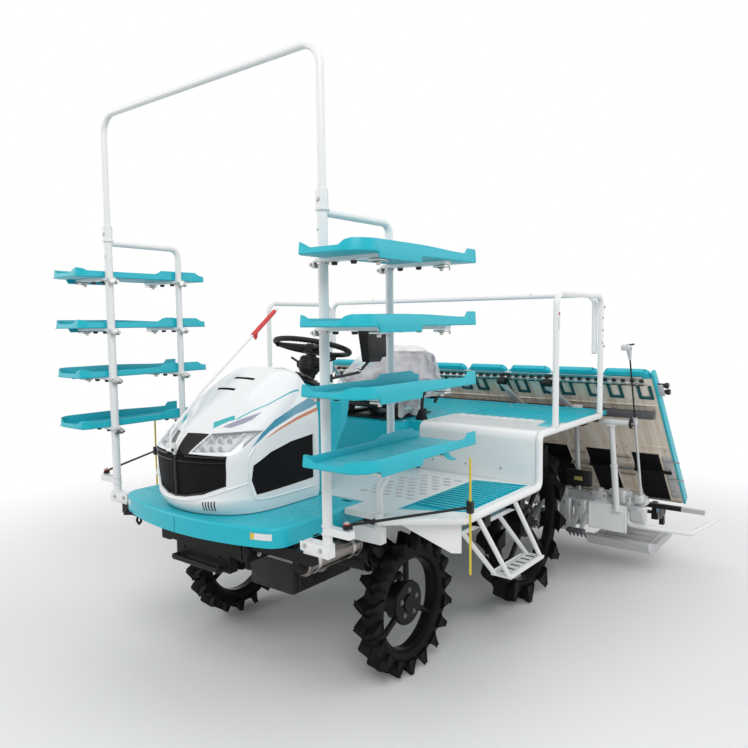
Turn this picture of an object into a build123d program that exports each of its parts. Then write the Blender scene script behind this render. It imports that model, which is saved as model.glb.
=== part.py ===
"""Ride-on rice transplanter for eight rows, 300 mm apart.

Millimetres, Z up. The front faces -Y and the machine's left side is +X. The ground
is Z = 0, and the origin lies on it under the middle of the whole machine.
Stations along the machine are named from the front axle, fore and aft.
"""
import os
from math import atan2, cos, degrees, radians, sin

from build123d import *

# ---------------------------------------------------------------- driving dimensions
FRONT_AXLE_Y = -847.5      # front axle's station, which centres the machine on the origin
WHEELBASE = 1091.0
FRONT_WHEEL_D = 650.0      # over the lugs
REAR_WHEEL_D = 932.0
FRONT_TRACK = 1178.0       # between the wheels' middles
REAR_TRACK = 1334.0
FRONT_TYRE_W = 112.0
REAR_TYRE_W = 132.0
KINGPIN_X = 455.0          # steering axis, from the middle

FLOOR_Z = 840.0            # tread of the front deck and the floor
FLOOR_T = 25.0
STEP_Z = 1095.0            # tread of the rear deck
DECK_HALF = 520.0          # front deck
DECK_SKIRT = 78.0
DECK_WALL = 8.0
FLOOR_HALF = 1003.0        # floor over the side steps
RAIL_X = 260.0             # chassis rails
RAIL_W = 60.0
RAIL_LOW = 650.0
RAIL_TOP = 740.0

TUBE = 34.0                # white handrail, rack and edge tube
FRONT_TUBE = 38.0          # rack's front post
REAR_TUBE = 32.0           # and its bent rear one
RACK_X = 705.0             # seedling rack posts
RACK_FRONT = -665.0        # aft of the front axle, so in front of it
RACK_REAR = -262.0
RACK_TOP = 2029.0
SLEEVE_TOP = 2107.0
GATE_TOP = 2632.0
GATE_TUBE = 30.0
TRAY_LEVELS = (1109.0, 1357.0, 1598.0, 1846.0)
TRAY_INNER = 727.0         # the trays hang outside their posts
TRAY_OUTER = 1000.0
TRAY_FRONT = -816.0
TRAY_REAR = -84.0
TRAY_WALL = 5.0
TRAY_LIFT = 16.0           # tray bottoms above their level

HOOD_HALF = 300.0
HOOD_REAR = -300.0         # its rear edge, aft of the front axle
HOOD_TOP = 1434.0
HOOD_SKIN = 8.0
WHEEL_RIM_D = 380.0        # steering wheel

ROW_PITCH = 300.0
ROWS = 8
LINK_LENGTH = 420.0        # lift links, pin to pin
LINK_REST = -10.0          # degrees: they slope down to the rear
TABLE_SHIFT = 57.0         # the seedling table is parked this far to the left
FIT = 0.05                 # radial clearance of a running fit
GAP = 6.0                  # between pieces that move past each other

# ---------------------------------------------------------------- stations
AX = FRONT_AXLE_Y
RX = FRONT_AXLE_Y + WHEELBASE
FRONT_R = FRONT_WHEEL_D / 2
REAR_R = REAR_WHEEL_D / 2
SIDES = (1, -1)

os.makedirs("parts", exist_ok=True)


def save(part, label):
    """Label a finished piece and write it as its own node."""
    part.label = label
    export_step(part, f"parts/{label}.step")


def bar(points, diameter, bend=60.0):
    """Round bar along a polyline whose corners are rounded to the bend radius."""
    with BuildPart() as round_bar:
        with BuildLine() as path:
            if len(points) == 2:
                Line(*points)
            else:
                FilletPolyline(*points, radius=bend)
        start = Plane(origin=path.line @ 0, z_dir=path.line % 0)
        with BuildSketch(start):
            Circle(diameter / 2)
        sweep()
    return round_bar.part


def block(x, y, z):
    """Box between the low and high values of each axis."""
    with BuildPart() as solid_block:
        with BuildSketch(Plane.XY.offset(z[0])):
            with Locations(((x[0] + x[1]) / 2, (y[0] + y[1]) / 2)):
                Rectangle(x[1] - x[0], y[1] - y[0])
        extrude(amount=z[1] - z[0])
    return solid_block.part


def rod(start, end, diameter):
    """Round bar from one point to another."""
    return bar([start, end], diameter)


def side_plate(points, x_low, x_high):
    """Plate with a (y, z) outline, between two values of x."""
    with BuildPart() as plate:
        with BuildSketch(Plane.YZ.offset(x_low)):
            with BuildLine():
                Polyline(*points, close=True)
            make_face()
        extrude(amount=x_high - x_low)
    return plate.part


def flat_plate(points, z_low, z_high):
    """Plate with an (x, y) outline, between two heights."""
    with BuildPart() as plate:
        with BuildSketch(Plane.XY.offset(z_low)):
            with BuildLine():
                Polyline(*points, close=True)
            make_face()
        extrude(amount=z_high - z_low)
    return plate.part


# ================================================================ wheels
def lugged_tyre(side, track, y, radius, width, bore_r, core_r, core_w, lugs, lug_deg):
    """Rubber ring with cross lugs, its axis along X."""
    hub = Plane(origin=(side * track / 2, y, radius), x_dir=(0, 1, 0), z_dir=(1, 0, 0))
    half = radians(lug_deg / 2)
    inner = core_r - 6
    with BuildSketch() as lug:
        with BuildLine():
            Polyline((inner * cos(half * 1.5), -inner * sin(half * 1.5)),
                     (radius * cos(half), -radius * sin(half)),
                     (radius, 0),
                     (radius * cos(half), radius * sin(half)),
                     (inner * cos(half * 1.5), inner * sin(half * 1.5)), close=True)
        make_face()
    with BuildPart() as tyre:
        with BuildSketch(hub.offset(-core_w / 2)):
            Circle(core_r)
            Circle(bore_r, mode=Mode.SUBTRACT)
        extrude(amount=core_w)
        with BuildSketch(hub.offset(-width / 2)):
            with PolarLocations(0, lugs, start_angle=-90):
                add(lug.sketch)
        extrude(amount=width)
    return tyre.part


def spoked_rim(side, track, y, radius, ring_r, ring_w, spokes, turn, hub_r, hub_in, hub_out, bore_d):
    """Steel ring, round spokes and a capped hub that runs on a stub axle."""
    middle = side * track / 2
    hub = Plane(origin=(middle, y, radius), x_dir=(0, 1, 0), z_dir=(side, 0, 0))
    with BuildPart() as rim:
        with BuildSketch(hub.offset(-ring_w / 2)):
            Circle(ring_r)
            Circle(ring_r - 8, mode=Mode.SUBTRACT)
        extrude(amount=ring_w)
        with BuildSketch(hub.offset(hub_in)):
            Circle(hub_r)
        extrude(amount=hub_out - hub_in)
        with BuildSketch(hub.offset(hub_out)):
            Circle(hub_r * 0.45)
        extrude(amount=14)
        for index in range(spokes):
            angle = radians(turn + index * 360 / spokes)
            direction = Vector(0, cos(angle), sin(angle))
            start = Vector(middle, y, radius) + direction * (hub_r - 12)
            with BuildSketch(Plane(origin=start, z_dir=direction)):
                Circle(14)
            extrude(amount=ring_r - 4 - hub_r + 12)
        with BuildSketch(hub.offset(hub_in)):
            Circle(bore_d / 2)
        extrude(amount=hub_out - hub_in, mode=Mode.SUBTRACT)
    return rim.part


FRONT_STUB = 40.0
REAR_STUB = 50.0
FRONT_HUB_IN = -52.0       # hub's inner face, from the wheel's middle
FRONT_HUB_OUT = 12.0
REAR_HUB_IN = -66.0
REAR_HUB_OUT = 18.0
FRONT_BORE_R = 215.0
REAR_BORE_R = 345.0

for side, word in ((1, "left"), (-1, "right")):
    save(lugged_tyre(side, FRONT_TRACK, AX, FRONT_R, FRONT_TYRE_W, FRONT_BORE_R,
                     FRONT_R - 42, 70, 18, 7.5), f"front_tyre_{word}")
    save(spoked_rim(side, FRONT_TRACK, AX, FRONT_R, FRONT_BORE_R - 0.2, 44, 3, 90,
                    90, FRONT_HUB_IN, FRONT_HUB_OUT, FRONT_STUB + 2 * FIT), f"front_rim_{word}")
    save(lugged_tyre(side, REAR_TRACK, RX, REAR_R, REAR_TYRE_W, REAR_BORE_R,
                     REAR_R - 72, 56, 13, 6.0), f"rear_tyre_{word}")
    save(spoked_rim(side, REAR_TRACK, RX, REAR_R, REAR_BORE_R - 0.2, 36, 4, 45,
                    95, REAR_HUB_IN, REAR_HUB_OUT, REAR_STUB + 2 * FIT), f"rear_rim_{word}")

# ================================================================ axles and knuckles
BEAM_Z = FRONT_R + 190.0           # front axle tubes above the hubs
KINGPIN_D = 40.0
KING_LOW = BEAM_Z - 60.0
KING_HIGH = BEAM_Z + 60.0

centre_case = block((-120, 120), (AX - 120, AX + 260), (395, 640))
beam_tube = rod((-KINGPIN_X, AX, BEAM_Z), (KINGPIN_X, AX, BEAM_Z), 96)
with BuildPart() as front_axle_beam:
    add(centre_case)
    add(beam_tube)
    for side in SIDES:
        add(block(sorted((side * (RAIL_X - 30), side * (RAIL_X + 30))), (AX - 45, AX + 45),
                  (BEAM_Z, RAIL_LOW)))
        with BuildSketch(Plane.XY.offset(KING_LOW)):
            with Locations((side * KINGPIN_X, AX)):
                Circle(56)
        extrude(amount=KING_HIGH - KING_LOW)
    for side in SIDES:
        with BuildSketch(Plane.XY.offset(KING_LOW)):
            with Locations((side * KINGPIN_X, AX)):
                Circle(KINGPIN_D / 2 + FIT)
        extrude(amount=KING_HIGH - KING_LOW, mode=Mode.SUBTRACT)
save(front_axle_beam.part, "front_axle_beam")

for side, word in ((1, "left"), (-1, "right")):
    wheel_x = side * FRONT_TRACK / 2
    case_low = FRONT_R - 60
    stub_end = wheel_x + side * (FRONT_HUB_OUT - 3)
    shoulder = wheel_x + side * (FRONT_HUB_IN - 5)
    wide_stub = rod((side * KINGPIN_X, AX, FRONT_R), (shoulder, AX, FRONT_R), 76)
    thin_stub = rod((shoulder, AX, FRONT_R), (stub_end, AX, FRONT_R), FRONT_STUB)
    with BuildPart() as knuckle:
        with BuildSketch(Plane.XY.offset(case_low)):
            with Locations((side * KINGPIN_X, AX)):
                Circle(50)
        extrude(amount=KING_LOW - 5 - case_low)
        with BuildSketch(Plane.XY.offset(KING_LOW - 5)):
            with Locations((side * KINGPIN_X, AX)):
                Circle(KINGPIN_D / 2)
        extrude(amount=KING_HIGH - KING_LOW)
        add(wide_stub)
        add(thin_stub)
    save(knuckle.part, f"knuckle_{word}")

# pins that the lift's links and its cylinder hang on
LOWER_PIN = (RX + 92, 480.0)        # (y, z) of the lower links' front pins
UPPER_RISE = 240.0                  # upper pins above the lower ones
LOWER_X, UPPER_X = 170.0, 105.0
LINK_PIN = 30.0
BARREL_PIN = (AX + 640.0, 700.0)
UPPER_Z = LOWER_PIN[1] + UPPER_RISE
lower_ears = []
upper_ears = []
barrel_ears = []
for side in SIDES:
    lower_ears.append(rod((side * (LOWER_X - 22), *LOWER_PIN),
                          (side * (LOWER_X + 40), *LOWER_PIN), LINK_PIN))
    lower_ears.append(block(sorted((side * (LOWER_X + 18), side * (LOWER_X + 34))),
                            (RX + 20, LOWER_PIN[0] + 30), (LOWER_PIN[1] - 34, LOWER_PIN[1] + 34)))
    upper_ears.append(rod((side * (UPPER_X - 22), LOWER_PIN[0], UPPER_Z),
                          (side * (UPPER_X + 40), LOWER_PIN[0], UPPER_Z), LINK_PIN))
    upper_ears.append(block(sorted((side * (UPPER_X + 18), side * (UPPER_X + 34))),
                            (RX + 20, LOWER_PIN[0] + 30), (UPPER_Z - 34, RAIL_TOP + 30)))
    barrel_ears.append(block(sorted((side * 24, side * 36)), (AX + 580, BARREL_PIN[0] + 16),
                             (BARREL_PIN[1] - 24, BARREL_PIN[1] + 24)))
barrel_ears.append(rod((-42, *BARREL_PIN), (42, *BARREL_PIN), 24))
upper_ears.append(block((-RAIL_X - 30, RAIL_X + 30), (RX + 14, RX + 58), (RAIL_TOP, RAIL_TOP + 32)))

rear_stub_parts = []
for side in SIDES:
    wheel_x = side * REAR_TRACK / 2
    shoulder = wheel_x + side * (REAR_HUB_IN - 5)
    rear_stub_parts.append(rod((0, RX, REAR_R), (shoulder, RX, REAR_R), 110))
    rear_stub_parts.append(rod((shoulder, RX, REAR_R), (wheel_x + side * (REAR_HUB_OUT - 3), RX, REAR_R),
                               REAR_STUB))
    rear_stub_parts.append(block(sorted((side * (RAIL_X - 30), side * (RAIL_X + 30))),
                                 (RX - 60, RX + 60), (REAR_R, RAIL_LOW)))
with BuildPart() as rear_axle_case:
    add(block((-110, 110), (RX - 130, RX + 60), (REAR_R - 90, REAR_R + 80)))
    add(rod((0, AX + 262, 520), (0, RX - 100, 520), 70))
    for piece in rear_stub_parts:
        add(piece)
    for piece in lower_ears:
        add(piece)
save(rear_axle_case.part, "rear_axle_case")

# ================================================================ chassis frame
NOSE_Y = AX - 700
FRAME_END = RX + 90
POST_FOOT_Z = 751.0                # underside of the rack's front feet

frame_pieces = []
for side in SIDES:
    low_x, high_x = sorted((side * (RAIL_X - RAIL_W / 2), side * (RAIL_X + RAIL_W / 2)))
    frame_pieces.append(block((low_x, high_x), (NOSE_Y, FRAME_END), (RAIL_LOW, RAIL_TOP)))
    for y, width, z_low, z_high, reach in (
            # outriggers: station, width, low, high, reach from the middle
            (AX + RACK_FRONT, 36, POST_FOOT_Z - 46, POST_FOOT_Z, 640),
            (AX - 345, 40, 724, 760, 576),
            (AX + 60, 50, RAIL_TOP, FLOOR_Z - FLOOR_T, 985),
            (AX + 400, 50, RAIL_TOP, FLOOR_Z - FLOOR_T, 985)):
        x_low, x_high = sorted((side * RAIL_X, side * reach))
        frame_pieces.append(block((x_low, x_high), (y - width / 2, y + width / 2), (z_low, z_high)))
    x_low, x_high = sorted((side * (RAIL_X - 25), side * (RAIL_X + 25)))
    for y in (AX + 560, RX + 60):
        frame_pieces.append(block((x_low, x_high), (y - 25, y + 25), (RAIL_TOP, STEP_Z - 60)))
    frame_pieces.append(block((x_low, x_high), (AX + 535, AX + 1440), (STEP_Z - 60, STEP_Z - FLOOR_T)))
for y in (AX - 680, AX - 250, AX + 330, AX + 570):
    frame_pieces.append(block((-RAIL_X, RAIL_X), (y - 25, y + 25), (RAIL_LOW + 10, RAIL_TOP - 10)))
for y in (AX + 560, AX + 1400):
    frame_pieces.append(block((-980, 980), (y - 20, y + 20), (STEP_Z - 60, STEP_Z - FLOOR_T)))
# skid under the nose
frame_pieces.append(block((-180, 180), (AX - 700, AX - 655), (580, RAIL_LOW + 20)))
# four holes for front weights, through the skid
WEIGHT_PITCH_X, WEIGHT_PITCH_Z = 240.0, 40.0
WEIGHT_HOLE_R = 6.5
weight_holes = []
for x in (-WEIGHT_PITCH_X / 2, WEIGHT_PITCH_X / 2):
    for z in (620 - WEIGHT_PITCH_Z / 2, 620 + WEIGHT_PITCH_Z / 2):
        weight_holes.append(rod((x, AX - 702, z), (x, AX - 652, z), 2 * WEIGHT_HOLE_R))
with BuildPart() as main_frame:
    for piece in frame_pieces:
        add(piece)
    for piece in upper_ears:
        add(piece)
    for piece in barrel_ears:
        add(piece)
    for piece in weight_holes:
        add(piece, mode=Mode.SUBTRACT)
save(main_frame.part, "main_frame")

# ================================================================ engine and exhaust
ENGINE_LOW = 690.0
engine_plan = (RAIL_X - RAIL_W / 2 - 35)
save(block((-engine_plan, engine_plan), (AX - 640, AX - 302), (ENGINE_LOW, 1120)), "engine_block")

MUFFLER_X, MUFFLER_Z, MUFFLER_R = 520.0, 672.0, 50.0
exhaust = bar([(150, AX - 480, ENGINE_LOW), (150, AX - 480, 612), (MUFFLER_X, AX - 480, 612),
               (MUFFLER_X, AX - 480, MUFFLER_Z)], 36, 30)
with BuildPart() as muffler:
    with BuildSketch(Plane.XZ.offset(-(AX - 610))):
        with Locations((MUFFLER_X, MUFFLER_Z)):
            Circle(MUFFLER_R)
    extrude(amount=-320)
    add(exhaust)
    add(rod((MUFFLER_X, AX - 292, MUFFLER_Z), (MUFFLER_X, AX - 240, MUFFLER_Z), 34))
save(muffler.part, "muffler")

# ================================================================ front deck
DECK_REAR = AX - 218
DECK_NOSE = AX - 838
DECK_CORNER = AX - 735
BAY_HALF = 226.0                   # opening over the engine
BAY_FRONT = AX - 672
BAY_REAR = AX - 232


def deck_outline(inset):
    """Plan of the front deck, moved in by an inset."""
    half = DECK_HALF - inset
    with BuildSketch() as plan:
        with BuildLine():
            ThreePointArc((-half, DECK_CORNER + inset), (0, DECK_NOSE + inset), (half, DECK_CORNER + inset))
            Polyline((half, DECK_CORNER + inset), (half, DECK_REAR - inset),
                     (-half, DECK_REAR - inset), (-half, DECK_CORNER + inset))
        make_face()
        front = plan.vertices().group_by(Axis.Y)[0]
        fillet(front, 90 - inset)
    return plan.sketch


with BuildPart() as front_deck:
    with BuildSketch(Plane.XY.offset(FLOOR_Z - DECK_SKIRT)):
        add(deck_outline(0))
    extrude(amount=DECK_SKIRT)
    fillet(front_deck.faces().sort_by(Axis.Z)[-1].edges(), 12)
    with BuildSketch(Plane.XY.offset(FLOOR_Z - DECK_SKIRT)):
        add(deck_outline(DECK_WALL))
    extrude(amount=DECK_SKIRT - DECK_WALL - 6, mode=Mode.SUBTRACT)
    with BuildSketch(Plane.XY.offset(FLOOR_Z - DECK_SKIRT)):
        with Locations((0, (BAY_FRONT + BAY_REAR) / 2)):
            Rectangle(2 * BAY_HALF, BAY_REAR - BAY_FRONT)
    extrude(amount=DECK_SKIRT + 1, mode=Mode.SUBTRACT)
save(front_deck.part, "front_deck")

# ================================================================ floor, side steps, fenders, rear deck
FLOOR_REAR = AX + 492
PANEL = [(712, AX - 232), (978, AX - 104), (978, AX + 470), (712, AX + 420)]
COWL_HALF = 262.0


def floor_outline():
    """Plan of the floor, front edge first."""
    half = [(DECK_HALF + 2, DECK_REAR + 2), (DECK_HALF + 2, AX - 352), (755, AX - 352),
            (FLOOR_HALF, AX - 166), (FLOOR_HALF, FLOOR_REAR)]
    return [(x, y) for x, y in half] + [(-x, y) for x, y in reversed(half)]


def shrink(points, gap):
    """Side-step outline pulled in towards its middle by a gap."""
    cx = sum(p[0] for p in points) / len(points)
    cy = sum(p[1] for p in points) / len(points)
    return [(x - gap * (1 if x > cx else -1), y - gap * (1 if y > cy else -1)) for x, y in points]


floor_plate = flat_plate(floor_outline(), FLOOR_Z - FLOOR_T, FLOOR_Z)
panel_holes = []
for side in SIDES:
    panel_holes.append(flat_plate([(side * x, y) for x, y in PANEL], FLOOR_Z - FLOOR_T - 1, FLOOR_Z + 1))
with BuildPart() as floor_deck:
    add(floor_plate)
    with BuildSketch(Plane.XY.offset(FLOOR_Z - FLOOR_T - 1)):
        with Locations((RACK_X, AX - 345), (-RACK_X, AX - 345)):
            Rectangle(74, 60)
    extrude(amount=FLOOR_T + 2, mode=Mode.SUBTRACT)
    for hole in panel_holes:
        add(hole, mode=Mode.SUBTRACT)
save(floor_deck.part, "floor_deck")

step_solids = []
for side in SIDES:
    inner = shrink(PANEL, 1.5)
    tray = flat_plate([(side * x, y) for x, y in inner], FLOOR_Z - 22, FLOOR_Z - 6)
    step_solids.append((side, tray))
with BuildPart() as side_steps:
    for side, tray in step_solids:
        add(tray)
        with BuildSketch(Plane.XY.offset(FLOOR_Z - 8)):
            with Locations((side * 845, AX + 150)):
                with GridLocations(0, 36, 1, 15):
                    Rectangle(240, 12)
        extrude(amount=11)
save(side_steps.part, "side_steps")

FENDER_IN, FENDER_OUT = 334.0, FLOOR_HALF
FENDER_FRONT = FLOOR_REAR + 4
FENDER_REAR = AX + 868
SKIN = 8.0
fender_solids = []
for side in SIDES:
    x_low, x_high = sorted((side * FENDER_IN, side * FENDER_OUT))
    with BuildPart() as fender:
        with BuildSketch(Plane.YZ.offset(x_low)):
            with BuildLine():
                FilletPolyline((FENDER_REAR, STEP_Z), (FENDER_FRONT, STEP_Z), (FENDER_FRONT, FLOOR_Z - 30),
                               radius=46)
                Polyline((FENDER_FRONT, FLOOR_Z - 30), (FENDER_FRONT + SKIN, FLOOR_Z - 30))
                FilletPolyline((FENDER_FRONT + SKIN, FLOOR_Z - 30), (FENDER_FRONT + SKIN, STEP_Z - SKIN),
                               (FENDER_REAR, STEP_Z - SKIN), radius=38)
                Line((FENDER_REAR, STEP_Z - SKIN), (FENDER_REAR, STEP_Z))
            make_face()
        extrude(amount=x_high - x_low)
    fender_solids.append(fender.part)
    # mudguard under the slanted front edge
    run = Vector(side * (FLOOR_HALF - 755), 186, 0).normalized()
    with BuildPart() as guard:
        with BuildSketch(Plane(origin=(side * 755, AX - 340, FLOOR_Z - FLOOR_T - 1), x_dir=run,
                               z_dir=run.cross(Vector(0, 0, 1)))):
            with BuildLine():
                Polyline((30, 0), (290, 0), (290, -128), (250, -128), close=True)
            make_face()
        extrude(amount=3, both=True)
    fender_solids.append(guard.part)
with BuildPart() as fender_panels:
    for piece in fender_solids:
        add(piece)
save(fender_panels.part, "fender_panels")

PEDESTAL_FRONT = AX + 345
REAR_EDGE = AX + 1478
pedestal = block((-FENDER_IN + 3, FENDER_IN - 3), (AX + 500, AX + 900), (FLOOR_Z + 2, STEP_Z))
pedestal_nose = block((-272, 272), (PEDESTAL_FRONT, AX + 500), (FLOOR_Z + 2, STEP_Z))
pedestal_void = block((-FENDER_IN + 11, FENDER_IN - 11), (AX + 508, AX + 890), (FLOOR_Z, STEP_Z - 10))
nose_void = block((-264, 264), (PEDESTAL_FRONT + 8, AX + 509), (FLOOR_Z, STEP_Z - 10))
rear_plate = block((-FLOOR_HALF, FLOOR_HALF), (FENDER_REAR + 2, REAR_EDGE), (STEP_Z - FLOOR_T, STEP_Z))
frame_slots = [block(sorted((side * (RAIL_X - 32), side * (RAIL_X + 32))), (AX + 880, AX + 910),
                     (STEP_Z - 66, STEP_Z - FLOOR_T)) for side in SIDES]
frame_slots.append(block((-340, 340), (AX + 534, AX + 586), (STEP_Z - 66, STEP_Z - FLOOR_T)))
with BuildPart() as rear_deck:
    add(pedestal)
    add(pedestal_nose)
    add(pedestal_void, mode=Mode.SUBTRACT)
    add(nose_void, mode=Mode.SUBTRACT)
    for piece in frame_slots:
        add(piece, mode=Mode.SUBTRACT)
    add(rear_plate)
save(rear_deck.part, "rear_deck")

# ================================================================ hood, grille, headlights
HOOD_LOW = FLOOR_Z + 2
NOSE = AX - 832


def hood_body(inset):
    """Closed hood volume, each side moved in by an inset."""
    top = HOOD_TOP - inset
    back = AX + HOOD_REAR
    half = HOOD_HALF - inset
    nose = NOSE + inset
    low = HOOD_LOW - (0 if inset == 0 else 20)
    with BuildPart() as volume:
        with BuildSketch(Plane.YZ.offset(-half)):
            with BuildLine():
                Line((back, low), (nose + 58, low))
                ThreePointArc((nose + 58, low), (nose + 6, 950), (nose, 1110))
                ThreePointArc((nose, 1110), (nose + 8, 1160 - inset), (nose + 46, 1192 - inset))
                ThreePointArc((nose + 46, 1192 - inset), (AX - 560, 1326 - inset), (AX - 345, top))
                Polyline((AX - 345, top), (back, top), (back, low))
            make_face()
        extrude(amount=2 * half)
        with BuildSketch(Plane.XY.offset(low)):
            with BuildLine():
                ThreePointArc((-half, AX - 600), (0, nose), (half, AX - 600))
                Polyline((half, AX - 600), (half, back), (-half, back), (-half, AX - 600))
            make_face()
        extrude(amount=top - low + 10, mode=Mode.INTERSECT)
        with BuildSketch(Plane.XZ.offset(-back)):
            with BuildLine():
                Polyline((-half, low), (half, low), (half, 1180))
                ThreePointArc((half, 1180), (half - 26, 1330 - inset), (118, top))
                Line((118, top), (-118, top))
                ThreePointArc((-118, top), (-half + 26, 1330 - inset), (-half, 1180))
                Line((-half, 1180), (-half, low))
            make_face()
        extrude(amount=600, mode=Mode.INTERSECT)
    return volume.part


def front_prism(points):
    """Prism through the nose, from an (x, z) outline."""
    with BuildPart() as prism:
        with BuildSketch(Plane.XZ.offset(-(AX - 560))):
            with BuildLine():
                Polyline(*points, close=True)
            make_face()
        extrude(amount=330)
    return prism.part


GRILLE = [(-236, 1092), (-236, 962), (-120, 915), (0, 897), (120, 915), (236, 962), (236, 1092),
          (56, 1096), (40, 1166), (-40, 1166), (-56, 1096)]
LAMP = [(62, 1102), (256, 1100), (262, 1176), (90, 1172), (48, 1164)]
WINDOW = [(AX - 640, 918), (AX - 640, 1046), (AX - 560, 1088), (AX - 318, 1128), (AX - 318, 915)]


def window_prism(side, grow):
    """Prism through one flank of the hood."""
    points = [(y + (grow if y > AX - 500 else -grow), z + (grow if z > 1000 else -grow)) for y, z in WINDOW]
    low_x, high_x = sorted((side * (HOOD_HALF - 60), side * (HOOD_HALF + 20)))
    return side_plate(points, low_x, high_x)


grille_cut = front_prism(GRILLE)
lamp_cuts = [front_prism([(side * x, z) for x, z in LAMP]) for side in SIDES]
window_cuts = [window_prism(side, 0) for side in SIDES]
outer_hood = hood_body(0)
inner_hood = hood_body(HOOD_SKIN)
HINGE = (AX - 306, HOOD_TOP - 6)    # (y, z) of the hood's hinge, inside its rear edge
HINGE_PIN = 5.0
HINGE_HALF = 100.0
hinge_barrel = rod((-HINGE_HALF, *HINGE), (HINGE_HALF, *HINGE), 11)
hinge_bore = rod((-HINGE_HALF - 1, *HINGE), (HINGE_HALF + 1, *HINGE), HINGE_PIN + 2 * FIT)
hinge_notches = [block(sorted((side * HINGE_HALF, side * (HINGE_HALF + 14))), (AX - 322, AX - 295),
                       (HOOD_TOP - 30, HOOD_TOP + 4)) for side in SIDES]
with BuildPart() as hood:
    add(outer_hood)
    add(inner_hood, mode=Mode.SUBTRACT)
    add(grille_cut, mode=Mode.SUBTRACT)
    for piece in lamp_cuts + window_cuts:
        add(piece, mode=Mode.SUBTRACT)
    add(hinge_barrel)
    for piece in hinge_notches:
        add(piece, mode=Mode.SUBTRACT)
    add(hinge_bore, mode=Mode.SUBTRACT)
save(hood.part, "hood")

grille_layer = hood_body(2)
grille_core = hood_body(7)
with BuildPart() as grille:
    add(grille_layer)
    add(grille_core, mode=Mode.SUBTRACT)
    add(grille_cut, mode=Mode.INTERSECT)
window_panels = []
for cut in window_cuts:
    with BuildPart() as window_panel:
        add(grille_layer)
        add(grille_core, mode=Mode.SUBTRACT)
        add(cut, mode=Mode.INTERSECT)
    window_panels.append(window_panel.part)
with BuildPart() as grille_all:
    add(grille.part)
    for piece in window_panels:
        add(piece)
save(grille_all.part, "grille")

lamp_layer = hood_body(1)
lamp_core = hood_body(9)
lamps = []
for cut in lamp_cuts:
    with BuildPart() as lamp:
        add(lamp_layer)
        add(lamp_core, mode=Mode.SUBTRACT)
        add(cut, mode=Mode.INTERSECT)
    lamps.append(lamp.part)
with BuildPart() as headlights:
    for piece in lamps:
        add(piece)
save(headlights.part, "headlights")

# ================================================================ centre pole
POLE_PIVOT = (0, NOSE - 14, 1112)
pole_line = bar([POLE_PIVOT, (0, NOSE - 4, 1186), (0, AX - 672, 1344), (0, AX - 222, 1698)], 12, 30)
with BuildPart() as centre_pole:
    add(pole_line)
    add(rod((-16, POLE_PIVOT[1], POLE_PIVOT[2]), (16, POLE_PIVOT[1], POLE_PIVOT[2]), 16))
    add(rod((0, AX - 378, 1575), (0, AX - 222, 1698), 18))
save(centre_pole.part, "centre_pole")

# ================================================================ dash cowl and steering
COWL_FRONT = AX + HOOD_REAR + 8
cowl_outer = side_plate([(COWL_FRONT, FLOOR_Z + 1), (COWL_FRONT, 1446), (AX - 240, 1446), (AX - 20, 1318),
                         (AX + 22, 1250), (AX + 6, 1150), (AX - 56, 1056), (AX - 112, 950),
                         (AX - 138, FLOOR_Z + 1)], -COWL_HALF, COWL_HALF)

WHEEL_CENTRE = Vector(0, AX + 25, 1507)
WHEEL_TILT = 15.0
steer_axis = Vector(0, sin(radians(WHEEL_TILT)), cos(radians(WHEEL_TILT)))
column_foot = WHEEL_CENTRE - steer_axis * 215
column_head = WHEEL_CENTRE - steer_axis * 40
with BuildPart() as steering_column:
    add(rod(tuple(column_foot), tuple(column_head), 52))
    add(rod(tuple(WHEEL_CENTRE - steer_axis * 120), tuple(WHEEL_CENTRE - steer_axis * 62), 108))
save(steering_column.part, "steering_column")

hinge_tabs = []
for side in SIDES:
    tab_x = sorted((side * (HINGE_HALF + 4), side * (HINGE_HALF + 10)))
    hinge_tabs.append(block(tab_x, (HINGE[0] - 4, COWL_FRONT + 4), (HINGE[1] - 4, HINGE[1] + 3)))
hinge_pin = rod((-HINGE_HALF - 8, *HINGE), (HINGE_HALF + 8, *HINGE), HINGE_PIN)
with BuildPart() as dash_cowl:
    add(cowl_outer)
    fillet(dash_cowl.edges().filter_by(Axis.X).group_by(Axis.Z)[-1], 20)
    add(steering_column.part, mode=Mode.SUBTRACT)
    for piece in hinge_tabs:
        add(piece)
    add(hinge_pin)
save(dash_cowl.part, "dash_cowl")

wheel_plane = Plane(origin=WHEEL_CENTRE, x_dir=(1, 0, 0), z_dir=steer_axis)
with BuildPart() as steering_wheel:
    with BuildSketch(Plane(origin=WHEEL_CENTRE, x_dir=(1, 0, 0), z_dir=wheel_plane.y_dir)):
        with Locations((WHEEL_RIM_D / 2, 0)):
            Circle(13)
    revolve(axis=Axis(WHEEL_CENTRE, steer_axis))
    with BuildSketch(wheel_plane.offset(-34)):
        Circle(42)
    extrude(amount=34)
    for angle in (0, 120, 240):
        direction = wheel_plane.x_dir.rotate(Axis((0, 0, 0), steer_axis), angle + 90)
        with BuildSketch(Plane(origin=WHEEL_CENTRE - steer_axis * 14, z_dir=direction)):
            Ellipse(16, 7)
        extrude(amount=WHEEL_RIM_D / 2 - 4)
save(steering_wheel.part, "steering_wheel")

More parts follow.
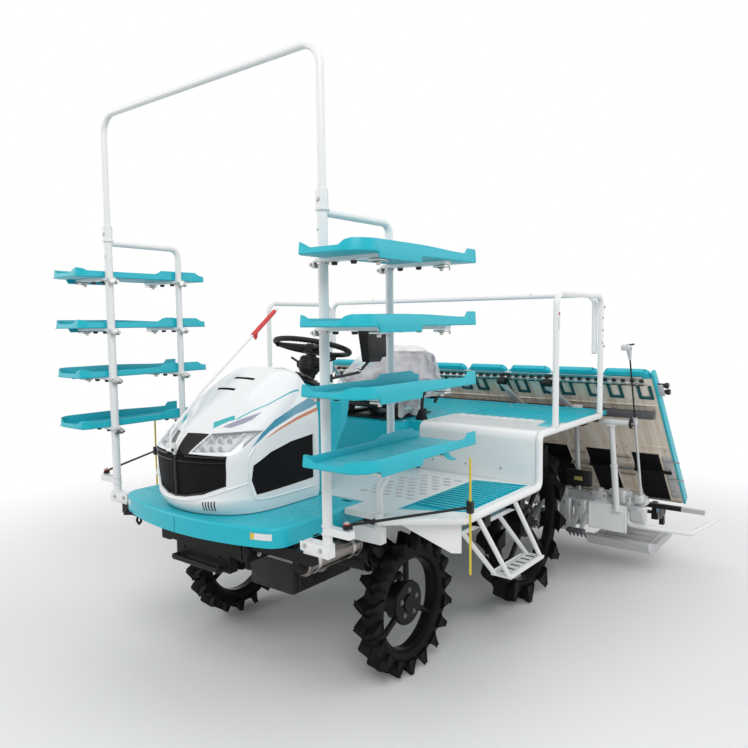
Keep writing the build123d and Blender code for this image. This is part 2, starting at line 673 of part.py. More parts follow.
# ================================================================ seat
SEAT_Y = AX + 640
SEAT_REAR = AX + 880
with BuildPart() as backrest:
    with BuildSketch(Plane.XZ.offset(-(SEAT_REAR - 62))):
        with BuildLine():
            FilletPolyline((-236, 1200), (236, 1200), (240, 1350), (170, 1500), (-170, 1500), (-240, 1350),
                           (-236, 1200), close=True, radius=40)
        make_face()
    extrude(amount=-62)
    fillet(backrest.faces().filter_by(Axis.Y).edges(), 18)
with BuildPart() as seat:
    with BuildSketch(Plane.XY.offset(1180)):
        with Locations((0, SEAT_REAR - 250)):
            RectangleRounded(470, 440, 70)
    extrude(amount=105)
    fillet(seat.faces().sort_by(Axis.Z)[-1].edges(), 30)
    add(backrest.part)
    for side in SIDES:
        add(block(sorted((side * 190, side * 236)), (SEAT_REAR - 230, SEAT_REAR - 30), (1230, 1330)))
save(seat.part, "seat")

with BuildPart() as seat_base:
    add(block((-205, 205), (SEAT_Y - 220, SEAT_Y + 150), (1132, 1179)))
    for side in SIDES:
        add(block(sorted((side * 120, side * 160)), (SEAT_Y - 200, SEAT_Y + 120), (STEP_Z, 1133)))
save(seat_base.part, "seat_base")

# ================================================================ terminal and side lever
gooseneck = bar([(COWL_HALF, AX - 150, 1370), (275, AX - 150, 1370), (275, AX + 60, 1385),
                 (275, AX + 150, 1445)], 14, 12)
with BuildPart() as terminal_box:
    with BuildSketch(Plane.XY.offset(1432)):
        with Locations((275, AX + 160)):
            Rectangle(46, 90)
    with BuildSketch(Plane.XY.offset(1590)):
        with Locations((275, AX + 200)):
            Rectangle(62, 216)
    loft()
lever = bar([(305, AX + 560, STEP_Z), (305, AX + 560, STEP_Z + 25), (305, AX + 575, 1250)], 18, 20)
with BuildPart() as control_console:
    add(gooseneck)
    add(terminal_box.part)
    add(lever)
save(control_console.part, "control_console")

# ================================================================ edge tubes, handrails, ladders
EDGE_X = FLOOR_HALF + TUBE / 2 + 1
RAIL_TOP_Z = 1762.0
RAIL_FRONT = AX + 690
RAIL_REAR = AX + 1312
rails = []
for side in SIDES:
    edge_z = FLOOR_Z - 8
    rails.append(bar([(side * (RACK_X + 5), AX - 352, edge_z), (side * 745, AX - 398, edge_z),
                      (side * EDGE_X, AX - 186, edge_z), (side * EDGE_X, AX + 500, edge_z),
                      (side * EDGE_X, AX + 500, STEP_Z - 12), (side * EDGE_X, RAIL_REAR, STEP_Z - 12)],
                     TUBE, 32))
    rails.append(bar([(side * EDGE_X, RAIL_FRONT, STEP_Z - 12), (side * EDGE_X, RAIL_FRONT, RAIL_TOP_Z),
                      (side * EDGE_X, RAIL_REAR, RAIL_TOP_Z), (side * EDGE_X, RAIL_REAR, STEP_Z - 12)],
                     TUBE - 3, 60))
    for z in (1480, 1700):
        rails.append(rod((side * (EDGE_X - TUBE), RAIL_REAR, z), (side * EDGE_X, RAIL_REAR, z), 12))
bar_x = EDGE_X - TUBE - 2
rails.append(bar([(-bar_x, RAIL_REAR, 1440), (-bar_x, RAIL_REAR, 1772), (bar_x, RAIL_REAR, 1772),
                  (bar_x, RAIL_REAR, 1440)], TUBE - 4, 60))
rack_feet = []
for side in SIDES:
    rack_feet.append(rod((side * RACK_X, AX - 345, 790), (side * RACK_X, AX - 345, 900), REAR_TUBE + 1))
with BuildPart() as handrails:
    for piece in rails:
        add(piece)
    for piece in rack_feet:
        add(piece, mode=Mode.SUBTRACT)
save(handrails.part, "handrails")

STEP_LOW = 480.0
ladder_pieces = []
for side in SIDES:
    step_x = sorted((side * 930, side * 1032))
    ladder_pieces.append(block(step_x, (AX + 190, AX + 540), (STEP_LOW - 6, STEP_LOW + 6)))
    for y_low in (AX + 200, AX + 530):
        outer_top = (side * EDGE_X, y_low - 300, FLOOR_Z - 8)
        inner_top = (side * 915, y_low - 240, RAIL_TOP - 12)
        ladder_pieces.append(rod((side * 1018, y_low, STEP_LOW), outer_top, 22))
        ladder_pieces.append(rod((side * 944, y_low, STEP_LOW), inner_top, 22))
    ladder_pieces.append(rod((side * 1018, AX + 200, STEP_LOW), (side * 1018, AX + 530, STEP_LOW), 22))
    ledge_x = sorted((side * 902, side * 928))
    ladder_pieces.append(block(ledge_x, (AX - 80, AX + 440), (RAIL_TOP - 20, RAIL_TOP)))
with BuildPart() as step_ladders:
    for piece in ladder_pieces:
        add(piece)
    for side in SIDES:
        add(rod((side * EDGE_X, AX - 150, FLOOR_Z - 8), (side * EDGE_X, AX + 460, FLOOR_Z - 8), TUBE + 1),
            mode=Mode.SUBTRACT)
save(step_ladders.part, "step_ladders")

# ================================================================ seedling racks and gate
rack_pieces = []
rack_bores = []
for side in SIDES:
    front, rear = AX + RACK_FRONT, AX + RACK_REAR
    x = side * RACK_X
    rack_pieces.append(rod((x, front, POST_FOOT_Z + 10), (x, front, SLEEVE_TOP), FRONT_TUBE))
    rack_pieces.append(bar([(x, AX - 345, 740), (x, AX - 345, 945), (x, rear, 1025), (x, rear, RACK_TOP),
                            (x, front, RACK_TOP)], REAR_TUBE, 45))
    rack_pieces.append(block(sorted((side * 598, side * 724)), (front - 20, front + 20), (POST_FOOT_Z, 802)))
    rack_pieces.append(block(sorted((side * 577, side * 724)), (AX - 365, AX - 325), (720, 785)))
    rack_pieces.append(rod((x, front, SLEEVE_TOP - 70), (x, front, SLEEVE_TOP), FRONT_TUBE + 8))
    rack_pieces.append(block(sorted((side * 710, side * 825)), (front - 16, front + 16), (842, 872)))
    for z in TRAY_LEVELS:
        for y in (front, rear):
            arm_x = sorted((side * (RACK_X - 24), side * (TRAY_OUTER - 15)))
            rack_pieces.append(block(arm_x, (y - 20, y + 20), (z + TRAY_LIFT - 14, z + TRAY_LIFT)))
    rack_bores.append(rod((x, front, SLEEVE_TOP - 60), (x, front, SLEEVE_TOP + 1), GATE_TUBE))
with BuildPart() as rack_posts:
    for piece in rack_pieces:
        add(piece)
    for piece in rack_bores:
        add(piece, mode=Mode.SUBTRACT)
save(rack_posts.part, "rack_posts")

gate_line = [(-RACK_X, AX + RACK_FRONT, SLEEVE_TOP - 60), (-RACK_X, AX + RACK_FRONT, GATE_TOP),
             (RACK_X, AX + RACK_FRONT, GATE_TOP), (RACK_X, AX + RACK_FRONT, SLEEVE_TOP - 60)]
save(bar(gate_line, GATE_TUBE, 90), "overhead_gate")

TRAY_CORNER = 90.0                  # radius of the front outer corner
TRAY_RIM = 42.0
TRAY_SKIRT = 22.0
TRAY_SLOTS = 5


def tray_plan(side, inset):
    """Plan of a seedling tray, moved in by an inset, open at the rear."""
    inner, outer = side * (TRAY_INNER + inset), side * (TRAY_OUTER - inset)
    corner = TRAY_CORNER - inset
    front, rear = AX + TRAY_FRONT + inset, AX + TRAY_REAR + (1 if inset else 0)
    bevel = 0.29 * corner
    with BuildSketch() as plan:
        with BuildLine():
            Line((inner, rear), (inner, front))
            Line((inner, front), (outer - side * corner, front))
            ThreePointArc((outer - side * corner, front), (outer - side * bevel, front + bevel),
                          (outer, front + corner))
            Polyline((outer, front + corner), (outer, rear), (inner, rear))
        make_face()
    return plan.sketch


trays = []
for side in SIDES:
    outer_plan = tray_plan(side, 0)
    inner_plan = tray_plan(side, TRAY_WALL)
    skirt_x = sorted((side * (TRAY_OUTER - TRAY_WALL), side * TRAY_OUTER))
    ear_x = sorted((side * TRAY_INNER, side * (TRAY_INNER + TRAY_WALL)))
    for level in TRAY_LEVELS:
        z = level + TRAY_LIFT
        with BuildPart() as tray:
            with BuildSketch(Plane.XY.offset(z)):
                add(outer_plan)
            extrude(amount=TRAY_RIM)
            with BuildSketch(Plane.XY.offset(z + 6)):
                add(inner_plan)
            extrude(amount=TRAY_RIM, mode=Mode.SUBTRACT)
            add(block(skirt_x, (AX - 716, AX - 470), (z - TRAY_SKIRT, z + 6)))
            add(block(ear_x, (AX - 260, AX + TRAY_REAR), (z + TRAY_RIM - 2, z + TRAY_RIM + 8)))
            with BuildSketch(Plane.XY.offset(z - 1)):
                with Locations((side * (TRAY_INNER + TRAY_OUTER) / 2, AX - 462)):
                    with GridLocations(44, 0, TRAY_SLOTS, 1):
                        SlotOverall(330, 9, rotation=90)
            extrude(amount=8, mode=Mode.SUBTRACT)
        trays.append(tray.part)
with BuildPart() as seedling_trays:
    for piece in trays:
        add(piece)
save(seedling_trays.part, "seedling_trays")

# ================================================================ side marker arms
MARKER_X = 800.0
MARKER_Z = 872.0 + GAP
for side, word in ((1, "left"), (-1, "right")):
    pivot = (side * MARKER_X, AX + RACK_FRONT)
    tip = (side * 1064, AX - 178, 966)
    marker_rod = rod((pivot[0], pivot[1], MARKER_Z + 12), tip, 14)
    with BuildPart() as marker_arm:
        with BuildSketch(Plane.XY.offset(MARKER_Z)):
            with Locations(pivot):
                Circle(16)
        extrude(amount=26)
        add(marker_rod)
        add(rod((tip[0], tip[1], 600), (tip[0], tip[1], 1095), 10))
        add(block((tip[0] - 13, tip[0] + 13), (tip[1] - 13, tip[1] + 13), (tip[2] - 25, tip[2] + 25)))
    save(marker_arm.part, f"marker_arm_{word}")

# ================================================================ lift linkage
link_dy = LINK_LENGTH * cos(radians(LINK_REST))
link_dz = LINK_LENGTH * sin(radians(LINK_REST))


def link_bar(y, z, x_middle, width):
    """Flat link with an eye at each end, from a front pin to its rear pin."""
    with BuildPart() as link:
        with BuildSketch(Plane.YZ.offset(x_middle - width / 2)):
            with Locations((y, z), (y + link_dy, z + link_dz)):
                Circle(30)
            with Locations(Location((y + link_dy / 2, z + link_dz / 2), LINK_REST)):
                Rectangle(LINK_LENGTH, 44)
            with Locations((y, z), (y + link_dy, z + link_dz)):
                Circle(LINK_PIN / 2 + FIT, mode=Mode.SUBTRACT)
        extrude(amount=width)
    return link.part


HORN = 200.0                        # lift horn's length above the lower cross tube
horn_angle = radians(LINK_REST + 90)
horn_pin = (LOWER_PIN[0] + HORN * cos(horn_angle), LOWER_PIN[1] + HORN * sin(horn_angle))
with BuildPart() as lift_lower_links:
    for side in SIDES:
        add(link_bar(LOWER_PIN[0], LOWER_PIN[1], side * LOWER_X, 24))
    # cross tube between the two links, a little behind the pins, and the horn
    cross = (LOWER_PIN[0] + 75 * cos(radians(LINK_REST)), LOWER_PIN[1] + 75 * sin(radians(LINK_REST)))
    add(rod((-LOWER_X, cross[0], cross[1]), (LOWER_X, cross[0], cross[1]), 40))
    add(side_plate([(cross[0] - 22, cross[1] - 10), (cross[0] + 22, cross[1] - 10),
                    (horn_pin[0] + 20, horn_pin[1] - 6), (horn_pin[0] + 11, horn_pin[1] + 17),
                    (horn_pin[0] - 11, horn_pin[1] + 17), (horn_pin[0] - 20, horn_pin[1] - 6)], -10, 10))
    add(rod((-14, *horn_pin), (14, *horn_pin), 20))
save(lift_lower_links.part, "lift_lower_links")

with BuildPart() as lift_upper_links:
    for side in SIDES:
        add(link_bar(LOWER_PIN[0], LOWER_PIN[1] + UPPER_RISE, side * UPPER_X, 20))
    mid = (LOWER_PIN[0] + link_dy / 2, LOWER_PIN[1] + UPPER_RISE + link_dz / 2)
    add(rod((-UPPER_X, mid[0], mid[1]), (UPPER_X, mid[0], mid[1]), 26))
save(lift_upper_links.part, "lift_upper_links")

# the barrel and rod pull the horn forward to raise the planting unit
CYL_DY, CYL_DZ = horn_pin[0] - BARREL_PIN[0], horn_pin[1] - BARREL_PIN[1]
cyl_len = (CYL_DY ** 2 + CYL_DZ ** 2) ** 0.5
unit = (CYL_DY / cyl_len, CYL_DZ / cyl_len)


def along(distance):
    """Point on the lift cylinder's line, from its front pin."""
    return (0, BARREL_PIN[0] + unit[0] * distance, BARREL_PIN[1] + unit[1] * distance)


BARREL_END = 345.0
barrel_tube = rod(along(24), along(BARREL_END), 64)
barrel_bore = rod(along(90), along(BARREL_END + 1), 28 + 2 * FIT)
barrel_pin_bore = rod((-19, *BARREL_PIN), (19, *BARREL_PIN), 24 + 2 * FIT)
with BuildPart() as cylinder_barrel:
    add(barrel_tube)
    add(rod((-18, BARREL_PIN[0], BARREL_PIN[1]), (18, BARREL_PIN[0], BARREL_PIN[1]), 56))
    add(barrel_bore, mode=Mode.SUBTRACT)
    add(barrel_pin_bore, mode=Mode.SUBTRACT)
save(cylinder_barrel.part, "cylinder_barrel")

# the rod's fork straddles the horn, and its crotch leaves room for the eye's drift
FORK_BACK = 52.0
with BuildPart() as cylinder_rod:
    add(rod(along(250), along(cyl_len - FORK_BACK), 28))
    add(block((-24, 24), (horn_pin[0] - FORK_BACK - 22, horn_pin[0] - FORK_BACK + 4),
              (horn_pin[1] - 17, horn_pin[1] + 17)))
    for side in SIDES:
        add(block(sorted((side * 16, side * 24)), (horn_pin[0] - FORK_BACK, horn_pin[0] + 18),
                  (horn_pin[1] - 17, horn_pin[1] + 17)))
save(cylinder_rod.part, "cylinder_rod")

# ================================================================ planting unit
HITCH_Y = LOWER_PIN[0] + link_dy    # station of the links' rear pins
HITCH_LOW = LOWER_PIN[1] + link_dz
HITCH_HIGH = HITCH_LOW + UPPER_RISE
HALF_SPAN = ROW_PITCH * ROWS / 2
ROTOR_Y, ROTOR_Z = AX + 2440, 262.0
CASE_X = [(i - 1.5) * 2 * ROW_PITCH for i in range(4)]
ROW_X = [(i - (ROWS - 1) / 2) * ROW_PITCH for i in range(ROWS)]
RAIL_HALF = 1392.0
TABLE_TOP = (AX + 1483, 1290.0)
TABLE_END = (AX + 2262, 402.0)
SHAFT = 26.0
FLOAT_LOW = 165.0
FLOAT_PIN = (AX + 2120, FLOAT_LOW + 80)
PIN_D = 20.0
ROLLER = (AX + 1468, 1239.0)        # rollers that carry the table's top rail

frame2 = []
for z, x in ((HITCH_LOW, LOWER_X), (HITCH_HIGH, UPPER_X)):
    for side in SIDES:
        frame2.append(rod((side * (x - 20), HITCH_Y, z), (side * (x + 40), HITCH_Y, z), LINK_PIN))
        frame2.append(block(sorted((side * (x + 18), side * (x + 34))), (HITCH_Y - 24, HITCH_Y + 60),
                            (z - 30, z + 30)))
frame2.append(block((-215, 215), (HITCH_Y + 46, HITCH_Y + 66), (HITCH_LOW - 34, HITCH_HIGH + 34)))
frame2.append(block((-1110, 1110), (HITCH_Y + 60, HITCH_Y + 130), (470, 540)))
case_outline = [(HITCH_Y + 100, 535), (HITCH_Y + 100, 420), (AX + 2060, 300),
                (ROTOR_Y, ROTOR_Z - 44), (ROTOR_Y + 44, ROTOR_Z), (ROTOR_Y, ROTOR_Z + 44),
                (AX + 2210, 348), (AX + 2060, 410)]
comb_arm = [(HITCH_Y + 80, 500), (HITCH_Y + 110, 500), (AX + 1440, 262), (AX + 1410, 262)]
for x in CASE_X:
    frame2.append(side_plate(case_outline, x - 45, x + 45))
    # float bracket under each case
    frame2.append(block((x - 12, x + 12), (FLOAT_PIN[0] - 24, FLOAT_PIN[0] + 24), (FLOAT_PIN[1] - 14, 310)))
    frame2.append(rod((x - 48, *FLOAT_PIN), (x + 48, *FLOAT_PIN), PIN_D))
for side in SIDES:
    frame2.append(rod((side * 430, HITCH_Y + 95, 520), (side * 430, AX + 1625, 1060), 34))
    # T-shaped post with its cross pipe and end flange
    frame2.append(rod((side * 1010, AX + 1680, 500), (side * 1010, AX + 1500, 1020), 36))
    frame2.append(rod((side * 974, AX + 1500, 1025), (side * 1141, AX + 1500, 1025), 32))
    frame2.append(rod((side * 1141, AX + 1500, 1025), (side * 1150, AX + 1500, 1025), 62))
    # long rod to the row marker's head
    frame2.append(block(sorted((side * 1100, side * 1172)), (HITCH_Y + 100, AX + 1780), (494, 526)))
    frame2.append(rod((side * 1160, AX + 1762, 520), (side * 1160, AX + 1278, 1506), 16))
    frame2.append(block(sorted((side * 1120, side * 1168)), (AX + 1262, AX + 1294), (1488, 1518)))
    # arms and rollers under the table's top rail
    for foot, head in ((399, 323), (740, 632)):
        frame2.append(rod((side * foot, AX + 1612, 1078), (side * head, *ROLLER), 24))
        frame2.append(rod((side * head - 17, *ROLLER), (side * head + 17, *ROLLER), 40))
    # post from the beam to the channel, outside the inner cases
    frame2.append(rod((side * 760, HITCH_Y + 95, 520), (side * 760, AX + 1625, 1060), 30))
frame2.append(block((-1234, 1234), (AX + 1600, AX + 1650), (1042, 1085)))
for x in CASE_X:
    frame2.append(block((x - 14, x + 14), (AX + 2200, AX + 2250), (300, 366)))
frame2.append(block((-RAIL_HALF, RAIL_HALF), (AX + 2228, AX + 2262), (350, 378)))
# levelling combs in front of the floats, clear of the rear wheels and the lift links
for x_low, x_high in ((-873, -765), (-560, -235), (235, 560), (765, 873)):
    for x in (x_low + 18, x_high - 38):
        frame2.append(side_plate(comb_arm, x, x + 20))
    frame2.append(block((x_low, x_high), (AX + 1405, AX + 1435), (246, 270)))
with BuildPart() as planter_frame:
    for piece in frame2:
        add(piece)
    with BuildSketch(Plane.YZ.offset(-1200)):
        with Locations((ROTOR_Y, ROTOR_Z)):
            Circle(SHAFT / 2 + FIT)
    extrude(amount=2400, mode=Mode.SUBTRACT)
save(planter_frame.part, "planter_frame")

rotor_sets = []
for x in CASE_X:
    pieces = [rod((x - 172, ROTOR_Y, ROTOR_Z), (x + 172, ROTOR_Y, ROTOR_Z), SHAFT)]
    for dx in (-ROW_PITCH / 2, ROW_PITCH / 2):
        pieces.append(side_plate([(ROTOR_Y - 105, ROTOR_Z - 22), (ROTOR_Y, ROTOR_Z - 38),
                                  (ROTOR_Y + 105, ROTOR_Z - 22), (ROTOR_Y + 105, ROTOR_Z + 22),
                                  (ROTOR_Y, ROTOR_Z + 38), (ROTOR_Y - 105, ROTOR_Z + 22)],
                                 x + dx - 20, x + dx + 20))
        for end in (1, -1):
            pieces.append(block((x + dx - 16, x + dx + 16),
                                sorted((ROTOR_Y + end * 72, ROTOR_Y + end * 109)),
                                sorted((ROTOR_Z, ROTOR_Z - end * 103))))
    rotor_sets.append(pieces)
with BuildPart() as planting_rotors:
    for pieces in rotor_sets:
        for piece in pieces:
            add(piece)
save(planting_rotors.part, "planting_rotors")

slope = atan2(TABLE_TOP[1] - TABLE_END[1], TABLE_END[0] - TABLE_TOP[0])
table_length = ((TABLE_TOP[1] - TABLE_END[1]) ** 2 + (TABLE_END[0] - TABLE_TOP[0]) ** 2) ** 0.5
normal = Vector(0, sin(slope), cos(slope))
down = Vector(0, cos(slope), -sin(slope))
table_origin = Vector(TABLE_SHIFT, *TABLE_TOP)
table_plane = Plane(origin=table_origin, x_dir=(1, 0, 0), z_dir=normal)
BELT_LOW, BELT_HIGH = 685.0, 1160.0
BELT_W = 172.0
BELT_X = [x - 14 for x in ROW_X]    # belts sit a little to the right of their rows' middles
LOBE_X = [x + 8 for x in ROW_X]
table_rail = Vector(0, *TABLE_TOP) + down * 25 - normal * 11
cross_shaft = Vector(0, *TABLE_TOP) + down * 838 - normal * 21
top_rail = rod((TABLE_SHIFT - 1150, table_rail.Y, table_rail.Z),
               (TABLE_SHIFT + 1150, table_rail.Y, table_rail.Z), 26)
drive_shaft = rod((TABLE_SHIFT - 1180, cross_shaft.Y, cross_shaft.Z),
                  (TABLE_SHIFT + 1180, cross_shaft.Y, cross_shaft.Z), 22)
with BuildPart() as table_panel:
    with BuildSketch(table_plane):
        with Locations((0, table_length / 2)):
            Rectangle(2 * HALF_SPAN, table_length)
    extrude(amount=14)
    with BuildSketch(table_plane.offset(-1)):
        with Locations(*[(x, (BELT_LOW + BELT_HIGH) / 2) for x in BELT_X]):
            Rectangle(BELT_W, BELT_HIGH - BELT_LOW)
    extrude(amount=16, mode=Mode.SUBTRACT)
    add(top_rail)
save(table_panel.part, "table_panel")

with BuildPart() as seedling_table:
    with BuildSketch(table_plane.offset(14)):
        with Locations(*[((i - ROWS / 2) * ROW_PITCH, table_length / 2) for i in range(1, ROWS)]):
            Rectangle(16, table_length)
    extrude(amount=30)
    with BuildSketch(table_plane.offset(-6)):
        with Locations(*[(s * (HALF_SPAN + 7), table_length / 2) for s in SIDES]):
            Rectangle(14, table_length)
    extrude(amount=62)
    with BuildSketch(table_plane.offset(-2)):
        with Locations(*[(x, -26) for x in LOBE_X]):
            RectangleRounded(ROW_PITCH - 26, 52, 18)
    extrude(amount=34)
    # two U-shaped loops under each row's top end
    with BuildSketch(table_plane):
        with Locations(*[(x + dx, 104) for x in LOBE_X for dx in (-86, 86)]):
            Rectangle(64, 95)
            Rectangle(40, 71, mode=Mode.SUBTRACT)
    extrude(amount=-10)
save(seedling_table.part, "seedling_table")

with BuildPart() as feed_belts:
    with BuildSketch(table_plane.offset(1)):
        with Locations(*[(x, (BELT_LOW + BELT_HIGH) / 2) for x in BELT_X]):
            Rectangle(BELT_W - 4, BELT_HIGH - BELT_LOW - 4)
    extrude(amount=18)
    with BuildSketch(table_plane.offset(-14)):
        with Locations(*[(x, 838) for x in BELT_X]):
            Rectangle(BELT_W - 12, 70)
    extrude(amount=16)
    add(drive_shaft)
save(feed_belts.part, "feed_belts")


def float_body(x_low, x_high, nose_y, rear_y):
    """Pontoon with an upturned nose."""
    top = FLOAT_LOW + 46
    with BuildPart() as pontoon:
        with BuildSketch(Plane.YZ.offset(x_low)):
            with BuildLine():
                Polyline((rear_y, FLOAT_LOW + 5), (nose_y + 150, FLOAT_LOW))
                ThreePointArc((nose_y + 150, FLOAT_LOW), (nose_y + 50, FLOAT_LOW + 26),
                              (nose_y, FLOAT_LOW + 84))
                Polyline((nose_y, FLOAT_LOW + 84), (nose_y + 30, FLOAT_LOW + 94), (nose_y + 170, top + 4),
                         (rear_y, top), (rear_y, FLOAT_LOW + 5))
            make_face()
        extrude(amount=x_high - x_low)
    return pontoon.part


def float_ears(x):
    """Two ears round the pin under a planting case."""
    y, z = FLOAT_PIN
    ears_y = [(y - 36, FLOAT_LOW + 40), (y + 36, FLOAT_LOW + 40), (y + 20, z + 17), (y - 20, z + 17)]
    return [side_plate(ears_y, x + side * 36 - 6, x + side * 36 + 6) for side in SIDES]


FLOAT_REAR = AX + 2230
float_sets = {
    # label: pontoons as (low x, high x, nose), and the cases that carry them
    "centre_float": ([(-200, 200, AX + 1560), (-560, -190, AX + 1880), (190, 560, AX + 1880)], CASE_X[1:3]),
    "side_floats": ([(-1190, -800, AX + 1700), (800, 1190, AX + 1700)], (CASE_X[0], CASE_X[3]))}
for label, (table, cases) in float_sets.items():
    pieces = [float_body(x_low, x_high, nose_y, FLOAT_REAR) for x_low, x_high, nose_y in table]
    for x in cases:
        pieces.extend(float_ears(x))
    with BuildPart() as floats:
        for piece in pieces:
            add(piece)
        with BuildSketch(Plane.YZ.offset(-1200)):
            with Locations(FLOAT_PIN):
                Circle(PIN_D / 2 + FIT)
        extrude(amount=2400, mode=Mode.SUBTRACT)
    save(floats.part, label)

guards = []
for side in SIDES:
    guards.append(bar([(side * 1060, AX + 1704, 469), (side * 1060, AX + 1704, 363),
                       (side * 1380, AX + 1924, 303), (side * 1460, AX + 2300, 320)], 30, 45))
with BuildPart() as guard_tubes:
    for piece in guards:
        add(piece)
save(guard_tubes.part, "guard_tubes")

with BuildPart() as planter_covers:
    for side in SIDES:
        add(block(sorted((side * 858, side * 1090)), (AX + 1598, AX + 1612), (335, 500)))
        add(block(sorted((side * 880, side * 990)), (AX + 1611, HITCH_Y + 60), (486, 500)))
save(planter_covers.part, "planter_covers")
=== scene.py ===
"""Ride-on rice transplanter for eight rows: the visual model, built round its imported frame.

Metres, Z up. The machine faces -Y and its left side is +X. Stations are measured
from the front axle, and the sections follow the machine as it is put together.
"""
from math import cos, hypot, pi, radians, sin, sqrt, tau

import bmesh
import bpy
from mathutils import Matrix, Vector
from mathutils import noise as wave_noise
from mathutils.bvhtree import BVHTree


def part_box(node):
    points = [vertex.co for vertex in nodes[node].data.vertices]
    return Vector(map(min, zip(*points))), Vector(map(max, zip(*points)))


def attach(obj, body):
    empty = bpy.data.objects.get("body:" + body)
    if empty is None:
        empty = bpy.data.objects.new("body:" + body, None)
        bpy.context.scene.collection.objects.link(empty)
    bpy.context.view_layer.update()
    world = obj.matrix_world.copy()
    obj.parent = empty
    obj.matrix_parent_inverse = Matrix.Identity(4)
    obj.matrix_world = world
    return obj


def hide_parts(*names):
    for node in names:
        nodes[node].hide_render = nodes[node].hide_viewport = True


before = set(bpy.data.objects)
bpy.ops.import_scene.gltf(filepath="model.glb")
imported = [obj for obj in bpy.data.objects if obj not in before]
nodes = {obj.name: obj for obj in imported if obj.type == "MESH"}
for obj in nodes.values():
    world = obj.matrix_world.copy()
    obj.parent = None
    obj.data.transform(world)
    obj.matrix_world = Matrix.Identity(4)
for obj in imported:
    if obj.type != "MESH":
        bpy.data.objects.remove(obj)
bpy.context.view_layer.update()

# ================================================================ chassis frame
# Welded box-section rails and cross members in satin black paint. Paint hides the mill
# scale, so the surface shows a faint orange peel, field dust low down and rubbed edges.
AXLE_Y = (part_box("front_tyre_left")[0][1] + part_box("front_tyre_left")[1][1]) / 2
LEFT, RIGHT = 1, -1
SIDES = (LEFT, RIGHT)
NAMED_SIDES = ((LEFT, "left"), (RIGHT, "right"))


def at(x, y, z):
    """Point whose station y is measured from the front axle."""
    return Vector((x, AXLE_Y + y, z))


def new_group(name, inputs, outputs):
    """Empty shader group with named sockets; a pair of numbers gives a default, a triple a vector."""
    group = bpy.data.node_groups.new(name, "ShaderNodeTree")
    for label, default in inputs.items():
        kind = "NodeSocketFloat"
        if isinstance(default, tuple):
            kind = "NodeSocketColor" if len(default) == 4 else "NodeSocketVector"
        socket = group.interface.new_socket(name=label, in_out="INPUT", socket_type=kind)
        socket.default_value = default
    for label, kind in outputs.items():
        group.interface.new_socket(name=label, in_out="OUTPUT", socket_type=kind)
    return group, group.nodes.new("NodeGroupInput"), group.nodes.new("NodeGroupOutput")


def feed(tree, socket, value):
    """A socket gets a link from another socket, or a constant."""
    if isinstance(value, bpy.types.NodeSocket):
        tree.links.new(value, socket)
    else:
        socket.default_value = value


def math_node(tree, operation, first, second, clamp=False):
    """Math node whose operands are sockets or numbers."""
    node = tree.nodes.new("ShaderNodeMath")
    node.operation = operation
    node.use_clamp = clamp
    for socket, value in zip(node.inputs, (first, second)):
        feed(tree, socket, value)
    return node.outputs[0]


def noise(tree, vector, scale, detail=3.0):
    """Noise factor at a scale that may be a socket."""
    node = tree.nodes.new("ShaderNodeTexNoise")
    tree.links.new(vector, node.inputs["Vector"])
    feed(tree, node.inputs["Scale"], scale)
    node.inputs["Detail"].default_value = detail
    return node.outputs["Fac"]


def mix_colour(tree, factor, first, second, blend="MIX"):
    """Colour mix whose factor and colours are sockets or values."""
    node = tree.nodes.new("ShaderNodeMix")
    node.data_type = "RGBA"
    node.blend_type = blend
    for socket, value in ((node.inputs[0], factor), (node.inputs[6], first), (node.inputs[7], second)):
        feed(tree, socket, value)
    return node.outputs[2]


# mottle: slow lightness change over a surface
mottle_group, mottle_in, mottle_out = new_group(
    "mottle", {"Vector": (0.0, 0.0, 0.0), "Colour": (0.5, 0.5, 0.5, 1.0), "Scale": 6.0, "Amount": 0.1},
    {"Colour": "NodeSocketColor"})
swing = math_node(mottle_group, "SUBTRACT", noise(mottle_group, mottle_in.outputs["Vector"],
                                                  mottle_in.outputs["Scale"]), 0.5)
swing = math_node(mottle_group, "MULTIPLY", swing, mottle_in.outputs["Amount"])
level = mottle_group.nodes.new("ShaderNodeHueSaturation")
mottle_group.links.new(math_node(mottle_group, "ADD", swing, 1.0), level.inputs["Value"])
mottle_group.links.new(mottle_in.outputs["Colour"], level.inputs["Color"])
mottle_group.links.new(level.outputs["Color"], mottle_out.inputs["Colour"])

# dust: pale soil that settles low down and on faces that look up
dust_group, dust_in, dust_out = new_group(
    "field dust", {"Vector": (0.0, 0.0, 0.0), "Colour": (0.5, 0.5, 0.5, 1.0), "Amount": 0.2, "Reach": 0.7,
                   "Roughness": 0.4},
    {"Colour": "NodeSocketColor", "Roughness": "NodeSocketFloat"})
axes = dust_group.nodes.new("ShaderNodeSeparateXYZ")
dust_group.links.new(dust_in.outputs["Vector"], axes.inputs[0])
shape = dust_group.nodes.new("ShaderNodeNewGeometry")
facing = dust_group.nodes.new("ShaderNodeSeparateXYZ")
dust_group.links.new(shape.outputs["Normal"], facing.inputs[0])
low_down = math_node(dust_group, "SUBTRACT", 1.0,
                     math_node(dust_group, "DIVIDE", axes.outputs[2], dust_in.outputs["Reach"]), clamp=True)
on_top = math_node(dust_group, "MULTIPLY", math_node(dust_group, "MAXIMUM", facing.outputs[2], 0.0), 0.35)
patches = math_node(dust_group, "MULTIPLY", noise(dust_group, dust_in.outputs["Vector"], 14.0, 6.0), 1.7)
settled = math_node(dust_group, "MULTIPLY", math_node(dust_group, "ADD", low_down, on_top), patches,
                    clamp=True)
settled = math_node(dust_group, "MULTIPLY", settled, dust_in.outputs["Amount"], clamp=True)
dust_group.links.new(mix_colour(dust_group, settled, dust_in.outputs["Colour"], (0.42, 0.37, 0.3, 1.0)),
                     dust_out.inputs["Colour"])
